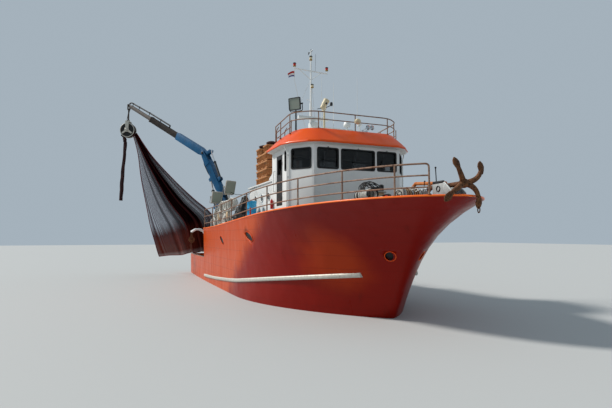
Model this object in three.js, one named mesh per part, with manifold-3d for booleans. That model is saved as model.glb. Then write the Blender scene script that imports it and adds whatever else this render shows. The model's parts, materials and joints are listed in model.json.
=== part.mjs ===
// A steel fishing boat afloat: flared bow, raised deck, wheelhouse, net crane with power block.
// Millimetres. +X points to the bow, +Y to port, +Z up. The origin is amidships at the waterline.
import * as THREE from "three";
import { mergeVertices } from "three/addons/utils/BufferGeometryUtils.js";
import Module from "manifold-3d";

const wasm = await Module();
wasm.setup();

const GAP = 0.3;

// Hull
const STERN_X = -12750;
const STEM_WATERLINE_X = 8700;
const STEM_TIP_X = 12150;
const KEEL_Z = -2300;
const KEEL_BAR_Z = -2420;
const KEEL_HALF = 90;
const TRANSOM_BOTTOM_Z = -350;
const HALF_BEAM_WATERLINE = 3300;
const HALF_BEAM_DECK = 3400;
const SHEER_AFT_Z = 3000;
const SHEER_BOW_Z = 3580;
const STEP_X = -6250;
const LOW_BULWARK_Z = 1350;
const WORK_DECK_Z = 450;
const RAISED_DECK_Z = 2960;
const FOREDECK_END_X = 10350;
const PLATE = 110;

// Wheelhouse
const HOUSE_FRONT_X = 6470;
const HOUSE_AFT_X = 3750;
const HOUSE_FRONT_HALF = 1750;
const HOUSE_HALF = 2411;
const HOUSE_CORNER_X = 5654;
const HOUSE_WALL = 60;
const ROOF_LOW_Z = 5850;
const ROOF_TOP_Z = 6500;
const WINDOW_LOW_Z = 4980;
const WINDOW_TOP_Z = 5710;
const HOUSE_FLOOR_Z = 3700;

// Aft deckhouse
const CABIN_AFT_X = -600;
const CABIN_HALF = 2150;
const CABIN_TOP_Z = 4900;

// Mast
const MAST_X = 1980;
const MAST_TOP_Z = 11000;

// Crane, worked out in its own plane: r outwards from the column, z up
const CRANE_X = -5300;
const CRANE_Y = -2500;
const CRANE_TURN = THREE.MathUtils.degToRad(213);
const CRANE_PIVOT_Z = 4950;
const CRANE_KNEE = [1500, 7500];
const CRANE_TIP = [9200, 11650];

// Stern gear
const SHAFT_Z = -1450;
const PROPELLER_X = -10550;
const PROPELLER_RADIUS = 750;
const RUDDER_X = -11450;

const group = new THREE.Group();

// Solids and booleans

function closed(geometry) {
  const bare = geometry.index ? geometry.toNonIndexed() : geometry.clone();
  bare.deleteAttribute("normal");
  bare.deleteAttribute("uv");
  const merged = mergeVertices(bare, 1e-3);
  const mesh = new wasm.Mesh({
    numProp: 3,
    vertProperties: merged.attributes.position.array,
    triVerts: new Uint32Array(merged.index.array),
  });
  return new wasm.Manifold(mesh);
}

function geometryOf(manifold) {
  const mesh = manifold.getMesh();
  const geometry = new THREE.BufferGeometry();
  geometry.setAttribute("position", new THREE.Float32BufferAttribute(mesh.vertProperties, 3));
  geometry.setIndex(new THREE.Uint32BufferAttribute(mesh.triVerts, 1));
  return geometry;
}

function join(...geometries) {
  return geometryOf(geometries.map(closed).reduce((whole, piece) => whole.add(piece)));
}

function cut(geometry, ...tools) {
  return geometryOf(tools.map(closed).reduce((whole, tool) => whole.subtract(tool), closed(geometry)));
}

// Plain shapes

function block(x0, x1, y0, y1, z0, z1) {
  const shape = new THREE.BoxGeometry(x1 - x0, y1 - y0, z1 - z0);
  return shape.translate((x0 + x1) / 2, (y0 + y1) / 2, (z0 + z1) / 2);
}

function vector([x, y, z]) {
  return new THREE.Vector3(x, y, z);
}

function bar(from, to, radius, sides = 8, endRadius = radius) {
  const a = vector(from);
  const b = vector(to);
  const along = b.clone().sub(a);
  const shape = new THREE.CylinderGeometry(endRadius, radius, along.length(), sides);
  shape.translate(0, along.length() / 2, 0);
  const up = new THREE.Vector3(0, 1, 0);
  shape.applyQuaternion(new THREE.Quaternion().setFromUnitVectors(up, along.normalize()));
  return shape.translate(a.x, a.y, a.z);
}

function ball(centre, radius, sides = 8) {
  return new THREE.SphereGeometry(radius, sides, Math.max(4, sides / 2)).translate(...centre);
}

// A pipe with mitred bends: each ring is the one before it, carried along the run to the next mitre
function bentPipe(points, radius, sides = 8) {
  const places = points.map(vector);
  const ways = places.slice(1).map((place, i) => place.clone().sub(places[i]).normalize());
  const aside = Math.abs(ways[0].z) < 0.9 ? vector([0, 0, 1]) : vector([1, 0, 0]);
  const u = new THREE.Vector3().crossVectors(ways[0], aside).normalize();
  const v = new THREE.Vector3().crossVectors(ways[0], u);
  const first = Array.from({ length: sides }, (_, k) => {
    const turn = (k / sides) * Math.PI * 2;
    const start = places[0].clone().addScaledVector(u, Math.cos(turn) * radius);
    return start.addScaledVector(v, Math.sin(turn) * radius);
  });
  const rings = [first];
  for (let i = 1; i < places.length; i += 1) {
    const way = ways[i - 1];
    const mitre = way.clone().add(ways[i] ?? way).normalize();
    rings.push(rings.at(-1).map((point) => {
      const reach = places[i].clone().sub(point).dot(mitre) / way.dot(mitre);
      return point.clone().addScaledVector(way, reach);
    }));
  }
  return loft(rings.map((ring) => ring.map((point) => point.toArray())));
}

function curvedPipe(points, radius, sides = 8, steps = points.length * 2) {
  const section = new THREE.Shape();
  section.absarc(0, 0, radius, 0, Math.PI * 2, false);
  return new THREE.ExtrudeGeometry(section, {
    steps,
    curveSegments: sides / 2,
    bevelEnabled: false,
    extrudePath: new THREE.CatmullRomCurve3(points.map(vector), false, "centripetal"),
  });
}

// An outline of [x, y] points raised from z0 to z1
function prism(outline, z0, z1) {
  const shape = new THREE.Shape(outline.map(([x, y]) => new THREE.Vector2(x, y)));
  return new THREE.ExtrudeGeometry(shape, { depth: z1 - z0, bevelEnabled: false }).translate(0, 0, z0);
}

// An outline of [x, z] points carried from y0 to y1
function sidePrism(outline, y0, y1) {
  const shape = new THREE.Shape(outline.map(([x, z]) => new THREE.Vector2(x, z)));
  const body = new THREE.ExtrudeGeometry(shape, { depth: y1 - y0, bevelEnabled: false });
  return body.rotateX(Math.PI / 2).translate(0, y1, 0);
}

// A profile of [radius, height] points turned about Z, with its foot at the place given
function turned(profile, sides, place = [0, 0, 0]) {
  const points = profile.map(([r, h]) => new THREE.Vector2(r, h));
  return new THREE.LatheGeometry(points, sides).rotateX(Math.PI / 2).translate(...place);
}

// Rings of points with equal counts, skinned and capped
function loft(rings) {
  const count = rings[0].length;
  const triangles = [];
  const quad = (a, b, c, d) => triangles.push(a, b, c, a, c, d);
  for (let r = 0; r + 1 < rings.length; r += 1) {
    for (let i = 0; i < count; i += 1) {
      const n = (i + 1) % count;
      quad(rings[r][i], rings[r][n], rings[r + 1][n], rings[r + 1][i]);
    }
  }
  for (const [ring, flip] of [[rings[0], true], [rings.at(-1), false]]) {
    for (let i = 1; i + 1 < count; i += 1) {
      triangles.push(ring[0], flip ? ring[i + 1] : ring[i], flip ? ring[i] : ring[i + 1]);
    }
  }
  return skin(triangles);
}

// Corner points three by three, turned so that the faces look outwards
function skin(corners) {
  let volume = 0;
  for (let i = 0; i < corners.length; i += 3) {
    const [a, b, c] = corners.slice(i, i + 3);
    volume += a[0] * (b[1] * c[2] - b[2] * c[1]) + a[1] * (b[2] * c[0] - b[0] * c[2]);
    volume += a[2] * (b[0] * c[1] - b[1] * c[0]);
  }
  const numbers = [];
  for (let i = 0; i < corners.length; i += 3) {
    const [a, b, c] = corners.slice(i, i + 3);
    numbers.push(...a, ...(volume > 0 ? b : c), ...(volume > 0 ? c : b));
  }
  const geometry = new THREE.BufferGeometry();
  geometry.setAttribute("position", new THREE.Float32BufferAttribute(numbers, 3));
  return geometry;
}

function add(name, geometry, color, roughness = 0.5, metalness = 0.1) {
  const material = new THREE.MeshStandardMaterial({ color, roughness, metalness });
  const mesh = new THREE.Mesh(geometry, material);
  mesh.name = name;
  group.add(mesh);
  return mesh;
}

const ORANGE = 0xc23a12;
const WHITE = 0xe4e4e0;
const RAIL = 0x8a6a55;
const BLUE = 0x0f4f80;
const STEEL = 0x55575a;
const RUST = 0x6e4326;
const BLACK = 0x16181a;

// Hull form

const mix = THREE.MathUtils.lerp;
const clamp = THREE.MathUtils.clamp;
const rad = THREE.MathUtils.degToRad;
const smooth = (t) => THREE.MathUtils.smoothstep(t, 0, 1);

function sheer(x) {
  return mix(SHEER_AFT_Z, SHEER_BOW_Z, smooth((x - STEP_X) / (STEM_TIP_X - STEP_X)));
}

function stemX(z) {
  const rise = z / SHEER_BOW_Z;
  const straight = 0.52 * z;
  const overhang = STEM_TIP_X - STEM_WATERLINE_X - 0.52 * SHEER_BOW_Z;
  return STEM_WATERLINE_X + straight + overhang * Math.max(rise, 0) ** 5;
}

// Half the breadth at a share of the height of the side, 0 at the waterline and 1 at the deck edge
function halfBreadth(share, x, noseX) {
  const entrance = mix(7300, 9400, share);
  const t = clamp((noseX - x) / entrance, 0, 1);
  const fullness = mix(0.88, 0.567, share ** 1.5);
  const forward = (1 - (1 - t) ** mix(2, 2.2, share)) ** fullness;
  const aft = clamp((-4000 - x) / 8750, 0, 1);
  return mix(HALF_BEAM_WATERLINE, HALF_BEAM_DECK, share) * forward * (1 - 0.06 * aft * aft);
}

function bottomZ(x) {
  return mix(KEEL_Z, TRANSOM_BOTTOM_Z, smooth((-3000 - x) / 9750));
}

const COLUMNS = 34;
const DEPTHS = [1, 0.97, 0.9, 0.8, 0.66, 0.5, 0.33, 0.16];
const HEIGHTS = [0, 0.12, 0.25, 0.38, 0.5, 0.62, 0.73, 0.83, 0.92, 1];

function columnShare(i) {
  const even = i / COLUMNS;
  return mix(even * even, even, 0.25 + 0.75 * even);
}

// One point of the starboard side: depth shares run below the waterline, height shares above it
function depthPoint(depth, i) {
  const noseX = STEM_WATERLINE_X - 2300 * depth ** 1.7;
  const x = mix(noseX, STERN_X, columnShare(i));
  const runAft = smooth((-2000 - x) / 10750);
  const entry = smooth((x + 500) / 9000);
  const power = mix(mix(2.8, 2.2, runAft), 1.35, entry);
  const bilge = mix(0.5, 0.85, entry);
  const y = halfBreadth(0, x, noseX) * (1 - depth ** power) ** bilge;
  const floor = i === 0 ? 0 : 60;
  return [x, -Math.max(y, floor), depth * bottomZ(x)];
}

function heightPoint(share, i) {
  const noseX = stemX(share * SHEER_BOW_Z);
  const x = mix(noseX, STERN_X, columnShare(i));
  return [x, -halfBreadth(share, x, noseX), share * sheer(x)];
}

function mirrored([x, y, z]) {
  return [x, -y, z];
}

function hullSkin() {
  const rows = [];
  for (const depth of DEPTHS) rows.push((i) => depthPoint(depth, i));
  for (const share of HEIGHTS) rows.push((i) => heightPoint(share, i));
  const starboard = rows.map((row) => Array.from({ length: COLUMNS + 1 }, (_, i) => row(i)));
  const port = starboard.map((row) => row.map(mirrored));
  const corners = [];
  const quad = (a, b, c, d) => corners.push(a, b, c, a, c, d);
  for (let r = 0; r + 1 < rows.length; r += 1) {
    for (let i = 0; i < COLUMNS; i += 1) {
      quad(starboard[r][i], starboard[r][i + 1], starboard[r + 1][i + 1], starboard[r + 1][i]);
      quad(port[r][i], port[r + 1][i], port[r + 1][i + 1], port[r][i + 1]);
    }
    quad(starboard[r][COLUMNS], port[r][COLUMNS], port[r + 1][COLUMNS], starboard[r + 1][COLUMNS]);
  }
  const keel = [starboard[0], port[0]];
  const deck = [starboard.at(-1), port.at(-1)];
  corners.push(keel[0][0], keel[1][1], keel[0][1]);
  corners.push(deck[0][0], deck[0][1], deck[1][1]);
  for (let i = 1; i < COLUMNS; i += 1) {
    quad(keel[0][i], keel[1][i], keel[1][i + 1], keel[0][i + 1]);
    quad(deck[0][i], deck[0][i + 1], deck[1][i + 1], deck[1][i]);
  }
  return skin(corners);
}

function sideHalfBreadth(x, z) {
  const share = z / sheer(x);
  return halfBreadth(share, x, stemX(share * SHEER_BOW_Z));
}

// The plan of a deck between two stations, drawn inside the plating at the deck's height
function deckPlan(z, fromX, toX, steps) {
  const side = [];
  for (let i = 0; i <= steps; i += 1) {
    const x = mix(fromX, toX, 1 - (1 - i / steps) ** 1.6);
    side.push([x, -(sideHalfBreadth(x, z) - PLATE)]);
  }
  return [...side, ...side.map(([x, y]) => [x, -y]).reverse()];
}

function ovalCutter(x, z, long, tall, tilt, side) {
  const shape = new THREE.CylinderGeometry(1, 1, 520, 20);
  shape.scale(long / 2, 1, tall / 2);
  shape.rotateY(tilt);
  return shape.translate(x, side * HALF_BEAM_DECK, z);
}

// Hawse recess and side openings: [x, z, length, height, tilt]
const SIDE_OPENINGS = [
  [-1100, 2370, 900, 300, 0.35],
  [3550, 2560, 800, 300, 0.35],
];
const HAWSE = { x: 9450, y: 640, z: 1980, radius: 150, depth: 260 };

function hull() {
  const cutters = [
    block(STERN_X - 500, STEP_X, -4500, 4500, LOW_BULWARK_Z, 4500),
    prism(deckPlan(WORK_DECK_Z, STERN_X + 150, STEP_X, 8), WORK_DECK_Z, 3000),
    block(STEP_X - 10, STEP_X + 2400, -1500, 1500, WORK_DECK_Z, 2650),
    prism(deckPlan(RAISED_DECK_Z, STEP_X + 90, FOREDECK_END_X, 22), RAISED_DECK_Z, 4200),
  ];
  for (const side of [-1, 1]) {
    for (const [x, z, long, tall, tilt] of SIDE_OPENINGS) {
      cutters.push(ovalCutter(x, z, long, tall, tilt, side));
    }
    const outside = [HAWSE.x + 500, side * (HAWSE.y + 620), HAWSE.z - 120];
    const inside = [HAWSE.x - HAWSE.depth * 0.6, side * (HAWSE.y - HAWSE.depth * 0.75), HAWSE.z + 40];
    cutters.push(bar(inside, outside, HAWSE.radius, 16));
  }
  const skeg = sidePrism([
    [6300, KEEL_BAR_Z],
    [6900, KEEL_Z + 350],
    [5200, KEEL_Z + 250],
    [-3000, KEEL_Z + 250],
    [-10100, -500],
    [-10100, KEEL_BAR_Z],
  ], -KEEL_HALF, KEEL_HALF);
  const sole = block(-12000, -10090, -KEEL_HALF, KEEL_HALF, KEEL_BAR_Z, KEEL_BAR_Z + 140);
  const boss = bar([-8600, 0, SHAFT_Z], [-10250, 0, SHAFT_Z], 210, 16, 165);
  return cut(join(hullSkin(), skeg, sole, boss), ...cutters);
}

add("hull", hull(), ORANGE, 0.3);

// Bars that follow the hull. Both are rings of four corners set square to the deck edge.

function edgePath(share, fromX, toX, steps) {
  const noseX = stemX(share * SHEER_BOW_Z);
  const path = [];
  for (let i = 0; i <= steps; i += 1) {
    const x = mix(fromX, Math.min(toX, noseX), 1 - (1 - i / steps) ** 2);
    path.push([x, -halfBreadth(share, x, noseX), 0]);
  }
  return path;
}

function gunwale() {
  const starboard = edgePath(1, STEP_X + 2, STEM_TIP_X, 34);
  const whole = [...starboard, ...starboard.slice(0, -1).map(mirrored).reverse()];
  const rings = whole.map(([x, y], i) => {
    const before = whole[Math.max(i - 1, 0)];
    const after = whole[Math.min(i + 1, whole.length - 1)];
    const run = new THREE.Vector2(after[0] - before[0], after[1] - before[1]).normalize();
    const corner = (out, up) => {
      const cx = x + run.y * out;
      return [cx, y - run.x * out, sheer(Math.min(cx, STEM_TIP_X)) + up];
    };
    return [corner(22, 0.6), corner(26, 34), corner(0, 52), corner(-50, 52), corner(-72, 0.6)];
  });
  return loft(rings);
}

add("gunwale", gunwale(), 0xe5661c, 0.35);

// Rub rail: falls from the bow towards the stern along the side
const RUB_RAIL = { foreX: 8500, aftX: -6000, foreZ: 1370, slope: 0.1, tall: 150, out: 70 };

function rubRailZ(x) {
  const ease = mix(1, 0.72, clamp((2000 - x) / 8000, 0, 1));
  return RUB_RAIL.foreZ - Math.max(0, RUB_RAIL.foreX - x) * RUB_RAIL.slope * ease;
}

function rubRail(side) {
  const rings = [];
  for (let i = 0; i <= 24; i += 1) {
    const x = mix(RUB_RAIL.foreX, RUB_RAIL.aftX, i / 24);
    const z = rubRailZ(x);
    const y = sideHalfBreadth(x, z);
    const half = RUB_RAIL.tall / 2;
    const section = [[-60, -half], [RUB_RAIL.out * 0.6, -half], [RUB_RAIL.out, -half * 0.5],
      [RUB_RAIL.out, half * 0.5], [RUB_RAIL.out * 0.6, half], [-60, half]];
    rings.push(section.map(([out, up]) => [x, side * (y + out), z + up]));
  }
  return loft(rings);
}

// The rail is trimmed by the hull it lies on, grown by the running gap
function trimmedRubRail(side) {
  const shell = hullSkin().scale(1, (HALF_BEAM_DECK + 1) / HALF_BEAM_DECK, 1);
  const rail = closed(rubRail(side)).subtract(closed(shell));
  const parts = rail.decompose().sort((a, b) => b.volume() - a.volume());
  return geometryOf(parts[0]);
}

add("rub_rail_starboard", trimmedRubRail(-1), 0xd5d5d0, 0.45);
add("rub_rail_port", trimmedRubRail(1), 0xd5d5d0, 0.45);

// Deck rails: three pipes on posts along the gunwale, lower toward the bow. The port rail ends abreast of
// the wheelhouse.
const RAIL_POSTS_X = { starboard: [-6100, -3650, -1450, 800, 3400, 5650, 7750, 9650, 11100, 11750],
  port: [-6100, -3650, -1450, 800, 3400] };
const RAIL_SHARES = [0.24, 0.62, 1];
const RAIL_AFT_HEIGHT = 1060;
const RAIL_FORE_HEIGHT = 790;
const POST_GAP = 1.7;
const RAIL_SIDES = 6;

function deckRail(side, posts) {
  const first = posts[0];
  const last = posts.at(-1);
  const edge = (x, up) => {
    const y = halfBreadth(1, x, STEM_TIP_X) - 40;
    return [x, side * y, sheer(x) + 52 + up];
  };
  const height = (x) => mix(RAIL_AFT_HEIGHT, RAIL_FORE_HEIGHT, (x + 6100) / 17850);
  const pieces = posts.map((x) => bar(edge(x, POST_GAP), edge(x, height(x)), 24, 5));
  for (const share of RAIL_SHARES) {
    const path = [];
    for (let i = 0; i <= 20; i += 1) {
      const x = mix(first, last, 1 - (1 - i / 20) ** 1.5);
      path.push(edge(x, share * height(x)));
    }
    pieces.push(curvedPipe(path, 21, RAIL_SIDES, posts.length * 2));
  }
  return join(...pieces);
}

add("deck_rail_starboard", deckRail(-1, RAIL_POSTS_X.starboard), RAIL, 0.5, 0.5);
add("deck_rail_port", deckRail(1, RAIL_POSTS_X.port), RAIL, 0.5, 0.5);

// Wheelhouse. Plan corners run round from the aft end of the starboard side.

function housePlan(grow, aft = HOUSE_AFT_X) {
  const slant = grow * 0.36;
  return [
    [aft, -HOUSE_HALF - grow],
    [HOUSE_CORNER_X + slant, -HOUSE_HALF - grow],
    [HOUSE_FRONT_X + grow, -HOUSE_FRONT_HALF - slant],
    [HOUSE_FRONT_X + grow, HOUSE_FRONT_HALF + slant],
    [HOUSE_CORNER_X + slant, HOUSE_HALF + grow],
    [aft, HOUSE_HALF + grow],
  ];
}

// Front windows: [centre y, width]
const FRONT_WINDOWS = [[-1210, 820], [0, 1370], [1210, 820]];
const CORNER_WINDOW = 810;
// Side openings: [x low, x high, z low, z high]
const SIDE_WINDOW = [5240, 5480, WINDOW_LOW_Z, WINDOW_TOP_Z];
const DOOR = { x0: 4300, x1: 4980, z0: 3720, z1: 5640, thick: 45 };
const AFT_WINDOWS = [-1500, 0, 1500];
const HINGE_RADIUS = 16;

function wheelhouse() {
  const cutters = [prism(housePlan(-HOUSE_WALL, HOUSE_AFT_X + HOUSE_WALL), HOUSE_FLOOR_Z, ROOF_LOW_Z + 10)];
  cutters.push(
    prism(housePlan(-HOUSE_WALL, HOUSE_AFT_X + HOUSE_WALL), RAISED_DECK_Z - 10, HOUSE_FLOOR_Z - 80));
  for (const [y, width] of FRONT_WINDOWS) {
    cutters.push(block(HOUSE_FRONT_X - 200, HOUSE_FRONT_X + 200, y - width / 2, y + width / 2,
      WINDOW_LOW_Z, WINDOW_TOP_Z));
  }
  for (const side of [-1, 1]) {
    const along = Math.atan2(HOUSE_FRONT_HALF - HOUSE_HALF, HOUSE_FRONT_X - HOUSE_CORNER_X);
    const pane = block(-CORNER_WINDOW / 2, CORNER_WINDOW / 2, -200, 200, WINDOW_LOW_Z, WINDOW_TOP_Z);
    pane.rotateZ(side * along);
    const middleY = side * (HOUSE_HALF + HOUSE_FRONT_HALF) / 2;
    cutters.push(pane.translate((HOUSE_FRONT_X + HOUSE_CORNER_X) / 2, middleY, 0));
    const wall = side * HOUSE_HALF;
    const [wx0, wx1, wz0, wz1] = SIDE_WINDOW;
    cutters.push(block(wx0, wx1, wall - 200, wall + 200, wz0, wz1));
    cutters.push(block(DOOR.x0, DOOR.x1, wall - 200, wall + 200, DOOR.z0, DOOR.z1));
  }
  for (const y of AFT_WINDOWS) {
    cutters.push(
      block(HOUSE_AFT_X - 200, HOUSE_AFT_X + 200, y - 400, y + 400, WINDOW_LOW_Z + 60, WINDOW_TOP_Z));
  }
  return cut(prism(housePlan(0), RAISED_DECK_Z + GAP, ROOF_LOW_Z - GAP), ...cutters);
}

add("wheelhouse", wheelhouse(), WHITE, 0.4);

// Glazing: one clear band lining the walls at window height, open at the aft end and the doors
function glazing() {
  const outer = prism(housePlan(-HOUSE_WALL - GAP, 5180), WINDOW_LOW_Z - 40, WINDOW_TOP_Z + 40);
  const inner = prism(housePlan(-HOUSE_WALL - GAP - 8, 5100), WINDOW_LOW_Z - 50, WINDOW_TOP_Z + 50);
  return cut(outer, inner);
}

add("wheelhouse_glazing", glazing(), 0x35444a, 0.05, 0);

function aftGlazing() {
  const x = HOUSE_AFT_X + HOUSE_WALL + GAP;
  return block(x, x + 8, -HOUSE_HALF + 200, HOUSE_HALF - 200, WINDOW_LOW_Z + 20, WINDOW_TOP_Z + 40);
}

add("wheelhouse_aft_glazing", aftGlazing(), 0x35444a, 0.05, 0);

// Doors fill their openings with a running gap of 6 and are hung at the forward edge
function houseDoor(side) {
  const wall = side * HOUSE_HALF;
  const inner = wall - side * (HOUSE_WALL - 5);
  const outer = wall - side * 5;
  const [y0, y1] = [Math.min(inner, outer), Math.max(inner, outer)];
  const leaf = block(DOOR.x0 + 6, DOOR.x1 - 6, y0, y1, DOOR.z0 + 6, DOOR.z1 - 6);
  const pane = block(DOOR.x0 + 130, DOOR.x1 - 130, y0 - 20, y1 + 20, 4900, 5480);
  const hingeY = wall + side * (HINGE_RADIUS + GAP);
  const hingeX = DOOR.x1 - 0.5;
  const hinge = (z) => bar([hingeX, hingeY, z - 60], [hingeX, hingeY, z + 60], HINGE_RADIUS, 12);
  const tab = (z) => {
    const [a, b] = [wall - side * 10, hingeY];
    return block(DOOR.x1 - 60, DOOR.x1 - 6, Math.min(a, b), Math.max(a, b), z - 50, z + 50);
  };
  const handle = bar([DOOR.x0 + 70, wall - side * 10, 4650], [DOOR.x0 + 70, wall + side * 60, 4650], 12);
  const grip = bar([DOOR.x0 + 70, wall + side * 55, 4650], [DOOR.x0 + 190, wall + side * 55, 4650], 12);
  return join(cut(leaf, pane), hinge(4000), hinge(5300), tab(4000), tab(5300), handle, grip);
}

add("wheelhouse_door_starboard", houseDoor(-1), 0xd9d9d4, 0.4);
add("wheelhouse_door_port", houseDoor(1), 0xd9d9d4, 0.4);

// Roof with its sloping fascia
function roofPlan(grow, aft) {
  const plan = housePlan(grow, aft);
  const rounded = [];
  for (let i = 0; i < plan.length; i += 1) {
    const here = new THREE.Vector2(...plan[i]);
    const before = new THREE.Vector2(...plan[(i + plan.length - 1) % plan.length]);
    const after = new THREE.Vector2(...plan[(i + 1) % plan.length]);
    for (const other of [before, after]) {
      const reach = Math.min(260, here.distanceTo(other) / 3);
      const point = here.clone().add(other.clone().sub(here).setLength(reach));
      rounded.push([point.x, point.y]);
    }
  }
  return rounded;
}

function roof() {
  const ring = (grow, aft, z) => roofPlan(grow, aft).map(([x, y]) => [x, y, z]);
  return loft([
    ring(170, HOUSE_AFT_X - 150, ROOF_LOW_Z),
    ring(270, HOUSE_AFT_X - 250, ROOF_LOW_Z + 30),
    ring(255, HOUSE_AFT_X - 245, ROOF_LOW_Z + 90),
    ring(-330, HOUSE_AFT_X - 150, ROOF_TOP_Z),
  ]);
}

add("wheelhouse_roof", roof(), 0xd8501a, 0.4);

// Rail round the flying bridge. Its side posts stand on the slope of the roof's edge.
const ROOF_RAIL = { aftX: 3690, cornerX: 5500, frontX: 6070, half: 2250, frontHalf: 1600, midZ: 6840, topZ: 7120 };
const ROOF_SLOPE_FOOT_Z = 6365;

function roofRail() {
  const { aftX, cornerX, frontX, half, frontHalf, midZ, topZ } = ROOF_RAIL;
  const plan = [[aftX, -half], [cornerX, -half], [frontX, -frontHalf], [frontX, frontHalf], [cornerX, half],
    [aftX, half]];
  const path = (z) => plan.map(([x, y]) => [x, y, z]);
  const pieces = [bentPipe(path(midZ), 18, RAIL_SIDES), bentPipe(path(topZ), 21, RAIL_SIDES)];
  const post = (x, y, foot) => pieces.push(bar([x, y, foot], [x, y, topZ], 22, RAIL_SIDES));
  for (const side of [-1, 1]) {
    for (const x of [aftX, 4300, 5350]) post(x, side * half, ROOF_SLOPE_FOOT_Z);
  }
  for (const y of [-1400, 100, 1500]) post(frontX, y, ROOF_TOP_Z + GAP);
  return join(...pieces);
}

add("roof_rail", roofRail(), RAIL, 0.5, 0.5);

// Helm inside the wheelhouse
function helmConsole() {
  const foot = HOUSE_FLOOR_Z + GAP;
  const desk = sidePrism([[5350, foot], [5950, foot], [5950, 4800], [5600, 4850], [5300, 4650]], -1500, 1500);
  const screen = [[5560, 4800], [5640, 4800], [5560, 5180], [5500, 5180]];
  const screens = [-900, 0, 900].map((y) => sidePrism(screen, y - 250, y + 250));
  return join(desk, ...screens);
}

add("helm_console", helmConsole(), 0x3a3b3c, 0.6);

function helmChair() {
  const pedestal = [[0, 0], [220, 0], [220, 30], [60, 50], [60, 560], [0, 560]];
  return join(
    turned(pedestal, 12, [4750, 0, HOUSE_FLOOR_Z + GAP]),
    block(4500, 5000, -250, 250, HOUSE_FLOOR_Z + 540, HOUSE_FLOOR_Z + 660),
    block(4470, 4580, -250, 250, HOUSE_FLOOR_Z + 600, HOUSE_FLOOR_Z + 1250),
  );
}

add("helm_chair", helmChair(), 0x2b2c2e, 0.7);

// Aft deckhouse, hollow, with a door in its aft wall
const CABIN_DOOR = { y0: -350, y1: 350, z0: 3160, z1: 4760 };

function deckhouse() {
  const x1 = HOUSE_AFT_X - GAP;
  const body = block(CABIN_AFT_X, x1, -CABIN_HALF, CABIN_HALF, RAISED_DECK_Z + GAP, CABIN_TOP_Z);
  const { y0, y1, z0, z1 } = CABIN_DOOR;
  const inside = CABIN_HALF - 70;
  const eaveHalf = CABIN_HALF + 60;
  const room = block(CABIN_AFT_X + 70, x1 - 70, -inside, inside, RAISED_DECK_Z + 80, CABIN_TOP_Z - 80);
  const door = block(CABIN_AFT_X - 50, CABIN_AFT_X + 150, y0, y1, z0, z1);
  const eave = block(CABIN_AFT_X - 120, x1, -eaveHalf, eaveHalf, CABIN_TOP_Z - 60, CABIN_TOP_Z);
  const ports = [];
  for (const side of [-1, 1]) {
    for (const x of [500, 1500, 2500]) {
      ports.push(bar([x, side * (CABIN_HALF - 200), 4250], [x, side * (CABIN_HALF + 200), 4250], 160, 16));
    }
  }
  return cut(join(body, eave), room, door, ...ports);
}

add("aft_deckhouse", deckhouse(), WHITE, 0.4);

// Mast on the deckhouse roof, with a crosstree for the lamps and a strut each side
function mast() {
  const foot = CABIN_TOP_Z + GAP;
  const crossZ = 10150;
  return join(
    turned([[0, 0], [240, 0], [240, 24], [90, 40], [0, 40]], 12, [MAST_X, 0, foot]),
    bar([MAST_X, 0, foot + 10], [MAST_X, 0, 8600], 75, 12, 60),
    bar([MAST_X, 0, 8590], [MAST_X, 0, MAST_TOP_Z - 350], 45, 10, 32),
    bar([MAST_X, -825, crossZ], [MAST_X, 825, crossZ], 30, 8),
    bar([MAST_X, 0, crossZ - 420], [MAST_X, -560, crossZ], 16, 6),
    bar([MAST_X, 0, crossZ - 420], [MAST_X, 560, crossZ], 16, 6),
    bar([MAST_X, -800, crossZ], [MAST_X, -800, crossZ + 110], 22, 8),
    bar([MAST_X, 800, crossZ], [MAST_X, 800, crossZ + 110], 22, 8),
    bar([MAST_X, -800, crossZ + 100], [MAST_X, -800, crossZ + 290], 75, 10),
    bar([MAST_X, 800, crossZ + 100], [MAST_X, 800, crossZ + 290], 75, 10),
    bar([MAST_X, 0, 9370], [MAST_X + 160, 0, 9370], 20, 6),
    bar([MAST_X + 160, 0, 9310], [MAST_X + 160, 0, 9490], 70, 10),
    bar([MAST_X, 0, MAST_TOP_Z - 360], [MAST_X, 0, MAST_TOP_Z - 130], 75, 10),
    bar([MAST_X, 0, MAST_TOP_Z - 140], [MAST_X, 0, MAST_TOP_Z + 190], 12, 6),
    bar([MAST_X - 190, 0, MAST_TOP_Z + 60], [MAST_X + 190, 0, MAST_TOP_Z + 60], 12, 6),
    block(MAST_X - 330, MAST_X - 180, -4, 4, MAST_TOP_Z + 10, MAST_TOP_Z + 140),
  );
}

add("mast", mast(), WHITE, 0.4);

// Stays from the mast to the deckhouse roof edge
function stay(side) {
  const top = [MAST_X - 60, side * 70, 9600];
  const foot = [CABIN_AFT_X + 260, side * 1500, CABIN_TOP_Z + 60];
  return join(
    bar(foot, top, 9, 6),
    block(foot[0] - 40, foot[0] + 40, foot[1] - 30, foot[1] + 30, CABIN_TOP_Z + GAP, CABIN_TOP_Z + 75),
  );
}

add("mast_stay_starboard", stay(-1), STEEL, 0.5, 0.6);
add("mast_stay_port", stay(1), STEEL, 0.5, 0.6);

// Radar: pedestal on the wheelhouse roof and an open scanner that turns on it
const RADAR = { x: 4500, y: -950, top: 7150 };

function radarPedestal() {
  const base = ROOF_TOP_Z + GAP;
  return join(
    turned([[0, 0], [170, 0], [170, 20], [70, 35], [60, 360], [0, 360]], 12, [RADAR.x, RADAR.y, base]),
    block(RADAR.x - 180, RADAR.x + 180, RADAR.y - 150, RADAR.y + 150, base + 340, RADAR.top - 60),
    bar([RADAR.x, RADAR.y, RADAR.top - 70], [RADAR.x, RADAR.y, RADAR.top], 90, 12, 75),
  );
}

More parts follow.
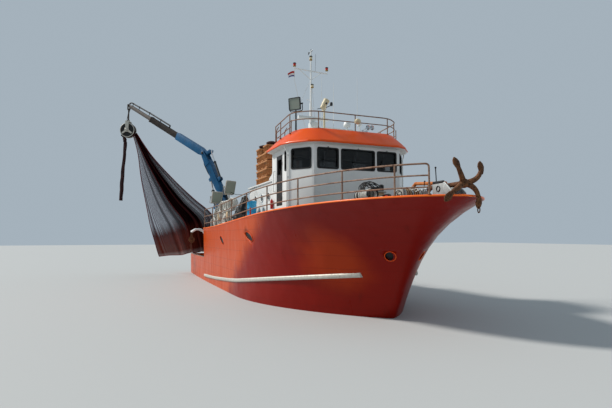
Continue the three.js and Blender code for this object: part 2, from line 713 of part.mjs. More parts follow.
function radarScanner() {
  const low = RADAR.top + GAP;
  return join(
    bar([RADAR.x, RADAR.y, low], [RADAR.x, RADAR.y, low + 60], 75, 12),
    sidePrism([[-70, 50], [70, 50], [85, 100], [60, 165], [-60, 165], [-85, 100]], -640, 640)
      .translate(RADAR.x, RADAR.y, low),
  );
}

add("radar_pedestal", radarPedestal(), WHITE, 0.4);
add("radar_scanner", radarScanner(), WHITE, 0.4);

// Roof floodlight at the starboard corner of the flying bridge, deck floodlights and the small searchlight
function lampHead(width, tall, deep) {
  const frame = (x, half, low, high) => [[x, -half, low], [x, half, low], [x, half, high], [x, -half, high]];
  return loft([
    frame(0, width / 2, -tall / 2, tall / 2),
    frame(-60, width / 2, -tall / 2, tall / 2),
    frame(-deep, width / 4, -tall / 3, tall / 4),
  ]);
}

function floodlight({ x, y, z, base, width, tall, deep, facing, pitch, post = 45 }) {
  const postX = x - Math.cos(facing) * deep * 0.5;
  const postY = y - Math.sin(facing) * deep * 0.5;
  const neck = z - tall / 2;
  return join(
    lampHead(width, tall, deep).rotateY(pitch).rotateZ(facing).translate(x, y, z),
    bar([x, y, z - tall * 0.2], [postX, postY, neck - 60], 30),
    bar([postX, postY, neck - 90], [postX, postY, base + 8], post, 10),
    bar([postX, postY, neck - 95], [postX, postY, z - tall * 0.1], 28, 8),
    turned([[0, 0], [post * 2, 0], [post * 2, 16], [0, 16]], 12, [postX, postY, base]),
  );
}

const ROOF_LAMP = { x: 5150, y: -2000, z: 7570, base: ROOF_TOP_Z + GAP, width: 500, tall: 480, deep: 260,
  facing: rad(-50), pitch: 0.12, post: 35 };
const DECK_LAMPS = [
  { name: "deck_floodlight_mid", x: -1250, y: -2950, z: 4950, width: 600, tall: 680, facing: 25 },
  { name: "deck_floodlight_aft", x: -3550, y: -3140, z: 4630, width: 640, tall: 620, facing: 20 },
];

function deckLamp({ x, y, z, width, tall, facing }) {
  const base = RAISED_DECK_Z + GAP;
  return floodlight({ x, y, z, base, width, tall, deep: 240, facing: rad(facing), pitch: 0.25 });
}

add("roof_floodlight", floodlight(ROOF_LAMP), BLACK, 0.5);
for (const lamp of DECK_LAMPS) add(lamp.name, deckLamp(lamp), 0x8d8c86, 0.5);

function searchlight() {
  const base = ROOF_TOP_Z + GAP;
  const [x, y] = [5350, -850];
  return join(
    turned([[0, 0], [110, 0], [110, 16], [40, 26], [34, 900], [0, 900]], 10, [x, y, base]),
    block(x - 170, x + 170, y - 25, y + 25, base + 880, base + 910),
    block(x - 170, x - 152, y - 25, y + 25, base + 880, base + 1110),
    block(x + 152, x + 170, y - 25, y + 25, base + 880, base + 1110),
    bar([x, y - 95, base + 940], [x, y + 105, base + 1290], 90, 14, 120),
    bar([x - 165, y, base + 1100], [x + 165, y, base + 1100], 20, 8),
  );
}

add("searchlight", searchlight(), 0xc9b48c, 0.5);

// Foredeck gear

// Twin bitts, port and starboard, on one base
function bitts(x, y) {
  const base = RAISED_DECK_Z + GAP;
  const profile = [[0, 0], [85, 0], [85, 420], [105, 440], [105, 480], [0, 490]];
  const post = (dx) => turned(profile, 12, [x + dx, y, base + 20]);
  return join(block(x - 380, x + 380, y - 150, y + 150, base, base + 25), post(-210), post(210));
}

add("bitts_starboard", bitts(8350, -1500), 0x2b2c2e, 0.5, 0.4);
add("bitts_port", bitts(8350, 1500), 0x2b2c2e, 0.5, 0.4);

// Windlass: side cheeks on a bed, with a drum that turns between them
const WINDLASS = { x: 9650, z: 3780 };

function windlassFrame() {
  const base = RAISED_DECK_Z + GAP;
  const cheek = (y) => sidePrism([[WINDLASS.x - 330, base + 40], [WINDLASS.x + 330, base + 40],
    [WINDLASS.x + 170, WINDLASS.z + 190], [WINDLASS.x - 170, WINDLASS.z + 190]], y - 35, y + 35);
  const tieBar = bar([WINDLASS.x - 240, -300, base + 170], [WINDLASS.x - 240, 300, base + 170], 26, 8);
  return join(
    block(WINDLASS.x - 420, WINDLASS.x + 420, -460, 620, base, base + 45),
    cheek(-310), cheek(310), tieBar,
    block(WINDLASS.x - 220, WINDLASS.x + 220, 340, 600, base + 40, WINDLASS.z + 150),
  );
}

function windlassDrum() {
  const { x, z } = WINDLASS;
  const disc = (y0, y1, radius) => bar([x, y0, z], [x, y1, z], radius, 16);
  return join(disc(-274.7, 274.7, 150), disc(-274.7, -240, 250), disc(240, 274.7, 250), disc(-20, 20, 240));
}

add("windlass_frame", windlassFrame(), 0xb9bab6, 0.5, 0.2);
add("windlass_drum", windlassDrum(), 0x8d8c86, 0.5, 0.4);

// Rope drum standing on its end on the foredeck, wound with line
function ropeDrum() {
  const base = RAISED_DECK_Z + GAP;
  const profile = [[0, 0], [330, 0], [330, 30], [290, 40], [290, 1000], [330, 1010], [330, 1050], [250, 1080],
    [0, 1080]];
  return turned(profile, 20, [8300, -350, base]);
}

add("rope_drum", ropeDrum(), 0xb98d62, 0.8);

// Anchor davit: a bent pipe over the windlass that carries the chain
function anchorPipe() {
  const path = [[8650, 560, RAISED_DECK_Z + 20], [8650, 560, 3850], [9200, 560, 4220], [10650, 560, 4090]];
  return join(
    bentPipe(path, 55, 8),
    block(8520, 8780, 430, 690, RAISED_DECK_Z + GAP, RAISED_DECK_Z + 30),
    bar([10500, 560, 4100], [10500, 560, sheer(10500) + 2], 45, 8),
  );
}

add("foredeck_pipe", anchorPipe(), 0xa8602c, 0.6);

// Stem-head roller frame and the four-armed grapnel whose shank lies on the roller
const ROLLER = { x: 11250, z: sheer(11900) + 200, radius: 70 };
const ANCHOR = { x: 12050, shank: 70, tailX: 10700 };
const CROWN_Z = ROLLER.z + ROLLER.radius + ANCHOR.shank + GAP;
// Arm tips, seen from ahead: [to port, up]
const ANCHOR_ARMS = [[-620, -400], [340, -540], [-350, 520], [430, 460]];

function stemRoller() {
  const base = sheer(11900) + GAP;
  const cheek = (y) => sidePrism([[11050, base], [11900, base], [11900, base + 120], [11550, base + 420],
    [11050, base + 420]], y - 20, y + 20);
  return join(
    cheek(-190), cheek(190),
    block(11050, 11700, -200, 200, base, base + 20),
    bar([ROLLER.x, -190, ROLLER.z], [ROLLER.x, 190, ROLLER.z], ROLLER.radius, 12),
  );
}

function anchor() {
  const { x, shank, tailX } = ANCHOR;
  const crown = [x, 0, CROWN_Z];
  const pieces = [ball(crown, 150, 8), bar(crown, [tailX, 0, CROWN_Z], shank, 12)];
  for (const [dy, dz] of ANCHOR_ARMS) {
    const elbow = [x + 190, dy * 0.62, CROWN_Z + dz * 0.5];
    const tip = [x + 130, dy, CROWN_Z + dz];
    const way = vector(tip).sub(vector(crown)).normalize();
    const palm = new THREE.SphereGeometry(1, 6, 4).scale(60, 130, 120);
    palm.applyQuaternion(new THREE.Quaternion().setFromUnitVectors(new THREE.Vector3(0, 0, 1), way));
    pieces.push(bentPipe([crown, elbow, tip], 50, 6), palm.translate(...tip));
  }
  return join(...pieces);
}

add("stem_roller", stemRoller(), 0x9a9a96, 0.6);
add("anchor", anchor(), RUST, 0.8);

// Hold hatch on the raised deck, aft of the deckhouse
const HATCH = { x0: -4400, x1: -3000, y0: -700, y1: 900, z: 3330 };

function hatchCoaming() {
  const { x0, x1, y0, y1, z } = HATCH;
  const trunk = block(x0 + 60, x1 - 60, y0 + 60, y1 - 60, 2900, z + 50);
  return cut(block(x0, x1, y0, y1, RAISED_DECK_Z + GAP, z), trunk);
}

function hatchLid() {
  const { x0, x1, y0, y1, z } = HATCH;
  const low = z + GAP;
  const hinge = (x) => bar([x - 90, y1 + 60, low + 32], [x + 90, y1 + 60, low + 32], 30, 10);
  const strap = (x) => block(x - 60, x + 60, y1 - 200, y1 + 60, low + 45, low + 62);
  const handle = [[x0 + 500, y0 + 80, low + 50], [x0 + 500, y0 + 80, low + 120],
    [x1 - 500, y0 + 80, low + 120], [x1 - 500, y0 + 80, low + 50]];
  return join(
    block(x0 - 30, x1 + 30, y0 - 30, y1 + 30, low, low + 60),
    hinge(x0 + 300), hinge(x1 - 300),
    strap(x0 + 300), strap(x1 - 300),
    bentPipe(handle, 14, 6),
  );
}

add("hatch_coaming", hatchCoaming(), WHITE, 0.5);
add("hatch_lid", hatchLid(), 0xc9c9c4, 0.5);

// Stacked fish boxes on the deckhouse roof: three columns, each box inset a little at its foot
const BOX = { x0: 350, width: 560, y0: -2120, y1: -1320, tall: 345, count: 5 };

function fishBoxes() {
  const pieces = [];
  for (let column = 0; column < 3; column += 1) {
    const x0 = BOX.x0 + column * (BOX.width - 2);
    for (let level = 0; level < BOX.count - column % 2; level += 1) {
      const z0 = CABIN_TOP_Z + GAP + level * BOX.tall;
      pieces.push(block(x0 + 18, x0 + BOX.width - 18, BOX.y0 + 18, BOX.y1 - 18, z0, z0 + BOX.tall + 1));
      pieces.push(block(x0, x0 + BOX.width, BOX.y0, BOX.y1, z0 + BOX.tall - 60, z0 + BOX.tall));
    }
  }
  return join(...pieces);
}

add("fish_boxes", fishBoxes(), 0xb8733a, 0.7);

// Plastic drum on a low stand beside the deckhouse
const BARREL = { x: 1500, y: -2640, radius: 230, stand: 200, tall: 950 };

function barrel() {
  const { radius, stand, tall } = BARREL;
  const drum = [[radius - 20, 0], [radius, 30], [radius, 300], [radius + 12, 320], [radius, 340],
    [radius, 600], [radius + 12, 620], [radius, 640], [radius, tall - 40], [radius - 20, tall], [0, tall]];
  const profile = [[0, 0], [180, 0], [180, stand], ...drum.map(([r, z]) => [r, z + stand])];
  return turned(profile, 16, [BARREL.x, BARREL.y, RAISED_DECK_Z + GAP]);
}

add("barrel", barrel(), 0x1c8cc4, 0.5, 0);

// Net winch amidships on the raised deck: a bed with three standards, two drums on one shaft
const WINCH = { x: -2150, z: 3560, y0: -1500, y1: 1500 };

function winchFrame() {
  const base = RAISED_DECK_Z + GAP;
  const { x, y0, y1, z } = WINCH;
  const side = [[x - 330, base + 40], [x + 330, base + 40], [x + 130, z + 180], [x - 130, z + 180]];
  const standard = (y) => sidePrism(side, y - 45, y + 45);
  return join(
    block(x - 430, x + 430, y0 - 60, y1 + 60, base, base + 50),
    standard(y0), standard(0), standard(y1),
    block(x - 200, x + 200, y1 + 40, y1 + 360, base + 280, z + 140),
  );
}

function winchDrum(y0, y1) {
  const across = (a, b, radius) => bar([WINCH.x, a, WINCH.z], [WINCH.x, b, WINCH.z], radius, 16);
  return join(across(y0, y1, 150), across(y0, y0 + 35, 330), across(y1 - 35, y1, 330),
    across(y0 + 35, y1 - 35, 240));
}

add("winch_frame", winchFrame(), 0xd0d0cb, 0.5);
add("winch_drum_starboard", winchDrum(WINCH.y0 + 45.3, -45.3), 0x9a9a92, 0.6);
add("winch_drum_port", winchDrum(45.3, WINCH.y1 - 45.3), 0x9a9a92, 0.6);

// Deckhouse door, hung at its port edge, opening aft
function cabinDoor() {
  const { y0, y1, z0, z1 } = CABIN_DOOR;
  const x = CABIN_AFT_X;
  const hingeX = x - HINGE_RADIUS - GAP;
  const hinge = (z) => join(
    bar([hingeX, y1, z - 60], [hingeX, y1, z + 60], HINGE_RADIUS, 12),
    block(hingeX, x + 12, y1 - 60, y1 - 6, z - 50, z + 50),
  );
  return join(
    block(x + 5, x + 55, y0 + 6, y1 - 6, z0 + 6, z1 - 6),
    hinge(3500), hinge(4450),
    bar([x + 10, y0 + 80, 3950], [x - 60, y0 + 80, 3950], 12),
    bar([x - 55, y0 + 80, 3950], [x - 55, y0 + 200, 3950], 12),
  );
}

add("deckhouse_door", cabinDoor(), 0xd9d9d4, 0.4);

// Steep ladder up the aft wall of the deckhouse
function roofLadder() {
  const x0 = CABIN_AFT_X - 620;
  const x1 = CABIN_AFT_X - 150;
  const pieces = [];
  const deck = RAISED_DECK_Z + GAP;
  const top = CABIN_TOP_Z;
  for (const y of [700, 1250]) {
    pieces.push(sidePrism([[x0 - 70, deck], [x0 + 70, deck], [x1 + 70, top - 60], [x1 - 70, top - 60]],
      y - 14, y + 14));
    pieces.push(bentPipe([[x0 + 60, y, deck + 420], [x0 - 150, y, deck + 1100], [x1 - 60, y, top + 850],
      [x1 + 350, y, top + 850], [x1 + 350, y, top + GAP]], 20, RAIL_SIDES));
  }
  for (let step = 1; step <= 6; step += 1) {
    const share = step / 7;
    const x = mix(x0, x1, share);
    const z = mix(RAISED_DECK_Z, top - 60, share);
    pieces.push(block(x - 60, x + 60, 710, 1240, z - 12, z + 12));
  }
  return join(...pieces);
}

add("roof_ladder", roofLadder(), WHITE, 0.4);

// Crane
const crane = new THREE.Matrix4().makeTranslation(CRANE_X, CRANE_Y, 0).multiply(
  new THREE.Matrix4().makeRotationZ(CRANE_TURN));

// Everything below is drawn with x for the reach r, y across the boom, z up, and then turned into place
function inCrane(geometry) {
  return geometry.applyMatrix4(crane);
}

const MAIN_ANGLE = Math.atan2(CRANE_KNEE[1] - CRANE_PIVOT_Z, CRANE_KNEE[0]);
const MAIN_LENGTH = Math.hypot(CRANE_KNEE[0], CRANE_KNEE[1] - CRANE_PIVOT_Z);
const OUTER_ANGLE = Math.atan2(CRANE_TIP[1] - CRANE_KNEE[1], CRANE_TIP[0] - CRANE_KNEE[0]);
const OUTER_LENGTH = Math.hypot(CRANE_TIP[0] - CRANE_KNEE[0], CRANE_TIP[1] - CRANE_KNEE[1]);
const OUTER_BOX_END = 2800;
const STAGE_END = 5900;

// A piece drawn along +X from a pivot, turned up by an angle about the pivot
function raised(geometry, angle, [r, z]) {
  return geometry.rotateY(-angle).translate(r, 0, z);
}

// A box section that tapers along +X: stations are [x, half width, low z, high z]
function boxBeam(stations) {
  return loft(stations.map(([x, half, low, high]) => [
    [x, -half, low], [x, half, low], [x, half, high], [x, -half, high],
  ]));
}

const PIN_SIDES = 14;
const PIVOT_PIN = 60;
const KNEE_PIN = 55;
const TIP_PIN = 35;

function acrossPin([r, z], radius, half) {
  return bar([r, -half, z], [r, half, z], radius, PIN_SIDES);
}

// The bore a pin turns in: its flats clear the pin's corners
function acrossBore(centre, pin, half) {
  return acrossPin(centre, (pin + GAP) / Math.cos(Math.PI / PIN_SIDES), half);
}

function craneBase() {
  const base = RAISED_DECK_Z + GAP;
  const profile = [[0, 0], [420, 0], [420, 40], [300, 60], [290, 900], [330, 920], [330, 980], [0, 980]];
  return inCrane(turned(profile, 20, [0, 0, base]));
}

const COLUMN_LOW_Z = RAISED_DECK_Z + GAP + 980 + GAP;
const LIFT_FOOT = [520, 4240];

function craneColumn() {
  const top = CRANE_PIVOT_Z + 150;
  const [r, z] = LIFT_FOOT;
  const ears = (y) => sidePrism([[-230, 4350], [240, 4350], [170, top], [-150, top]], y - 30, y + 30);
  const footEars = (y) => sidePrism([[150, z - 170], [r + 60, z - 100], [r + 60, z + 90], [150, z + 120]],
    y - 20, y + 20);
  return inCrane(join(
    turned([[0, 0], [330, 0], [330, 60], [260, 90], [250, 420], [0, 420]], 20, [0, 0, COLUMN_LOW_Z]),
    ears(-215), ears(215),
    footEars(-110), footEars(110),
    acrossPin([0, CRANE_PIVOT_Z], PIVOT_PIN, 260),
  ));
}

const MAIN_LUG = [1250, -330];
const KNUCKLE_LUG = [900, 330];

function mainBoom() {
  const lugs = (x, z, toward) => {
    const tip = z + toward * 80;
    const side = [[x - 150, toward * 150], [x + 150, toward * 150], [x + 90, tip], [x - 90, tip]];
    return [-95, 95].map((y) => sidePrism(side, y - 18, y + 18));
  };
  const pieces = [
    boxBeam([[110, 150, -120, 120], [500, 170, -190, 190], [MAIN_LENGTH - 600, 170, -200, 190]]),
    ...lugs(MAIN_LUG[0], MAIN_LUG[1], -1),
    ...lugs(KNUCKLE_LUG[0], KNUCKLE_LUG[1], 1),
  ];
  const body = raised(join(...pieces), MAIN_ANGLE, [0, CRANE_PIVOT_Z]);
  const sleeve = acrossPin([0, CRANE_PIVOT_Z], 150, 184);
  const cheek = [[MAIN_LENGTH - 850, 22, -200, 180], [MAIN_LENGTH - 200, 22, -160, 150],
    [MAIN_LENGTH + 130, 22, -90, 90]];
  const kneeCheek = (y) => raised(boxBeam(cheek).translate(0, y, 0), MAIN_ANGLE, [0, CRANE_PIVOT_Z]);
  const whole = join(body, sleeve, kneeCheek(-187), kneeCheek(187), acrossPin(CRANE_KNEE, KNEE_PIN, 230));
  return inCrane(cut(whole, acrossBore([0, CRANE_PIVOT_Z], PIVOT_PIN, 300)));
}

function outerBoom() {
  const beam = boxBeam([[-60, 130, -150, 150], [350, 155, -225, 230], [OUTER_BOX_END, 155, -215, 225]]);
  const bore = block(700, OUTER_BOX_END + 100, -125, 125, -165, 175);
  const tail = boxBeam([[-240, 113, -60, 165], [60, 113, -120, 170]]);
  const side = [[-150, -40], [-150, 150], [-370, 400], [-490, 400], [-510, 270], [-300, -10]];
  const fork = (y) => sidePrism(side, y - 18, y + 18);
  const pieces = [tail, fork(-95), fork(95), acrossPin([0, 0], 140, 160)];
  const bareBeam = cut(join(beam, ...pieces), bore, acrossBore([0, 0], KNEE_PIN, 300));
  return inCrane(raised(bareBeam, OUTER_ANGLE, CRANE_KNEE));
}

// Two steel extensions, one inside the other, drawn as the body that slides in the outer boom
function extension() {
  const beam = join(
    block(1650, STAGE_END, -124.5, 124.5, -164.5, 174.5),
    block(STAGE_END - 100, OUTER_LENGTH - 330, -85, 85, -105, 115),
    block(STAGE_END - 120, STAGE_END, -138, 138, -180, 190),
  );
  const end = [OUTER_LENGTH, 0];
  const eye = join(block(OUTER_LENGTH - 350, OUTER_LENGTH, -55, 55, -70, 80), acrossPin(end, 85, 55));
  const whole = cut(join(beam, eye), acrossBore(end, TIP_PIN, 200));
  return inCrane(raised(whole, OUTER_ANGLE, CRANE_KNEE));
}

// A point on the main boom, given in the boom's own x and z, as reach and height
function onMain([x, z]) {
  const [c, s] = [Math.cos(MAIN_ANGLE), Math.sin(MAIN_ANGLE)];
  return [x * c - z * s, CRANE_PIVOT_Z + x * s + z * c];
}

function onOuter([x, z]) {
  const [c, s] = [Math.cos(OUTER_ANGLE), Math.sin(OUTER_ANGLE)];
  return [CRANE_KNEE[0] + x * c - z * s, CRANE_KNEE[1] + x * s + z * c];
}

// A cylinder from its foot pin to its rod's eye: the barrel covers a share of the length
function cylinder(foot, head, share, radius, footHalf) {
  const length = Math.hypot(head[0] - foot[0], head[1] - foot[1]);
  const angle = Math.atan2(head[1] - foot[1], head[0] - foot[0]);
  const turn = (geometry) => inCrane(raised(geometry, angle, foot));
  const barrelEnd = length * share;
  const bore = bar([barrelEnd - 900, 0, 0], [barrelEnd + 10, 0, 0], radius * 0.55 + 0.5, 14);
  const tube = bar([30, 0, 0], [barrelEnd, 0, 0], radius, 16);
  const barrel = cut(join(tube, acrossPin([0, 0], radius * 0.9, footHalf)), bore);
  const rod = join(bar([barrelEnd - 550, 0, 0], [length - 20, 0, 0], radius * 0.55, 14),
    acrossPin([length, 0], radius * 0.8, 76));
  return { barrel: turn(barrel), rod: turn(rod) };
}

add("crane_base", craneBase(), BLUE, 0.4);
add("crane_column", craneColumn(), BLUE, 0.4);
add("crane_main_boom", mainBoom(), BLUE, 0.4);
add("crane_outer_boom", outerBoom(), BLUE, 0.4);
add("crane_extension", extension(), STEEL, 0.5, 0.5);
const lift = cylinder(LIFT_FOOT, onMain(MAIN_LUG), 0.62, 85, 89);
add("lift_cylinder_barrel", lift.barrel, BLACK, 0.4);
add("lift_cylinder_rod", lift.rod, 0xb9bcc0, 0.2, 0.9);
const knuckle = cylinder(onMain(KNUCKLE_LUG), onOuter([-430, 330]), 0.62, 70, 76);
add("knuckle_cylinder_barrel", knuckle.barrel, BLACK, 0.4);
add("knuckle_cylinder_rod", knuckle.rod, 0xb9bcc0, 0.2, 0.9);

// Power block. A link hangs from the tip's pin, and the block turns about the link's foot.
const TIP = [CRANE_X + CRANE_TIP[0] * Math.cos(CRANE_TURN), CRANE_Y + CRANE_TIP[0] * Math.sin(CRANE_TURN),
  CRANE_TIP[1]];
const SHEAVE_Z = 9880;
const SHEAVE_RADIUS = 500;
const BLOCK_TURN = rad(158);
const BLOCK_TOP_Z = SHEAVE_Z + 640;

function blockLink() {
  const [r, z] = CRANE_TIP;
  const strap = (y) => block(r - 60, r + 60, y - 16, y + 16, z - 260, z + 80);
  return inCrane(join(
    strap(-72), strap(72),
    block(r - 60, r + 60, -88, 88, z - 320, z - 255),
    acrossPin([r, z], TIP_PIN, 100),
    bar([r, 0, z - 300], [r, 0, BLOCK_TOP_Z + 62.3], 45, 12),
    bar([r, 0, BLOCK_TOP_Z + 62.3], [r, 0, BLOCK_TOP_Z + 110], 80, 12),
  ));
}

// The block is drawn with its axle along X about the link's line, and then turned
function inBlock(geometry) {
  return geometry.rotateZ(BLOCK_TURN).translate(TIP[0], TIP[1], 0);
}

function axial([x0, x1], radius, sides, endRadius = radius) {
  return bar([x0, 0, SHEAVE_Z], [x1, 0, SHEAVE_Z], radius, sides, endRadius);
}

function blockFrame() {
  const cheek = (x) => {
    const outline = [[-130, BLOCK_TOP_Z], [130, BLOCK_TOP_Z], [380, SHEAVE_Z + 130], [330, SHEAVE_Z - 330],
      [-330, SHEAVE_Z - 330], [-380, SHEAVE_Z + 130]];
    return sidePrism(outline, x - 18, x + 18).rotateZ(Math.PI / 2);
  };
  return inBlock(join(
    cheek(-262), cheek(262),
    block(-280, 280, -130, 130, BLOCK_TOP_Z - 50, BLOCK_TOP_Z),
    bar([0, 0, BLOCK_TOP_Z - 10], [0, 0, BLOCK_TOP_Z + 62], 100, 14),
  ));
}

function sheave() {
  return inBlock(join(
    axial([-243.7, 243.7], 90, 14),
    axial([-225, -195], SHEAVE_RADIUS, 18), axial([195, 225], SHEAVE_RADIUS, 18),
    axial([-200, 2], SHEAVE_RADIUS - 30, 18, 250), axial([-2, 180], 250, 18, SHEAVE_RADIUS - 30),
  ));
}

add("block_link", blockLink(), STEEL, 0.5, 0.5);
add("block_frame", blockFrame(), 0x4a4b4a, 0.5, 0.4);
add("block_sheave", sheave(), 0x8a8378, 0.6, 0.3);

// Net: over the sheave as a bundle, down one side as a short tail, down the other as a wide fan
const NET_OVER = 422.2;
const BLOCK_RIGHT = [-Math.sin(BLOCK_TURN), Math.cos(BLOCK_TURN)];
// The tail, from its foot to the sheave: [away from the axle, z]
const NET_TAIL = [[-400, 5000], [-300, 7000], [-190, 9050], [-250, 9400], [-390, 9660]];
// Edges of the fan from the sheave to the foot: [left x, y, z, right x, y, z]
const FAN = [
  [-12975, -7190, 9600, -12800, -6980, 9700],
  [-12880, -6850, 8300, -12000, -5960, 8000],
  [-12860, -6600, 6600, -10925, -4625, 6320],
  [-12830, -6200, 4600, -10010, -3490, 5060],
  [-12800, -5850, 3000, -9100, -2350, 3880],
  [-12770, -5500, 1800, -9000, -2200, 2700],
  [-12750, -5300, 1150, -8900, -2100, 1800],
];

function netBundle() {
  const away = (distance) => [0, 1].map((i) => TIP[i] - BLOCK_RIGHT[i] * distance);
  const points = NET_TAIL.map(([distance, z]) => [...away(distance), z]);
  for (let i = 0; i <= 8; i += 1) {
    const turn = Math.PI * (1 - i / 8);
    points.push([...away(Math.cos(turn) * NET_OVER), SHEAVE_Z + Math.sin(turn) * NET_OVER]);
  }
  points.push([...away(NET_OVER + 20), 9560]);
  return curvedPipe(points, 105, 8, 32);
}

function netFan() {
  const across = 8;
  const rings = FAN.map(([lx, ly, lz, rx, ry, rz], level) => {
    const left = new THREE.Vector3(lx, ly, lz);
    const right = new THREE.Vector3(rx, ry, rz);
    const along = right.clone().sub(left);
    const out = new THREE.Vector3(along.y, -along.x, 0).normalize();
    const wave = (i) => Math.sin(i * 2.1) * 25 * level;
    const front = [];
    const back = [];
    for (let i = 0; i <= across; i += 1) {
      const middle = left.clone().addScaledVector(along, i / across);
      front.push(middle.clone().addScaledVector(out, wave(i) + 40).toArray());
      back.push(middle.clone().addScaledVector(out, wave(i) - 40).toArray());
    }
    return [...front, ...back.reverse()];
  });
  return loft(rings);
}

add("net_hanging", join(netBundle(), netFan()), 0x35191a, 0.9, 0);

// Heap of net on the working deck
function netHeap() {
  const ring = (x, half, top) => {
    const points = [];
    for (let i = 0; i <= 10; i += 1) {
      const turn = Math.PI * (i / 10);
      points.push([x, -Math.cos(turn) * half, WORK_DECK_Z + GAP + Math.sin(turn) ** 0.7 * top]);
    }
    return points;
  };
  return loft([ring(-12100, 1700, 260), ring(-11500, 2400, 700), ring(-10200, 2600, 900),
    ring(-8800, 2600, 850), ring(-7800, 2300, 650), ring(-7300, 1600, 250)]);
}

add("net_heap", netHeap(), 0x42201d, 0.9, 0);

// Arched double-tube davit on the starboard side of the working deck
const DAVIT = { x: -7200, y: -2880, gap: 230, top: 2980, tieZ: 2820, tieRadius: 35 };

function purseDavit() {
  const { x, y, gap, top, tieZ, tieRadius } = DAVIT;
  const arch = (dx) => curvedPipe([[x + dx, y, WORK_DECK_Z + 40], [x + dx, y, 1500], [x + dx, y - 60, 2300],
    [x + dx, y - 330, 2850], [x + dx, y - 760, top], [x + dx, y - 1050, tieZ]], 60, 8, 12);
  const tie = (dy, z) => bar([x - gap, y + dy, z], [x + gap, y + dy, z], tieRadius, 8);
  return join(arch(-gap), arch(gap), tie(0, 1500), tie(-330, 2850), tie(-1040, tieZ),
    block(x - gap - 140, x + gap + 140, y - 130, y + 130, WORK_DECK_Z + GAP, WORK_DECK_Z + 50));
}

add("purse_davit", purseDavit(), WHITE, 0.45);

// A pair of hanging blocks below the davit's head
function davitBlocks() {
  const { x, y, tieZ, tieRadius } = DAVIT;
  const hangerZ = tieZ - tieRadius - GAP;
  const one = (dx) => join(
    bar([x + dx - 40, y - 1040, 2350], [x + dx + 40, y - 1040, 2350], 170, 16),
    block(x + dx - 18, x + dx + 18, y - 1090, y - 990, 2350, hangerZ),
  );
  return join(one(-110), one(110), block(x - 130, x + 130, y - 1065, y - 1015, hangerZ - 40, hangerZ));
}

add("davit_blocks", davitBlocks(), 0x5a4a3c, 0.7);

// Rudder and propeller
function rudder() {
  const blade = (x, half, low, high) => [
    [x, -half, low], [x, half, low], [x, half, high], [x, -half, high],
  ];
  const stockTop = bottomZ(RUDDER_X) - 13;
  return join(
    loft([blade(RUDDER_X + 230, 20, -2180, -760), blade(RUDDER_X + 60, 70, -2190, -750),
      blade(RUDDER_X - 150, 60, -2190, -750), blade(RUDDER_X - 620, 12, -2150, -760)]),
    bar([RUDDER_X, 0, -2279.7], [RUDDER_X, 0, stockTop], 65, 12),
  );
}

function propeller() {
  const pieces = [
    bar([PROPELLER_X + 299.7, 0, SHAFT_Z], [PROPELLER_X - 130, 0, SHAFT_Z], 130, 16, 110),
    bar([PROPELLER_X - 120, 0, SHAFT_Z], [PROPELLER_X - 260, 0, SHAFT_Z], 110, 16, 30),
  ];
  for (let i = 0; i < 4; i += 1) {
    const section = (r, chord, pitch, thick) => {
      const [c, s] = [Math.cos(pitch), Math.sin(pitch)];
      const corner = (u, v) => [u * s + v * c, u * c - v * s, r];
      return [corner(-chord, 0), corner(0, -thick), corner(chord, 0), corner(0, thick)];
    };
    const blade = loft([section(90, 130, 0.9, 30), section(330, 230, 0.65, 22), section(560, 240, 0.5, 14),
      section(PROPELLER_RADIUS, 90, 0.42, 5)]);
    pieces.push(blade.rotateX(i * Math.PI / 2 + 0.3).translate(PROPELLER_X, 0, SHAFT_Z));
  }
  return join(...pieces);
}

add("rudder", rudder(), 0x7a1c12, 0.5);
add("propeller", propeller(), 0xa8783a, 0.3, 0.9);

export default group;
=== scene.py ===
"""A steel fishing boat afloat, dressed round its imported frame.

Metres, in the frame of the part: +X to the bow, +Y to port, +Z up, with the water at z = 0.
"""

import json
import logging
from dataclasses import dataclass
from enum import Enum
from math import atan2, copysign, cos, pi, radians, sin, tan
from typing import Callable, Sequence

import bpy
from mathutils import Matrix, Vector

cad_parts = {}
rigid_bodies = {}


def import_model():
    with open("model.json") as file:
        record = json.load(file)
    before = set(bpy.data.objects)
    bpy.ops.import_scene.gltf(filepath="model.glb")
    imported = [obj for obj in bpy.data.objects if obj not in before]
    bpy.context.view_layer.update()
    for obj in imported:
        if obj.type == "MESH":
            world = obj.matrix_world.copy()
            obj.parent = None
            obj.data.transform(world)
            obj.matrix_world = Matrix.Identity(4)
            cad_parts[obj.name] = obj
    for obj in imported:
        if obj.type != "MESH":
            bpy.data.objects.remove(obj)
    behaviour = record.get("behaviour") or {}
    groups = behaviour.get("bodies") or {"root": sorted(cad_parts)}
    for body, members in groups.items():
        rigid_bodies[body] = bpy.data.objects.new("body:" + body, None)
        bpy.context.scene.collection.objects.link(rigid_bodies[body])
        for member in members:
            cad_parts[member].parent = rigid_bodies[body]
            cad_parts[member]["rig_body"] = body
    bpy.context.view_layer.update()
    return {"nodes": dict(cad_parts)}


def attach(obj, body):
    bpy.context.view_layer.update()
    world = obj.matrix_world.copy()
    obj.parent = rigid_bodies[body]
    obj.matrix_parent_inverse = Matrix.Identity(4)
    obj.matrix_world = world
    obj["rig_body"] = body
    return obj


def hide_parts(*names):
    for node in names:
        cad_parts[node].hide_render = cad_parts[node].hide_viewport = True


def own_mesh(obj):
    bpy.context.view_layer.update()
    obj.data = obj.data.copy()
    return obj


Point = tuple[float, float, float] | Vector
Pair = tuple[float, float]
Piece = bpy.types.Object
UP: Point = (0, 0, 1)
PORT: Point = (0, 1, 0)
BOW: Point = (1, 0, 0)
# The decks that things stand on, just clear of the plating
MAIN_DECK = 2.9603
HOUSE_TOP = 4.9003
BRIDGE_ROOF = 6.5003
log = logging.getLogger("fishing_boat")
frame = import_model()


# Modelling tools


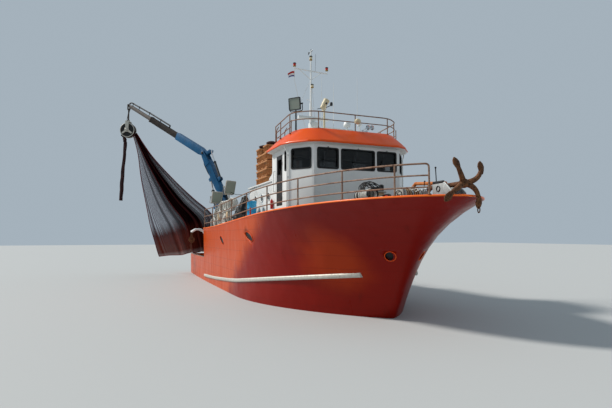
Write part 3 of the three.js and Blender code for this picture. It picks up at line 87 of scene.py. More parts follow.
def put_down() -> None:
    """Leaves edit mode and deselects everything."""
    if bpy.context.object is not None and bpy.context.object.mode != "OBJECT":
        bpy.ops.object.mode_set(mode="OBJECT")
    bpy.ops.object.select_all(action="DESELECT")


def take_up(*objects: Piece) -> Piece:
    """Selects these objects alone and makes the first one active.

    Args:
        objects: the objects to select.
    Returns:
        The active object.
    """
    put_down()
    for one in objects:
        one.select_set(True)
    bpy.context.view_layer.objects.active = objects[0]
    return objects[0]


def settle(obj: Piece) -> Piece:
    """Applies an object's place, turn and scale to its mesh.

    Args:
        obj: the object.
    Returns:
        The same object, at the origin.
    """
    take_up(obj)
    bpy.ops.object.transform_apply(location=True, rotation=True, scale=True)
    return obj


def modify(obj: Piece, kind: str, **settings: object) -> Piece:
    """Adds a modifier, sets it and applies it.

    Args:
        obj: the object that is changed.
        kind: the modifier's type.
        settings: its properties by name.
    Returns:
        The same object.
    """
    take_up(obj)
    modifier = obj.modifiers.new(kind.title(), kind)
    for key, value in settings.items():
        setattr(modifier, key, value)
    bpy.ops.object.modifier_apply(modifier=modifier.name)
    return obj


def smooth(obj: Piece, degrees: float = 32.0) -> Piece:
    """Shades an object smooth up to an angle between faces.

    Args:
        obj: the object.
        degrees: the angle past which an edge stays sharp.
    Returns:
        The same object.
    """
    take_up(obj)
    bpy.ops.object.shade_smooth_by_angle(angle=radians(degrees))
    return obj


def eased(obj: Piece, width: float, segments: int = 2, degrees: float = 32.0) -> Piece:
    """Rounds the sharp edges of an object by a bevel of one width, and shades it smooth.

    Args:
        obj: the object.
        width: the width of the rounding.
        segments: how many faces it has.
        degrees: the angle past which an edge is rounded.
    Returns:
        The same object.
    """
    modify(obj, "BEVEL", width=width, segments=segments, limit_method="ANGLE", angle_limit=radians(degrees),
           harden_normals=False)
    return smooth(obj, degrees)


def named(obj: Piece, name: str) -> Piece:
    """Gives an object and its mesh a name.

    Args:
        obj: the object.
        name: its new name.
    Returns:
        The same object.
    """
    obj.name = name
    obj.data.name = name
    return obj


def remesh(threshold: float | None = None) -> None:
    """Points all faces of the active object outwards, after near points are merged where a distance is given.

    Args:
        threshold: the distance within which points are merged, or None.
    """
    bpy.ops.object.mode_set(mode="EDIT")
    bpy.ops.mesh.select_all(action="SELECT")
    if threshold:
        bpy.ops.mesh.remove_doubles(threshold=threshold)
    bpy.ops.mesh.normals_make_consistent(inside=False)
    bpy.ops.object.mode_set(mode="OBJECT")


def stood(name: str, mesh: bpy.types.Mesh) -> Piece:
    """Puts a mesh into the scene as a selected object.

    Args:
        name: the object's name.
        mesh: its mesh.
    Returns:
        The new object.
    """
    obj = bpy.data.objects.new(name, mesh)
    bpy.context.scene.collection.objects.link(obj)
    return take_up(obj)


def block(low: Point, high: Point) -> Piece:
    """A box between two corners.

    Args:
        low: the corner aft, to starboard and below.
        high: the opposite corner.
    Returns:
        The box as a mesh object at the origin.
    """
    put_down()
    centre = (Vector(low) + Vector(high)) / 2
    bpy.ops.mesh.primitive_cube_add(size=1, location=centre)
    obj = bpy.context.object
    obj.scale = Vector(high) - Vector(low)
    return settle(obj)


def aimed(direction: Vector) -> Matrix:
    """The turn that carries +Z onto a direction."""
    return direction.normalized().to_track_quat("Z", "Y").to_matrix().to_4x4()


def rod(start: Point, end: Point, radius: float, sides: int = 16, tip: float | None = None) -> Piece:
    """A round bar between two points.

    Args:
        start: the centre of one end.
        end: the centre of the other end.
        radius: its radius at the start.
        sides: how many faces it has round.
        tip: its radius at the end, where that differs.
    Returns:
        The bar as a mesh object at the origin.
    """
    put_down()
    a, b = Vector(start), Vector(end)
    bpy.ops.mesh.primitive_cone_add(vertices=sides, radius1=radius, radius2=radius if tip is None else tip,
                                    depth=(b - a).length)
    obj = bpy.context.object
    obj.matrix_world = Matrix.Translation((a + b) / 2) @ aimed(b - a)
    return settle(obj)


def ball(centre: Point, size: Point | float, rings: int = 10) -> Piece:
    """An ellipsoid at a centre, with its three half sizes or one radius.

    Args:
        centre: its middle.
        size: the half sizes or the radius.
        rings: how many rings of faces it has.
    Returns:
        The ellipsoid as a mesh object at the origin.
    """
    put_down()
    bpy.ops.mesh.primitive_uv_sphere_add(segments=rings * 2, ring_count=rings, radius=1, location=centre)
    obj = bpy.context.object
    obj.scale = (size, size, size) if isinstance(size, float) else size
    return smooth(settle(obj), 80)


def ring(centre: Point, normal: Point, radius: float, thick: float, turns: int = 28) -> Piece:
    """A round ring with its middle line at a radius.

    Args:
        centre: its middle.
        normal: the direction of its axis.
        radius: the radius of its middle line.
        thick: the radius of its section.
        turns: how many faces it has round.
    Returns:
        The ring as a mesh object at the origin.
    """
    put_down()
    bpy.ops.mesh.primitive_torus_add(major_radius=radius, minor_radius=thick, major_segments=turns,
                                     minor_segments=10)
    obj = bpy.context.object
    obj.matrix_world = Matrix.Translation(centre) @ aimed(Vector(normal))
    return smooth(settle(obj), 80)


def turned(profile: Sequence[Pair], base: Point, axis: Point = (0, 0, 1), sides: int = 28) -> Piece:
    """A turned piece: a circle is extruded and resized from one profile point to the next.

    Args:
        profile: (radius, height) pairs from the foot up.
        base: where the foot's centre lies.
        axis: the direction of its height.
        sides: how many faces it has round.
    Returns:
        The closed piece as a mesh object.
    """
    put_down()
    radius, height = profile[0]
    bpy.ops.mesh.primitive_circle_add(vertices=sides, radius=max(radius, 1e-4), fill_type="NGON")
    obj = bpy.context.object
    bpy.ops.object.mode_set(mode="EDIT")
    bpy.ops.mesh.select_all(action="SELECT")
    for r, h in profile[1:]:
        bpy.ops.mesh.extrude_region_move(TRANSFORM_OT_translate={"value": (0, 0, h - height)})
        share = max(r, 1e-4) / max(radius, 1e-4)
        bpy.ops.transform.resize(value=(share, share, 1), center_override=(0, 0, h - profile[0][1]))
        radius, height = r, h
    remesh(2e-5)
    obj.matrix_world = Matrix.Translation(base) @ aimed(Vector(axis)) @ Matrix.Translation((0, 0,
                                                                                            profile[0][1]))
    return smooth(settle(obj))


def rounded(points: Sequence[Point], radius: float, closed: bool = False, steps: int = 5) -> list[Point]:
    """A line of points with its corners turned into arcs.

    Args:
        points: the corners of the line.
        radius: how far from a corner its arc starts.
        closed: whether the last point joins the first.
        steps: how many straight bits make an arc.
    Returns:
        The points of the smoother line.
    """
    places = [Vector(p) for p in points]
    made: list[Point] = []
    count = len(places)
    for i, here in enumerate(places):
        if not closed and i in (0, count - 1):
            made.append(here)
            continue
        before, after = places[i - 1], places[(i + 1) % count]
        reach = min(radius, (before - here).length * 0.45, (after - here).length * 0.45)
        a = here + (before - here).normalized() * reach
        b = here + (after - here).normalized() * reach
        for k in range(steps + 1):
            t = k / steps
            made.append(a.lerp(here, t).lerp(here.lerp(b, t), t))
    return made


def pipe(points: Sequence[Point], radius: float, closed: bool = False, sides: int = 10,
         radii: Sequence[float] | None = None) -> Piece:
    """A round pipe or rope along a line of points.

    Args:
        points: the points of its middle line.
        radius: its radius.
        closed: whether its end joins its start.
        sides: about how many faces it has round.
        radii: a share of the radius at each point, where it tapers.
    Returns:
        The pipe as a mesh object.
    """
    put_down()
    bpy.ops.curve.primitive_bezier_curve_add(location=(0, 0, 0))
    obj = bpy.context.object
    curve = obj.data
    curve.splines.clear()
    spline = curve.splines.new("POLY")
    spline.points.add(len(points) - 1)
    for i, (target, place) in enumerate(zip(spline.points, points)):
        target.co = (*place, 1)
        target.radius = radii[i] if radii else 1
    spline.use_cyclic_u = closed
    curve.dimensions = "3D"
    curve.bevel_depth = radius
    curve.bevel_resolution = max(0, sides // 2 - 2)
    curve.use_fill_caps = True
    take_up(obj)
    bpy.ops.object.convert(target="MESH")
    return smooth(settle(bpy.context.object), 50)


def bent(points: Sequence[Point], bend: float, radius: float, steps: int = 5, sides: int = 10) -> Piece:
    """A pipe or hose whose corners are bent round.

    Args:
        points: the corners of its middle line.
        bend: how far from a corner its bend starts.
        radius: its radius.
        steps: how many straight bits make a bend.
        sides: about how many faces it has round.
    Returns:
        The pipe as a mesh object.
    """
    return pipe(rounded(points, bend, steps=steps), radius, sides=sides)


def around(centre: Point, radius: float, turns: Sequence[float], level: bool = True) -> list[Vector]:
    """Points on a circle, one for each angle in radians.

    Args:
        centre: the circle's centre.
        radius: its radius.
        turns: the angles.
        level: whether the circle lies level. Otherwise it stands in the boat's side view.
    Returns:
        The points in order.
    """
    spots = [(cos(a) * radius, sin(a) * radius) for a in turns]
    return [Vector(centre) + Vector((c, d, 0) if level else (c, 0, d)) for c, d in spots]


def corners(w: float, h: float, radius: float, steps: int) -> list[Pair]:
    """A rectangle with rounded corners about its middle.

    Args:
        w: its half width.
        h: its half height.
        radius: the radius of its corners.
        steps: how many straight bits make a corner.
    Returns:
        The points in order.
    """
    made = []
    for x, y, start in ((w, h, 0), (-w, h, 90), (-w, -h, 180), (w, -h, 270)):
        for k in range(steps + 1):
            a = radians(start + 90 / steps * k)
            made.append((x - copysign(radius, x) + radius * cos(a), y - copysign(radius, y) + radius * sin(a)))
    return made


def plate(outline: Sequence[Point], way: Point) -> Piece:
    """A flat plate: an outline is filled and extruded.

    Args:
        outline: its corners in order.
        way: the thickness, as the step from one side to the other.
    Returns:
        The closed plate as a mesh object.
    """
    mesh = bpy.data.meshes.new("plate")
    mesh.from_pydata([tuple(p) for p in outline], [], [list(range(len(outline)))])
    obj = stood("plate", mesh)
    bpy.ops.object.mode_set(mode="EDIT")
    bpy.ops.mesh.select_all(action="SELECT")
    bpy.ops.mesh.extrude_region_move(TRANSFORM_OT_translate={"value": way})
    remesh()
    return obj


def lofted(rings: Sequence[Sequence[Point]], capped: bool = True) -> Piece:
    """A skin over closed rings of equal point counts, bridged one to the next.

    Args:
        rings: the rings in order, each as its points.
        capped: whether the first and the last ring are filled.
    Returns:
        The skin as a mesh object.
    """
    count = len(rings[0])
    verts = [p for one in rings for p in one]
    faces = []
    for r in range(len(rings) - 1):
        for i in range(count):
            n = (i + 1) % count
            faces.append((r * count + i, r * count + n, (r + 1) * count + n, (r + 1) * count + i))
    if capped:
        faces.append(tuple(range(count)))
        faces.append(tuple(range((len(rings) - 1) * count, len(rings) * count)))
    mesh = bpy.data.meshes.new("loft")
    mesh.from_pydata(verts, [], faces)
    obj = stood("loft", mesh)
    remesh()
    return obj


def joined(objects: Sequence[Piece], name: str) -> Piece:
    """Joins objects into one with a name.

    Args:
        objects: the objects, of one finish.
        name: the joined object's name.
    Returns:
        The joined object.
    """
    take_up(*objects)
    if len(objects) > 1:
        bpy.ops.object.join()
    return named(bpy.context.object, name)


def copied(obj: Piece, move: Point) -> Piece:
    """A copy with its own mesh, moved.

    Args:
        obj: the model.
        move: how far the copy is moved.
    Returns:
        The copy.
    """
    twin = stood("copy", obj.data.copy())
    twin.location = move
    return settle(twin)


def cleared(*objects: Piece) -> None:
    """Deletes models whose copies are in place."""
    take_up(*objects)
    bpy.ops.object.delete()


def likeness(node: str, name: str, bevel: float = 0.0, degrees: float = 32.0, segments: int = 2) -> Piece:
    """A finer copy of a CAD node that stands for it: merged, eased and shaded smooth.

    Args:
        node: the node's name.
        name: the new piece's name.
        bevel: the width of the rounding along its sharp edges.
        degrees: the angle past which an edge is sharp.
        segments: how many faces the rounding has.
    Returns:
        The new piece, which rides on the node's body.
    """
    source = frame["nodes"][node]
    obj = stood(name, source.data.copy())
    obj.data.materials.clear()
    bpy.ops.object.mode_set(mode="EDIT")
    bpy.ops.mesh.select_all(action="SELECT")
    bpy.ops.mesh.remove_doubles(threshold=1e-4)
    bpy.ops.mesh.dissolve_limited(angle_limit=radians(0.6))
    bpy.ops.object.mode_set(mode="OBJECT")
    if bevel:
        eased(obj, bevel, segments, degrees)
    else:
        smooth(obj, degrees)
    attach(obj, source["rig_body"])
    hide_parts(node)
    return named(obj, name)


# Finishes


def linear(code: str, alpha: float = 1.0) -> tuple[float, float, float, float]:
    """An sRGB hex colour as linear numbers with an alpha."""
    parts = [int(code[i:i + 2], 16) / 255 for i in (1, 3, 5)]
    return (*[p / 12.92 if p <= 0.04045 else ((p + 0.055) / 1.055) ** 2.4 for p in parts], alpha)


def add_node(tree: bpy.types.NodeTree, kind: str, inputs: dict | Sequence = (), out: int | str = 0,
             **settings: object) -> bpy.types.NodeSocket | None:
    """Adds a node with its settings and its values or links.

    Args:
        tree: the material's node tree.
        kind: the node's type, without the word that all shader nodes start with.
        inputs: a value or another node's output socket for each input, in order or by name or number.
        out: the output that is wanted, by number or name.
        settings: the node's properties by name.
    Returns:
        The output socket, where the node has one.
    """
    made = tree.nodes.new(f"ShaderNode{kind}")
    for key, value in settings.items():
        setattr(made, key, value)
    for key, value in inputs.items() if isinstance(inputs, dict) else enumerate(inputs):
        if isinstance(value, bpy.types.NodeSocket):
            tree.links.new(value, made.inputs[key])
        else:
            made.inputs[key].default_value = value
    return made.outputs[out] if made.outputs else None


def bare(name: str) -> bpy.types.Material:
    """A new material without nodes."""
    material = bpy.data.materials.new(name)
    material.use_nodes = True
    material.node_tree.nodes.clear()
    return material


def per_metre(millimetres: float) -> float:
    """The scale of a pattern whose features are this large."""
    return 1000.0 / millimetres


@dataclass(frozen=True)
class Finish:
    """A painted, cast, moulded or bare surface with its wear. Colours are sRGB hex, sizes are millimetres."""

    name: str
    slot: str
    colour: str
    faded: str
    dirt: str = "#6B4A33"
    roughness: float = 0.4
    metallic: float = 0.0
    coat: float = 0.0
    fade_size: float = 900.0
    fade: float = 0.5
    dirt_size: float = 160.0
    dirt_edge: float = 0.62
    dirt_amount: float = 0.6
    streak: float = 1.0
    grain: float = 6.0
    bump: float = 0.15
    ripple: float = 0.0
    ripple_size: float = 700.0
    shine: float = 0.4

    def material(self) -> bpy.types.Material:
        """The material of this finish, made once."""
        known = bpy.data.materials.get(self.name)
        return known if known else self._make()

    def _make(self) -> bpy.types.Material:
        """Builds the nodes: fading in broad patches, dirt that runs down, grain and ripple in the bump."""
        material = bare(self.name)
        tree = material.node_tree
        place = add_node(tree, "TexCoord", out="Object")
        run = add_node(tree, "Mapping", {"Vector": place, "Scale": (1, 1, 1 / self.streak)})
        broad, spots, fine = (add_node(tree, "TexNoise", {"Vector": where, "Scale": per_metre(size),
                                                          "Detail": detail, "Roughness": rough}) for where,
                              size, detail, rough in ((place, self.fade_size, 4.0, 0.55),
                                                      (run, self.dirt_size, 8.0, 0.62),
                                                      (place, self.grain, 3.0, 0.5)))
        fading = add_node(tree, "MapRange", (broad, 0.35, 0.7, 0.0, self.fade))
        dirty = add_node(tree, "MapRange", (spots, self.dirt_edge, self.dirt_edge + 0.12, 0.0,
                                            self.dirt_amount))
        colour = linear(self.colour)
        for share, other in ((fading, self.faded), (dirty, self.dirt)):
            colour = add_node(tree, "Mix", {0: share, 6: colour, 7: linear(other)}, 2, data_type="RGBA")
        rough = add_node(tree, "MapRange", (spots, 0.3, 0.8, max(0.04, self.roughness - 0.08),
                                            min(1.0, self.roughness + 0.18)))
        bumps = {"Height": fine, "Strength": self.bump, "Distance": self.grain / 4000}
        if self.ripple:
            waves = add_node(tree, "TexNoise", {"Vector": place, "Scale": per_metre(self.ripple_size),
                                                "Detail": 1.0})
            bumps = {"Height": waves, "Strength": self.ripple, "Distance": self.ripple_size / 9000,
                     "Normal": add_node(tree, "Bump", bumps)}
        shader = add_node(tree, "BsdfPrincipled", {"Base Color": colour, "Roughness": rough,
                                                   "Metallic": self.metallic, "Coat Weight": self.coat,
                                                   "Coat Roughness": 0.12, "Specular IOR Level": self.shine,
                                                   "Normal": add_node(tree, "Bump", bumps)})
        add_node(tree, "OutputMaterial", {"Surface": shader})
        return material


class Finishes(Enum):
    """The boat's finishes, one for each real material and how it was made; the deck edge and the door finishes
    also carry painted light.
    """

    # Alkyd topside enamel, brushed on steel: a glossy skin that shows the plates' unevenness
    HULL_ENAMEL = Finish("topside_enamel_orange_red", "hull_paint", "#7E0A00", "#8C1400", dirt="#520A02",
                         roughness=0.34, coat=0.05, shine=0.14, fade_size=2600, fade=0.5, dirt_size=420,
                         dirt_edge=0.6, dirt_amount=0.35, streak=6, grain=30, bump=0.05, ripple=0.4,
                         ripple_size=850)
    # The same enamel on the deck edge, in a brighter orange: a painted highlight where the edge catches the sun
    EDGE_ENAMEL = Finish("edge_enamel_painted_highlight", "edge_paint", "#FF6A04", "#FF7C10", dirt="#A33A0C",
                         roughness=0.35, coat=0.1, fade_size=700, dirt_size=200, dirt_edge=0.66,
                         dirt_amount=0.4, grain=14, bump=0.1)
    # Enamel on the roof fascia: smooth, a little chalky on top
    FASCIA_ENAMEL = Finish("fascia_enamel_orange", "fascia_paint", "#DE4A00", "#E65A04", dirt="#8A3412",
                           roughness=0.38, coat=0.08, shine=0.25, fade_size=900, fade=0.6, dirt_size=240,
                           dirt_edge=0.66, dirt_amount=0.35, streak=3, grain=12, bump=0.08, ripple=0.25,
                           ripple_size=600)
    # White deck enamel on steel plate, chalked, with grey runs and a few rust bleeds
    WHITE_ENAMEL = Finish("house_enamel_white", "white_paint", "#E2E3E0", "#C9CCCB", dirt="#9A8672",
                          roughness=0.4, coat=0.12, fade_size=1300, fade=0.6, dirt_size=260, dirt_edge=0.64,
                          dirt_amount=0.45, streak=5, grain=10, bump=0.1, ripple=0.22, ripple_size=620)
    # Steel pipe, once painted, with most of its paint gone brown
    RUSTY_PIPE = Finish("pipe_steel_rusty", "rail_steel", "#7E5A44", "#A58E7C", dirt="#4E2A18", roughness=0.55,
                        metallic=0.25, fade_size=260, fade=0.7, dirt_size=60, dirt_edge=0.5, dirt_amount=0.8,
                        grain=5, bump=0.3)
    # Rolled steel with a full coat of rust
    RUSTED_IRON = Finish("forged_iron_rusted", "rusty_iron", "#54341F", "#8A5A34", dirt="#28160D",
                         roughness=0.8, metallic=0.15, fade_size=180, fade=0.8, dirt_size=45, dirt_edge=0.48,
                         dirt_amount=0.8, grain=5, bump=0.5)
    # Orange-brown surface rust on a thick pipe
    ORANGE_RUST = Finish("pipe_steel_orange_rust", "rusty_iron", "#B0622A", "#C98048", dirt="#6A3316",
                         roughness=0.75, metallic=0.1, fade_size=200, fade=0.7, dirt_size=70, dirt_edge=0.55,
                         dirt_amount=0.7, grain=6, bump=0.4)
    # Crane enamel on fabricated steel box, scuffed to primer and rust at the corners
    CRANE_ENAMEL = Finish("crane_enamel_blue", "crane_blue", "#06486E", "#0B5E8C", dirt="#1C2226",
                          roughness=0.4, coat=0.05, shine=0.25, fade_size=500, fade=0.6, dirt_size=120,
                          dirt_edge=0.6, dirt_amount=0.7, streak=2, grain=8, bump=0.15, ripple=0.15,
                          ripple_size=400)
    # Bare rolled steel, greased and weathered brown
    BARE_STEEL = Finish("sliding_steel_greased", "bare_steel", "#2A221C", "#443A32", dirt="#120E0B",
                        roughness=0.6, metallic=0.15, fade_size=300, fade=0.7, dirt_size=90, dirt_edge=0.52,
                        dirt_amount=0.75, grain=4, bump=0.2)
    # Hard-chromed rod: a clean mirror with a film of oil
    CHROME_ROD = Finish("rod_chrome", "rod_steel", "#D8DADC", "#C2C5C8", dirt="#8A8680", roughness=0.12,
                        metallic=1.0, fade_size=120, fade=0.3, dirt_size=60, dirt_edge=0.7, dirt_amount=0.3,
                        grain=2, bump=0.02)
    # Hot-dip galvanised steel: dull grey, mottled
    GALVANISED = Finish("galvanised_steel", "galvanised", "#9DA1A0", "#BFC2C0", dirt="#6E5B4A", roughness=0.5,
                        metallic=0.7, fade_size=90, fade=0.8, dirt_size=60, dirt_edge=0.6, dirt_amount=0.5,
                        grain=4, bump=0.15)
    # Black enamel on castings
    BLACK_ENAMEL = Finish("casting_enamel_black", "black_paint", "#17181A", "#2B2C2E", dirt="#4A3628",
                          roughness=0.42, coat=0.1, fade_size=160, fade=0.7, dirt_size=70, dirt_edge=0.62,
                          dirt_amount=0.5, grain=5, bump=0.25)
    # Grey enamel on lamps and winch beds, dusty
    GREY_ENAMEL = Finish("machinery_enamel_grey", "grey_paint", "#9A978E", "#B5B2A9", dirt="#5E5246",
                         roughness=0.5, fade_size=240, fade=0.7, dirt_size=80, dirt_edge=0.58, dirt_amount=0.5,
                         grain=6, bump=0.2)
    # Black rubber: window seals, hoses, fenders
    RUBBER = Finish("black_rubber", "black_plastic", "#121314", "#202122", dirt="#3A3630", roughness=0.62,
                    fade_size=120, dirt_size=60, dirt_edge=0.66, dirt_amount=0.3, grain=3, bump=0.2)
    # Polythene fish boxes, sun-bleached orange-brown
    BOX_PLASTIC = Finish("polythene_box", "box_plastic", "#A87040", "#C08A58", dirt="#7A4A28", roughness=0.55,
                         fade_size=320, fade=0.9, dirt_size=110, dirt_edge=0.6, dirt_amount=0.6, grain=4,
                         bump=0.1)
    # Blow-moulded drum plastic, glossy
    DRUM_PLASTIC = Finish("polythene_drum_blue", "blue_plastic", "#1C9AD0", "#49B3DC", dirt="#2A5E78",
                          roughness=0.3, fade_size=220, dirt_size=80, dirt_edge=0.64, dirt_amount=0.4, grain=4,
                          bump=0.06)
    # Manganese bronze with a green-brown film
    BRONZE = Finish("manganese_bronze", "bronze", "#A8813F", "#8C7A3E", dirt="#4E5A3C", roughness=0.35,
                    metallic=0.9, fade_size=120, fade=0.8, dirt_size=50, dirt_edge=0.56, dirt_amount=0.5,
                    grain=4, bump=0.15)
    # Antifouling paint under water: dead matt
    ANTIFOULING = Finish("antifouling_oxide", "antifouling", "#5E1B10", "#74281A", dirt="#33302A",
                         roughness=0.85, fade_size=700, dirt_size=120, dirt_edge=0.56, dirt_amount=0.6,
                         grain=12, bump=0.3)
    # Deck paint with grit
    DECK_PAINT = Finish("deck_paint_grey_green", "hull_paint", "#5F6E66", "#7A857C", dirt="#4E4034",
                        roughness=0.8, fade_size=900, fade=0.8, dirt_size=260, dirt_edge=0.55, dirt_amount=0.7,
                        grain=8, bump=0.4)
    # Laid rope of natural and synthetic yarn
    ROPE = Finish("laid_rope", "rope", "#BFA27C", "#DCCBAE", dirt="#7A5636", roughness=0.9, fade_size=60,
                  fade=0.8, dirt_size=30, dirt_edge=0.55, dirt_amount=0.5, grain=7, bump=0.7)
    # Tarred dark rope and leadline
    DARK_ROPE = Finish("tarred_rope", "net", "#3B2320", "#543430", dirt="#1C1412", roughness=0.9, fade_size=80,
                       fade=0.8, dirt_size=30, dirt_edge=0.55, dirt_amount=0.5, grain=8, bump=0.7)
    # Folded net, seen as a mass of twine
    NET_MASS = Finish("folded_net_maroon", "net", "#2A0F12", "#42201F", dirt="#120809", roughness=0.95,
                      fade_size=220, fade=0.9, dirt_size=60, dirt_edge=0.48, dirt_amount=0.8, streak=7,
                      grain=16, bump=0.9)
    # Instrument desk moulding
    DESK_PLASTIC = Finish("desk_moulding_dark", "black_plastic", "#2A2C2E", "#3A3C3E", roughness=0.55, grain=3,
                          bump=0.1)
    # Seat leathercloth
    SEAT_CLOTH = Finish("seat_leathercloth", "seat_cloth", "#1E1F22", "#2C2D30", roughness=0.6, grain=4,
                        bump=0.35)
    # Cream enamel on small lamps
    CREAM_ENAMEL = Finish("lamp_enamel_cream", "white_paint", "#CDBE9A", "#DDD2B6", dirt="#6E5638",
                          roughness=0.4, fade_size=90, dirt_size=50, dirt_edge=0.58, dirt_amount=0.6, grain=4,
                          bump=0.1)
    # Galvanised plate, weathered pale
    PALE_STEEL = Finish("weathered_plate_pale", "galvanised", "#B9B6AC", "#D6D3C9", dirt="#6A5A48",
                        roughness=0.55, metallic=0.25, fade_size=120, dirt_size=60, dirt_edge=0.58,
                        dirt_amount=0.6, grain=5, bump=0.2)
    # Pale PVC hose, dusty
    PALE_HOSE = Finish("pvc_hose_pale", "rope", "#C9C8C0", "#DEDDD6", dirt="#7A7062", roughness=0.6,
                       fade_size=90, dirt_size=50, dirt_edge=0.58, dirt_amount=0.6, grain=6, bump=0.2)
    # Canvas and oilskin, folded and left out
    PALE_CLOTH = Finish("canvas_folded_pale", "seat_cloth", "#B4B2AB", "#D5D2CA", dirt="#6A6258",
                        roughness=0.92, fade_size=200, fade=0.8, dirt_size=90, dirt_edge=0.5, dirt_amount=0.6,
                        grain=5, bump=0.6)
    # Dark red laid rope on the net's edges
    SELVAGE_ROPE = Finish("selvage_rope_red", "net", "#5E1518", "#7A2422", dirt="#2A0C0E", roughness=0.9,
                          fade_size=80, dirt_size=30, dirt_edge=0.55, dirt_amount=0.5, grain=8, bump=0.7)
    # Cork and foam floats, sun-bleached
    CORK = Finish("net_cork_bleached", "net", "#A8703E", "#C99A66", dirt="#5A3A22", roughness=0.85,
                  fade_size=60, fade=0.9, dirt_size=30, dirt_edge=0.55, dirt_amount=0.6, grain=5, bump=0.5)
    # Near black on the starboard weather door: painted shade for the dark open doorway behind it
    DOOR_VARNISH = Finish("door_dark_painted_shade", "white_paint", "#17120F", "#241C17", dirt="#0C0A09",
                          roughness=0.45, grain=8, bump=0.2)
    # Red enamel on small fittings
    RED_ENAMEL = Finish("fitting_enamel_red", "edge_paint", "#B31712", "#C4302A", roughness=0.35, grain=6,
                        bump=0.1)


def dress(obj: Piece, finish: Finishes, body: str = "", slot: str = "") -> Piece:
    """Gives a piece its finish, and a body to ride on.

    Args:
        obj: the piece.
        finish: its finish.
        body: the body it rides on, where it doesn't ride already.
        slot: the record's material slot, where it isn't the finish's own; it is not used.
    Returns:
        The same piece.
    """
    obj.data.materials.clear()
    obj.data.materials.append(finish.value.material())
    slot or finish.value.slot
    if body:
        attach(obj, body)
    return obj


@dataclass(frozen=True)
class Glass:
    """Window or lamp glass. The tint is an sRGB hex colour."""

    name: str
    tint: str
    roughness: float = 0.03
    clearness: float = 0.4
    shine: float = 0.6

    def material(self) -> bpy.types.Material:
        """The material, made once: tinted, partly clear, with a film of salt in the roughness."""
        known = bpy.data.materials.get(self.name)
        if known:
            return known
        material = bare(self.name)
        tree = material.node_tree
        place = add_node(tree, "TexCoord", out="Object")
        film = add_node(tree, "TexNoise", {"Vector": place, "Scale": per_metre(180), "Detail": 5.0})
        rough = add_node(tree, "MapRange", (film, 0.4, 0.75, self.roughness, self.roughness + 0.12))
        shader = add_node(tree, "BsdfPrincipled", {"Base Color": linear(self.tint), "Roughness": rough,
                                                   "IOR": 1.52, "Alpha": 1 - self.clearness,
                                                   "Specular IOR Level": self.shine})
        add_node(tree, "OutputMaterial", {"Surface": shader})
        return material

    def glaze(self, objects: Sequence[Piece], name: str, body: str = "") -> None:
        """Joins panes into one piece of this glass.

        Args:
            objects: the panes.
            name: the piece's name.
            body: the body it rides on, where it doesn't ride already.
        """
        pane = joined(objects, name)
        pane.data.materials.append(self.material())
        if body:
            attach(pane, body)


# Toughened window glass, dark from the unlit room behind it
WINDOW_GLASS = Glass("toughened_glass_dark", "#070B0C", clearness=0.4, shine=0.35)
# Floodlight glass, pressed and dusty
LAMP_GLASS = Glass("pressed_glass_dusty", "#8B9488", roughness=0.3, clearness=0.1)


class Assembly:
    """A sub-assembly of the boat. main() builds each one and reports it."""

    def build(self) -> None:
        """Makes every piece of the sub-assembly."""
        raise NotImplementedError

    @staticmethod
    def renew(node: str, finish: Finishes, bevel: float = 0.0, degrees: float = 32.0, segments: int = 2,
              slot: str = "") -> Piece:
        """Stands a finer copy in for a CAD node and dresses it.

        Args:
            node: the CAD node.
            finish: the copy's finish.
            bevel: the rounding along its sharp edges.
            degrees: the angle past which an edge is sharp.
            segments: how many faces the rounding has.
            slot: the record's material slot, where it isn't the finish's own.
        Returns:
            The copy.
        """
        return dress(likeness(node, f"{node}_finished", bevel, degrees, segments), finish, slot=slot)

    @staticmethod
    def put(objects: Sequence[Piece], name: str, finish: Finishes, body: str = "boat",
            replaces: Sequence[str] = (), slot: str = "") -> Piece:
        """Joins pieces of one finish, dresses them and sets them on a body.

        Args:
            objects: the pieces to join.
            name: the joined piece's name.
            finish: its finish.
            body: the body it rides on.
            replaces: the CAD nodes that it stands for.
            slot: the record's material slot, where it isn't the finish's own.
        Returns:
            The joined piece.
        """
        obj = dress(joined(objects, name), finish, body, slot)
        for node in replaces:
            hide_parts(node)
        return obj


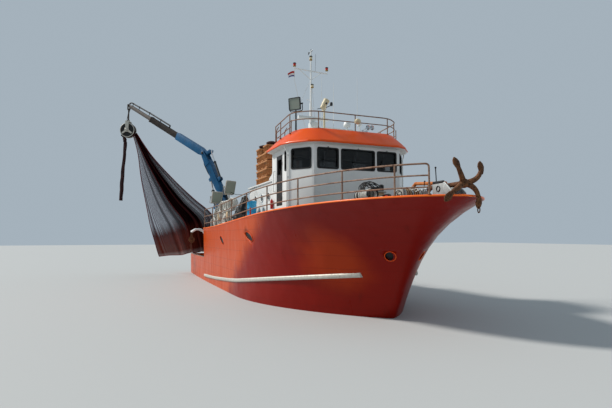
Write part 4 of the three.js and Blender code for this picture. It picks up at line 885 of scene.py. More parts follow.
@dataclass
class Studio(Assembly):
    """The plain floor at the waterline, the camera of the photograph and a soft sun from astern."""

    eye: Point = (21.53, -8.14, 2.6)
    way: Pair = (-0.9272, 0.3746)
    pitch: float = radians(3.83)
    lens: float = 27.65
    sun_from: Point = (-0.42, -0.62, 0.66)
    sun_angle: float = radians(7)
    sun_power: float = 3.6

    def build(self) -> None:
        """Sets the camera, the floor, the sun and the sky's even light."""
        self.camera()
        self.floor()
        put_down()
        bpy.ops.object.light_add(type="SUN")
        sun = bpy.context.object
        sun.name = "sun"
        sun.rotation_euler = (-Vector(self.sun_from)).to_track_quat("-Z", "Y").to_euler()
        sun.data.energy = self.sun_power
        sun.data.angle = self.sun_angle
        sun.data.color = (1.0, 0.955, 0.9)
        world = bpy.data.worlds.new("even_sky")
        bpy.context.scene.world = world
        world.use_nodes = True
        background = world.node_tree.nodes["Background"]
        background.inputs["Color"].default_value = linear("#B4C2CD")
        background.inputs["Strength"].default_value = 0.82
        bpy.context.scene.view_settings.view_transform = "Standard"

    def camera(self) -> None:
        """Places the camera where the photograph was taken."""
        put_down()
        bpy.ops.object.camera_add(location=self.eye)
        camera = bpy.context.object
        camera.name = "camera"
        ahead = Vector((*self.way, tan(self.pitch)))
        camera.rotation_euler = ahead.to_track_quat("-Z", "Y").to_euler()
        camera.data.lens = self.lens
        camera.data.sensor_width = 36
        camera.data.clip_end = 500
        bpy.context.scene.camera = camera

    def floor(self) -> None:
        """Lays the pale floor at the waterline."""
        put_down()
        bpy.ops.mesh.primitive_plane_add(size=240, location=(0, 0, 0))
        floor = settle(named(bpy.context.object, "floor"))
        material = bpy.data.materials.new("floor_pale_matt")
        material.use_nodes = True
        shader = material.node_tree.nodes["Principled BSDF"]
        shader.inputs["Base Color"].default_value = linear("#B4B6B5")
        shader.inputs["Roughness"].default_value = 0.85
        floor.data.materials.append(material)


def blend_share(t: float) -> float:
    """An eased share from 0 to 1."""
    t = min(max(t, 0.0), 1.0)
    return t * t * (3 - 2 * t)


@dataclass(frozen=True)
class HullForm:
    """The shape of the boat's sides."""

    sheer_aft: float = 3.0
    sheer_bow: float = 3.58
    step_x: float = -6.25
    stem_tip: float = 12.15
    stem_waterline: float = 8.7

    def sheer(self, x: float) -> float:
        """The height of the deck edge at a station."""
        share = blend_share((x - self.step_x) / (self.stem_tip - self.step_x))
        return self.sheer_aft + (self.sheer_bow - self.sheer_aft) * share

    def half(self, x: float, z: float) -> float:
        """The half breadth of the side at a station and height.

        Args:
            x: the station.
            z: the height over the water.
        Returns:
            The half breadth.
        """
        share = z / self.sheer(x)
        rise = share * self.sheer_bow
        top = self.stem_tip - self.stem_waterline - 0.52 * self.sheer_bow
        nose = self.stem_waterline + 0.52 * rise + top * max(share, 0.0) ** 5
        entrance = 7.3 + 2.1 * share
        t = min(max((nose - x) / entrance, 0.0), 1.0)
        fullness = 0.88 + (0.567 - 0.88) * share ** 1.5
        bow = (1 - (1 - t) ** (2 + 0.2 * share)) ** fullness
        aft = min(max((-4 - x) / 8.75, 0.0), 1.0)
        return (3.3 + 0.1 * share) * bow * (1 - 0.06 * aft * aft)

    def edge(self, x: float, inset: float = 0.0, up: float = 0.0, side: int = -1) -> Point:
        """A point on the deck edge, moved inboard and up.

        Args:
            x: the station.
            inset: how far inboard.
            up: how far above the edge.
            side: -1 to starboard, 1 to port.
        Returns:
            The point.
        """
        return (x, side * (self.half(x, self.sheer(x)) - inset), self.sheer(x) + up)

    def skin(self, x: float, z: float, side: int) -> tuple[Vector, Vector]:
        """A point of the side's plating and its outward normal.

        Args:
            x: the station.
            z: the height.
            side: -1 to starboard, 1 to port.
        Returns:
            The point and the normal.
        """
        step = 0.02
        here = Vector((x, side * self.half(x, z), z))
        along = Vector((x + step, side * self.half(x + step, z), z)) - here
        up = Vector((x, side * self.half(x, z + step), z + step)) - here
        normal = along.cross(up).normalized()
        return here, normal if normal.y * side > 0 else -normal


HULL = HullForm()


@dataclass
class HullPlating(Assembly):
    """The plating with its openings' rims, the deck edge in a brighter orange as a painted highlight, and the
    rub rails.
    """

    hawse: Pair = (9.45, 1.98)
    hawse_radius: float = 0.17
    ovals: tuple[tuple[float, float, float, float], ...] = ((-1.1, 2.37, 0.9, 0.3), (3.55, 2.56, 0.8, 0.3))
    tilt: float = 0.35
    patch: Point = (7.9, 0, 1.8)
    under_water: str = "#5E1B10"
    # Painted light: lighter oranges that stand in for the sun's reflection on the enamel, aft and round the
    # patch centre
    sunlit_aft_painted: str = "#C24A06"
    reflection_patch_painted: str = "#B23A06"
    seam: str = "#6E0E04"

    def build(self) -> None:
        """Makes the plating, its trim and its rims."""
        hull = likeness("hull", "hull_plating", degrees=28)
        hull.data.materials.append(self.topside_paint())
        hull.data.materials.append(Finishes.DECK_PAINT.value.material())
        for face in hull.data.polygons:
            if face.normal.z > 0.96 and face.center.z > 0.3 and face.center.z < 3.02:
                face.material_index = 1
        # The deck edge: a brighter orange than the plating, a painted highlight where the sun catches it
        self.renew("gunwale", Finishes.EDGE_ENAMEL, bevel=0.012)
        # The rub rails are white paint, given the pale grey plate finish: painted shade for their shadowed
        # undersides
        for side in ("starboard", "port"):
            self.renew(f"rub_rail_{side}", Finishes.PALE_STEEL, bevel=0.018, segments=3, slot="white_paint")
        rims, shade_cups = [], []
        for side in (-1, 1):
            here, normal = HULL.skin(*self.hawse, side)
            # A brighter orange rim round the hawse: a painted highlight on its lip
            rims.append(ring(here + normal * 0.002, normal, self.hawse_radius, 0.014))
            # A black cup inside the hawse: painted shade for the dark pipe
            shade_cups.append(turned([(0.04, -0.11), (0.125, -0.1), (0.14, -0.06)], here, normal, 28))
        self.put(rims, "hawse_rims", Finishes.FASCIA_ENAMEL)
        self.put(shade_cups, "hawse_pipe_mouths", Finishes.RUBBER, slot="black_paint")
        rims, shade_plates = [], []
        for x, z, wide, tall in self.ovals:
            for side in (-1, 1):
                # A brighter orange rim round the port: a painted highlight on its lip
                rims.append(pipe(self.oval(x, z, wide, tall, side, 0.004), 0.011, closed=True, sides=8))
                # A black plate set inside the port: painted shade for the dark opening
                way = HULL.skin(x, z, side)[1] * -0.012
                shade_plates.append(plate(self.oval(x, z, wide * 0.93, tall * 0.86, side, -0.03), way))
        self.put(rims, "freeing_port_rims", Finishes.FASCIA_ENAMEL)
        self.put(shade_plates, "freeing_port_flaps", Finishes.RUBBER, slot="black_paint")

    def oval(self, x: float, z: float, wide: float, tall: float, side: int, off: float) -> list[Point]:
        """The outline of one slanted freeing port, a distance off the plating.

        Args:
            x: the port's station.
            z: its height.
            wide: its length along the side.
            tall: its height across that.
            side: -1 to starboard, 1 to port.
            off: the distance off the plating.
        Returns:
            The outline's points in order.
        """
        here, normal = HULL.skin(x, z, side)
        along = Vector((cos(self.tilt), 0, -sin(self.tilt)))
        along = (along - normal * along.dot(normal)).normalized()
        up = normal.cross(along)
        points = []
        for i in range(28):
            turn = 2 * pi * i / 28
            points.append(here + along * cos(turn) * wide / 2 + up * sin(turn) * tall / 2 + normal * off)
        return points

    def topside_paint(self) -> bpy.types.Material:
        """The enamel above the water and antifouling below it, met in an even line."""
        material = Finishes.HULL_ENAMEL.value.material()
        tree = material.node_tree
        shader = next(n for n in tree.nodes if n.type == "BSDF_PRINCIPLED")
        place = add_node(tree, "TexCoord", out="Object")
        height = add_node(tree, "SeparateXYZ", (place,), 2)
        under = add_node(tree, "MapRange", (height, -0.06, -0.05, 1.0, 0.0))
        paint = self.bleached(tree, place, shader.inputs["Base Color"].links[0].from_socket)
        mixed = add_node(tree, "Mix", {0: under, 6: paint, 7: linear(self.under_water)}, 2, data_type="RGBA")
        tree.links.new(mixed, shader.inputs["Base Color"])
        return material

    def bleached(self, tree: bpy.types.NodeTree, place: bpy.types.NodeSocket,
                 paint: bpy.types.NodeSocket) -> bpy.types.NodeSocket:
        """The enamel with painted reflections of the sun: lighter orange aft and in a soft patch amidships,
        with darker plate seams.

        Args:
            tree: the material's nodes.
            place: the object coordinates.
            paint: the paint's colour so far.
        Returns:
            The colour with the painted reflections and the seams.
        """
        along, height = (add_node(tree, "SeparateXYZ", (place,), out) for out in (0, 2))
        cloudy = add_node(tree, "TexNoise", {"Vector": place, "Scale": per_metre(1700), "Detail": 5.0,
                                             "Roughness": 0.6})
        # Aft of a slanted line, which wanders with the clouds
        slant = add_node(tree, "Math", (height, -1.5, along), operation="MULTIPLY_ADD")
        wander = add_node(tree, "Math", (cloudy, 2.2, slant), operation="MULTIPLY_ADD")
        aft = add_node(tree, "MapRange", (wander, 0.4, 2.1, 0.9, 0.0), interpolation_type="SMOOTHSTEP")
        # Near one spot, longer than it is high
        off = add_node(tree, "VectorMath", (place, self.patch), operation="SUBTRACT")
        flat = add_node(tree, "VectorMath", (off, (0.7, 0, 0.85)), operation="MULTIPLY")
        far = add_node(tree, "VectorMath", (flat,), "Value", operation="LENGTH")
        soft = add_node(tree, "Math", (cloudy, -1.3, far), operation="MULTIPLY_ADD")
        near = add_node(tree, "MapRange", (soft, -0.4, 0.5, 0.7, 0.0), interpolation_type="SMOOTHSTEP")
        seams = add_node(tree, "TexWave", {"Vector": place, "Scale": 0.72, "Distortion": 0.25, "Detail": 1.0},
                         "Fac", wave_type="BANDS", bands_direction="Z")
        line = add_node(tree, "MapRange", (seams, 0.985, 1.0, 0.0, 0.3))
        # The aft and patch shares paint reflections of the sun; the seam lines are darker plate joints
        for share, colour in ((aft, self.sunlit_aft_painted), (near, self.reflection_patch_painted), (line, self.seam)):
            paint = add_node(tree, "Mix", {0: share, 6: paint, 7: linear(colour)}, 2, data_type="RGBA")
        return paint


def bolts(centres: Sequence[Point], way: Point, size: float = 0.012) -> list[Piece]:
    """Hexagon bolt heads at places, each standing out along a direction."""
    out = Vector(way).normalized() * size
    return [rod(c, Vector(c) + out, size, 6) for c in centres]


def coil(centre: Point, normal: Point, radius: float, thick: float, turns: int = 5, flat: float = 1.0) -> Piece:
    """A coil of rope or hose, wound a little loose.

    Args:
        centre: the middle of the coil.
        normal: the direction of its axis.
        radius: its radius.
        thick: the radius of the rope.
        turns: how many times it goes round.
        flat: its height as a share of its width.
    Returns:
        The coil as one pipe.
    """
    turn = aimed(Vector(normal))
    points = []
    for i in range(turns * 18 + 1):
        a = 2 * pi * i / 18
        r = radius * (1 + 0.09 * sin(a * 0.37 + radius * 9))
        rise = (i / 18 - turns / 2) * thick * 1.7
        local = Vector((cos(a) * r * flat, sin(a) * r, rise))
        points.append(Vector(centre) + turn.to_3x3() @ local)
    return pipe(points, thick, sides=8)


def heap(centre: Point, size: Point, lumps: float = 0.25, rough: float = 0.3) -> Piece:
    """A lumpy bundle of cloth or net, flat below.

    Args:
        centre: its middle.
        size: its half sizes.
        lumps: how large its folds are, in metres.
        rough: how deep they are, as a share of the smallest half size.
    Returns:
        The bundle.
    """
    obj = ball(centre, size, 16)
    take_up(obj)
    bpy.ops.object.mode_set(mode="EDIT")
    bpy.ops.mesh.select_all(action="SELECT")
    bpy.ops.mesh.subdivide(number_cuts=1, smoothness=1.0)
    bpy.ops.object.mode_set(mode="OBJECT")
    folds = bpy.data.textures.new("folds", "CLOUDS")
    folds.noise_scale = lumps
    folds.noise_depth = 2
    modify(obj, "DISPLACE", texture=folds, texture_coords="LOCAL", strength=min(size) * rough * 2,
           mid_level=0.55)
    return smooth(obj, 80)


@dataclass
class DeckRailing(Assembly):
    """Three pipes on posts along the deck edges; the top one turns down at both ends.

    The starboard rail runs to the stem. The port one ends abreast of the wheelhouse.
    """

    starboard_posts: tuple[float, ...] = (-6.1, -3.65, -1.45, 0.8, 3.4, 5.65, 7.75, 9.65, 11.1, 11.75)
    port_posts: tuple[float, ...] = (-6.1, -3.65, -1.45, 0.8, 3.4)
    shares: Pair = (0.24, 0.62)
    height_aft: float = 1.06
    height_fore: float = 0.79
    inset: float = 0.04
    foot: float = 0.052
    pipe_radius: float = 0.021
    post_radius: float = 0.024

    def build(self) -> None:
        """Makes both rails."""
        for side, word, posts in ((-1, "starboard", self.starboard_posts), (1, "port", self.port_posts)):
            self.put(self.rail(side, posts), f"deck_railing_{word}", Finishes.RUSTY_PIPE,
                     replaces=(f"deck_rail_{word}",))

    def at(self, x: float, share: float, side: int) -> Point:
        """A point above the deck edge, at a share of the rail's height there.

        Args:
            x: the station.
            share: the share of the rail's height.
            side: -1 to starboard, 1 to port.
        Returns:
            The point.
        """
        along = (x - self.starboard_posts[0]) / (self.starboard_posts[-1] - self.starboard_posts[0])
        height = self.height_aft + (self.height_fore - self.height_aft) * along
        return HULL.edge(x, self.inset, self.foot + share * height, side)

    def rail(self, side: int, posts: Sequence[float]) -> list[Piece]:
        """The posts, their foot flanges with bolts, and the three pipes of one side.

        Args:
            side: -1 to starboard, 1 to port.
            posts: the stations of its posts.
        Returns:
            The rail's pieces.
        """
        first, last = posts[0], posts[-1]
        stations = [first + (last - first) * (1 - (1 - i / 30) ** 1.4) for i in range(31)]
        pieces = []
        for x in posts[1:-1]:
            pieces.append(rod(self.at(x, 0.003, side), self.at(x, 1, side), self.post_radius, 12))
            for share in self.shares:
                pieces.append(ball(self.at(x, share, side), 0.031, 5))
        for x in posts:
            low = Vector(self.at(x, 0.002, side))
            pieces.append(turned([(0.055, 0), (0.055, 0.008), (0.03, 0.012), (0.027, 0.03)], low, sides=12))
        top = [self.at(x, 1, side) for x in stations]
        path = [self.at(first, 0.003, side), *top, self.at(last, 0.003, side)]
        pieces.append(bent(path, 0.2, self.post_radius, steps=5))
        for share in self.shares:
            pieces.append(pipe([self.at(x, share, side) for x in stations], self.pipe_radius))
        return pieces


@dataclass
class Wheelhouse(Assembly):
    """The wheelhouse: walls, gasketed windows, doors, the slanted fascia and what stands inside."""

    front_x: float = 6.47
    aft_x: float = 3.75
    corner_x: float = 5.654
    half: float = 2.411
    front_half: float = 1.75
    window_low: float = 4.98
    window_top: float = 5.71
    front_windows: tuple[Pair, ...] = ((-1.21, 0.82), (0.0, 1.37), (1.21, 0.82))
    corner_window: float = 0.81
    floor: float = 3.7

    def build(self) -> None:
        """Makes the walls, openings, roof and inside."""
        self.renew("wheelhouse", Finishes.WHITE_ENAMEL, bevel=0.012)
        for node in ("wheelhouse_glazing", "wheelhouse_aft_glazing"):
            WINDOW_GLASS.glaze([likeness(node, f"{node}_panes")], f"{node}_panes")
        self.gaskets()
        self.roof()
        self.wipers()
        self.fittings()
        self.renew("helm_console", Finishes.DESK_PLASTIC, bevel=0.025, segments=3)
        self.renew("helm_chair", Finishes.SEAT_CLOTH, bevel=0.035, segments=3)
        # The starboard door is near black: painted shade for the dark doorway
        self.renew("wheelhouse_door_starboard", Finishes.DOOR_VARNISH, bevel=0.008)
        self.renew("wheelhouse_door_port", Finishes.WHITE_ENAMEL, bevel=0.008)

    def frame_round(self, centre: Vector, right: Vector, out: Vector, wide: float, tall: float) -> Piece:
        """A rubber seal round a window: a flat ring with rounded inner corners.

        Args:
            centre: the middle of the opening on the wall's face.
            right: the direction along the wall.
            out: the wall's outward normal.
            wide: the opening's width.
            tall: the opening's height.
        Returns:
            The seal.
        """
        inner, outer = ([right * x + Vector((0, 0, y)) for x,
                         y in corners(wide / 2 + grow, tall / 2 + grow, radius, 5)] for grow,
                        radius in ((-0.03, 0.07), (0.02, 0.09)))
        rings = [[centre + p - out * 0.07 for p in inner], [centre + p + out * 0.008 for p in inner],
                 [centre + p + out * 0.008 for p in outer], [centre + p + out * 0.001 for p in outer]]
        seal = lofted(rings, capped=False)
        return smooth(modify(seal, "SOLIDIFY", thickness=0.004, offset=-1), 40)

    def gaskets(self) -> None:
        """Seals every window opening."""
        tall, mid = self.window_top - self.window_low, (self.window_top + self.window_low) / 2
        rows = [((self.front_x, y, mid), PORT, BOW, wide, tall) for y, wide in self.front_windows]
        for side in (-1, 1):
            along = Vector((self.front_x - self.corner_x, side * (self.front_half - self.half), 0)).normalized()
            middle = ((self.front_x + self.corner_x) / 2, side * (self.half + self.front_half) / 2, mid)
            rows.append((middle, along, (abs(along.y), side * along.x, 0), self.corner_window, tall))
            rows.append(((5.36, side * self.half, mid), BOW, (0, side, 0), 0.24, tall))
        rows += [((self.aft_x, y, mid + 0.03), PORT, (-1, 0, 0), 0.8, tall - 0.06) for y in (-1.5, 0.0, 1.5)]
        self.put([self.frame_round(*map(Vector, row[:3]), *row[3:]) for row in rows], "window_seals",
                 Finishes.RUBBER)

    def roof(self) -> None:
        """The roof: orange fascia, white soffit and top."""
        roof = likeness("wheelhouse_roof", "wheelhouse_roof_shell", bevel=0.05, segments=4, degrees=20)
        roof.data.materials.append(Finishes.FASCIA_ENAMEL.value.material())
        roof.data.materials.append(Finishes.WHITE_ENAMEL.value.material())
        for face in roof.data.polygons:
            if abs(face.normal.z) > 0.93:
                face.material_index = 1

    def wipers(self) -> None:
        """A wiper arm and blade on each front window."""
        pieces = []
        x, top = self.front_x + 0.03, self.window_top + 0.03
        for y, _ in self.front_windows:
            pieces += [rod((x, y, top), (x - 0.045, y, top), 0.022, 12),
                       rod((x + 0.01, y, top), (x, y - 0.16, top - 0.45), 0.007, 8),
                       block((x - 0.012, y - 0.17, self.window_low + 0.12), (x + 0.004, y - 0.155, top - 0.15))]
        self.put(pieces, "window_wipers", Finishes.BLACK_ENAMEL)

    def fittings(self) -> None:
        """Drain pipes at the front corners, door gear, the wing plate and the extinguisher."""
        pieces = []
        wing = [(3.745, 4.91), (2.7, 4.91), (2.75, 5.0), (3.05, 5.1), (3.28, 5.3), (3.4, 5.6), (3.44, 5.84),
                (3.745, 5.84)]
        for side in (-1, 1):
            x, wall = self.corner_x - 0.02, side * self.half
            y = wall + side * 0.045
            pieces.append(pipe([(x, y, 3.0), (x, y, 5.6), (x - 0.03, y + side * 0.09, 5.84)], 0.024))
            low, high = sorted((y, y - side * 0.05))
            pieces += [block((x - 0.035, low, z), (x + 0.035, high, z + 0.03)) for z in (3.6, 4.7, 5.5)]
            grip = wall + side * 0.07
            pieces.append(bent([(4.15, wall, 4.3), (4.15, grip, 4.3), (4.15, grip, 5.1), (4.15, wall, 5.1)],
                               0.04, 0.014))
            pieces.append(plate([(x, side * 2.2, z) for x, z in wing], (0, side * 0.012, 0)))
        self.put(pieces, "wheelhouse_pipes_and_wings", Finishes.WHITE_ENAMEL)
        bottle = turned([(0.05, 0), (0.06, 0.02), (0.06, 0.3), (0.045, 0.345), (0.02, 0.36), (0.02, 0.4)],
                        (3.94, -self.half - 0.075, 3.64), sides=20)
        self.put([bottle, rod((3.94, -self.half, 3.8), (3.94, -self.half - 0.075, 3.8), 0.02)], "extinguisher",
                 Finishes.RED_ENAMEL)


@dataclass
class RoofRail(Assembly):
    """Pipes with rounded corners round the flying bridge, on stanchions, and the ladder up to it."""

    aft_x: float = 3.69
    turn_x: float = 5.5
    front_x: float = 6.07
    half: float = 2.25
    top: float = 7.12
    middle: float = 6.84
    lowest: float = 6.6
    droop: float = 0.14
    ladder: tuple[float, float, float] = (3.4, -2.12, -1.76)
    slope_foot: float = 6.365
    front_foot: float = BRIDGE_ROOF
    side_posts: tuple[float, ...] = (3.69, 4.3, 5.35)
    front_posts: tuple[float, ...] = (-1.4, 0.1, 1.5)

    def build(self) -> None:
        """Makes the rail and the ladder."""
        pieces = []
        for side in (-1, 1):
            y = side * self.half
            pieces.append(pipe([(x, y, self.sag(x, self.lowest)) for x in (self.aft_x, self.turn_x)], 0.016))
            pieces.append(rod((self.turn_x, y, 6.38), (self.turn_x, y, self.middle), 0.018, 12))
            pieces += [self.post(x, y, self.slope_foot, self.sag(x, self.top)) for x in self.side_posts]
        pieces += [self.post(self.front_x, y, self.front_foot, self.top) for y in self.front_posts]
        plan = [(self.aft_x, -self.half), (self.turn_x, -self.half), (self.front_x, -1.6), (self.front_x, 1.6),
                (self.turn_x, self.half), (self.aft_x, self.half)]
        for height, radius in ((self.middle, 0.018), (self.top, 0.021)):
            pieces.append(bent([(x, y, self.sag(x, height)) for x, y in plan], 0.34, radius, steps=8))
        self.put(pieces, "flying_bridge_rail", Finishes.RUSTY_PIPE, replaces=("roof_rail",))
        x, y0, y1 = self.ladder
        ladder = [bent([(x, y, 4.905), (x, y, 6.9), (3.66, y, 6.98)], 0.12, 0.019) for y in (y0, y1)]
        ladder += [rod((x, y0, 5.1 + 0.3 * i), (x, y1, 5.1 + 0.3 * i), 0.014, 10) for i in range(6)]
        self.put(ladder, "flying_bridge_ladder", Finishes.RUSTY_PIPE)

    def sag(self, x: float, height: float) -> float:
        """The height of a side pipe, which falls towards its aft end."""
        return height - self.droop * max(0.0, min(1.0, (self.turn_x - x) / (self.turn_x - self.aft_x)))

    @staticmethod
    def post(x: float, y: float, low: float, high: float) -> Piece:
        """A stanchion with its foot flange.

        Args:
            x: its station.
            y: its distance to port.
            low: the height of its foot.
            high: the height of its top.
        Returns:
            The stanchion.
        """
        return joined([rod((x, y, low), (x, y, high), 0.02, 12),
                       turned([(0.05, 0), (0.05, 0.008), (0.028, 0.012), (0.023, 0.03)], (x, y, low),
                              sides=12)], "stanchion")


@dataclass
class Floodlight(Assembly):
    """A floodlight on a post: a finned housing in a yoke, with a bezel round dusty glass."""

    node: str
    place: Point
    base: float
    facing: float
    pitch: float
    width: float
    tall: float
    deep: float
    post: float
    finish: Finishes

    def build(self) -> None:
        """Makes the lamp, its glass and its post."""
        facing = radians(self.facing)
        turn = Matrix.Translation(self.place) @ Matrix.Rotation(facing, 4,
                                                                "Z") @ Matrix.Rotation(self.pitch, 4, "Y")
        w, h, d = self.width / 2, self.tall / 2, self.deep
        shell, bezel, pane = ([self.shell_ring(x, w * wide, h * tall) for x, wide, tall in rows]
                              for rows in ([(-0.02, 0.9, 0.9), (-0.07, 0.94, 0.94), (-d * 0.55, 0.8, 0.78),
                                            (-d * 0.96, 0.45, 0.5)],
                                           [(-0.06, 1, 1), (-0.004, 1, 1), (0, 0.97, 0.97), (0, 0.88, 0.88),
                                            (-0.025, 0.87, 0.87)],
                                           [(-0.026, 0.88, 0.88), (-0.016, 0.88, 0.88)]))
        head = [smooth(lofted(shell)), smooth(modify(lofted(bezel, capped=False), "SOLIDIFY", thickness=0.004,
                                                     offset=-1)),
                block((-d * 0.75, -0.06, h * 0.72), (-d * 0.4, 0.06, h * 0.98))]
        head += [eased(block((-d * 0.9, -w * 0.62, h * fin - 0.006), (-d * 0.3, w * 0.62, h * fin + 0.006)),
                       0.003, 1) for fin in (-0.6, -0.4, -0.2, 0.0, 0.2, 0.4, 0.6)]
        yoke = [(-w - 0.018, 0), (-w - 0.018, -h - 0.03), (w + 0.018, -h - 0.03), (w + 0.018, 0)]
        head.append(bent([(-d * 0.5, y, z) for y, z in yoke], 0.06, 0.016))
        head += [rod((-d * 0.5, side * w * 0.8, 0), (-d * 0.5, side * (w + 0.045), 0), 0.03, 12)
                 for side in (-1, 1)]
        glass = smooth(lofted(pane))
        for obj in (*head, glass):
            obj.matrix_world = turn
            settle(obj)
        x, y = self.place[0] - cos(facing) * d * 0.5, self.place[1] - sin(facing) * d * 0.5
        neck, post = self.place[2] - h - 0.05, self.post
        head += [rod((x, y, self.base + 0.01), (x, y, neck), post, 16, post * 0.8),
                 rod((x, y, neck - 0.01), (x, y, neck + 0.06), 0.03, 14),
                 turned([(post * 2, 0), (post * 2, 0.012), (post * 1.1, 0.02)], (x, y, self.base), sides=20),
                 bent([(x, y, neck - 0.3), (x - 0.1, y + 0.05, neck - 0.1), (x - 0.08, y + 0.02, neck + 0.16),
                       (x, y, neck + 0.24)], 0.1, 0.009)]
        self.put(head, f"{self.node}_lamp", self.finish, replaces=(self.node,))
        LAMP_GLASS.glaze([glass], f"{self.node}_glass", "boat")

    @staticmethod
    def shell_ring(x: float, w: float, h: float) -> list[Point]:
        """A rounded rectangle across the lamp's axis, at a place on it."""
        return [(x, y, z) for y, z in corners(w, h, min(w, h) * 0.16, 4)]


@dataclass
class RoofGear(Assembly):
    """What stands on the flying bridge: radar, searchlight, whip aerials, a horn and a locker."""

    radar: Pair = (4.5, -0.95)
    light: Pair = (5.35, -0.85)
    base: float = BRIDGE_ROOF

    def build(self) -> None:
        """Makes the roof's gear."""
        low = self.base
        x, y = self.radar
        stand = [turned([(0.17, 0), (0.17, 0.02), (0.07, 0.04), (0.06, 0.36)], (x, y, low), sides=32),
                 eased(block((x - 0.18, y - 0.15, 6.84), (x + 0.18, y + 0.15, 7.09)), 0.04, 3),
                 turned([(0.09, 0), (0.075, 0.07)], (x, y, 7.08), sides=24)]
        stand += bolts([(x + 0.13 * cos(a), y + 0.13 * sin(a), 6.52) for a in (0.4, 2, 3.5, 5.2)], UP)
        stand.append(bent([(x - 0.17, y, 6.9), (x - 0.26, y, 6.88), (x - 0.3, y, 6.52), (x - 0.9, y, 6.515)],
                          0.08, 0.012))
        self.put(stand, "radar_stand", Finishes.WHITE_ENAMEL, replaces=("radar_pedestal",))
        self.renew("radar_scanner", Finishes.WHITE_ENAMEL, bevel=0.022, segments=4)
        self.searchlight()
        aerials = [turned([(0.06, 0), (0.06, 0.012), (0.028, 0.03), (0.024, 0.35), (0.012, 0.37), (0.009, 1.4),
                           (0.005, top - low)], (*place, low), sides=12) for *place,
                   top in ((4.6, -0.62, 9.1), (4.6, -0.1, 8.8), (4.2, 1.2, 9.3))]
        aerials += [turned(profile, (*place, low), sides=sides) for *place, sides,
                    profile in ((4.95, 0.9, 24, [(0.03, 0), (0.03, 0.5), (0.09, 0.53), (0.1, 0.6), (0.06, 0.68),
                                                 (0.02, 0.7)]),
                                (5.2, 0.2, 28, [(0.03, 0), (0.03, 0.34), (0.13, 0.36), (0.15, 0.44),
                                                (0.12, 0.53), (0.03, 0.58)]))]
        aerials.append(eased(block((4.15, -0.6, low), (4.95, 0.55, 6.79)), 0.03, 3))
        aerials.append(eased(block((4.1, -0.65, 6.79), (5.0, 0.6, 6.83)), 0.015, 2))
        self.put(aerials, "aerials_and_locker", Finishes.WHITE_ENAMEL)
        horn = [turned([(0.015, 0), (0.02, 0.05), (0.02, 0.32), (0.04, 0.42), (0.09, 0.5), (0.095, 0.505),
                        (0.03, 0.4)], (5.75, dy, 6.62), (1, 0, 0.05), 24) for dy in (0.55, 0.72)]
        horn.append(eased(block((5.72, 0.5, low), (5.86, 0.77, 6.6)), 0.01))
        self.put(horn, "air_horns", Finishes.CHROME_ROD, slot="bare_steel")
        lamp = [turned([(0.02, 0), (0.1, 0.03), (0.11, 0.16), (0.08, 0.2), (0.03, 0.22)], (6.16, 0.1, 6.86),
                       (1, 0, -0.3), 24), rod((6.07, 0.1, 6.81), (6.18, 0.1, 6.86), 0.02)]
        self.put(lamp, "rail_lamp", Finishes.CREAM_ENAMEL)

    def searchlight(self) -> None:
        """The searchlight: a tilted drum in a yoke on a post, with a glass front."""
        x, y = self.light
        way = Vector((0, 0.2, 0.35)).normalized()
        start = Vector((x, y - 0.095, 7.44))
        yoke = [(x - 0.16, y, 7.62), (x - 0.16, y, 7.395), (x + 0.16, y, 7.395), (x + 0.16, y, 7.62)]
        body = [turned([(0.03, -0.02), (0.075, 0), (0.095, 0.05), (0.1, 0.16), (0.108, 0.17), (0.108, 0.19),
                        (0.112, 0.2), (0.118, 0.36), (0.125, 0.37), (0.125, 0.4), (0.11, 0.4), (0.108, 0.385)],
                       start, way, 32), turned([(0.11, 0), (0.11, 0.016), (0.045, 0.03), (0.034, 0.9)],
                                               (x, y, self.base), sides=24), bent(yoke, 0.05, 0.017),
                rod((x - 0.18, y, 7.6), (x + 0.18, y, 7.6), 0.02)]
        self.put(body, "searchlight_body", Finishes.CREAM_ENAMEL, replaces=("searchlight",), slot="bronze")
        knob = [ball((x + 0.19, y, 7.6), 0.04, 8), rod((x + 0.02, y - 0.1, 7.46), (x + 0.02, y - 0.3, 7.4),
                                                       0.012), turned([(0.05, 0), (0.055, 0.05), (0.05, 0.12),
                                                                       (0.02, 0.14)], (x + 0.3, y + 0.16, 7.5),
                                                                      sides=20),
                rod((x + 0.17, y, 7.45), (x + 0.3, y + 0.16, 7.52), 0.014)]
        self.put(knob, "searchlight_grips", Finishes.BLACK_ENAMEL)
        front = turned([(0.1, 0), (0.1, 0.01), (0.06, 0.02)], start + way * 0.375, way, 28)
        LAMP_GLASS.glaze([front], "searchlight_glass", "boat")


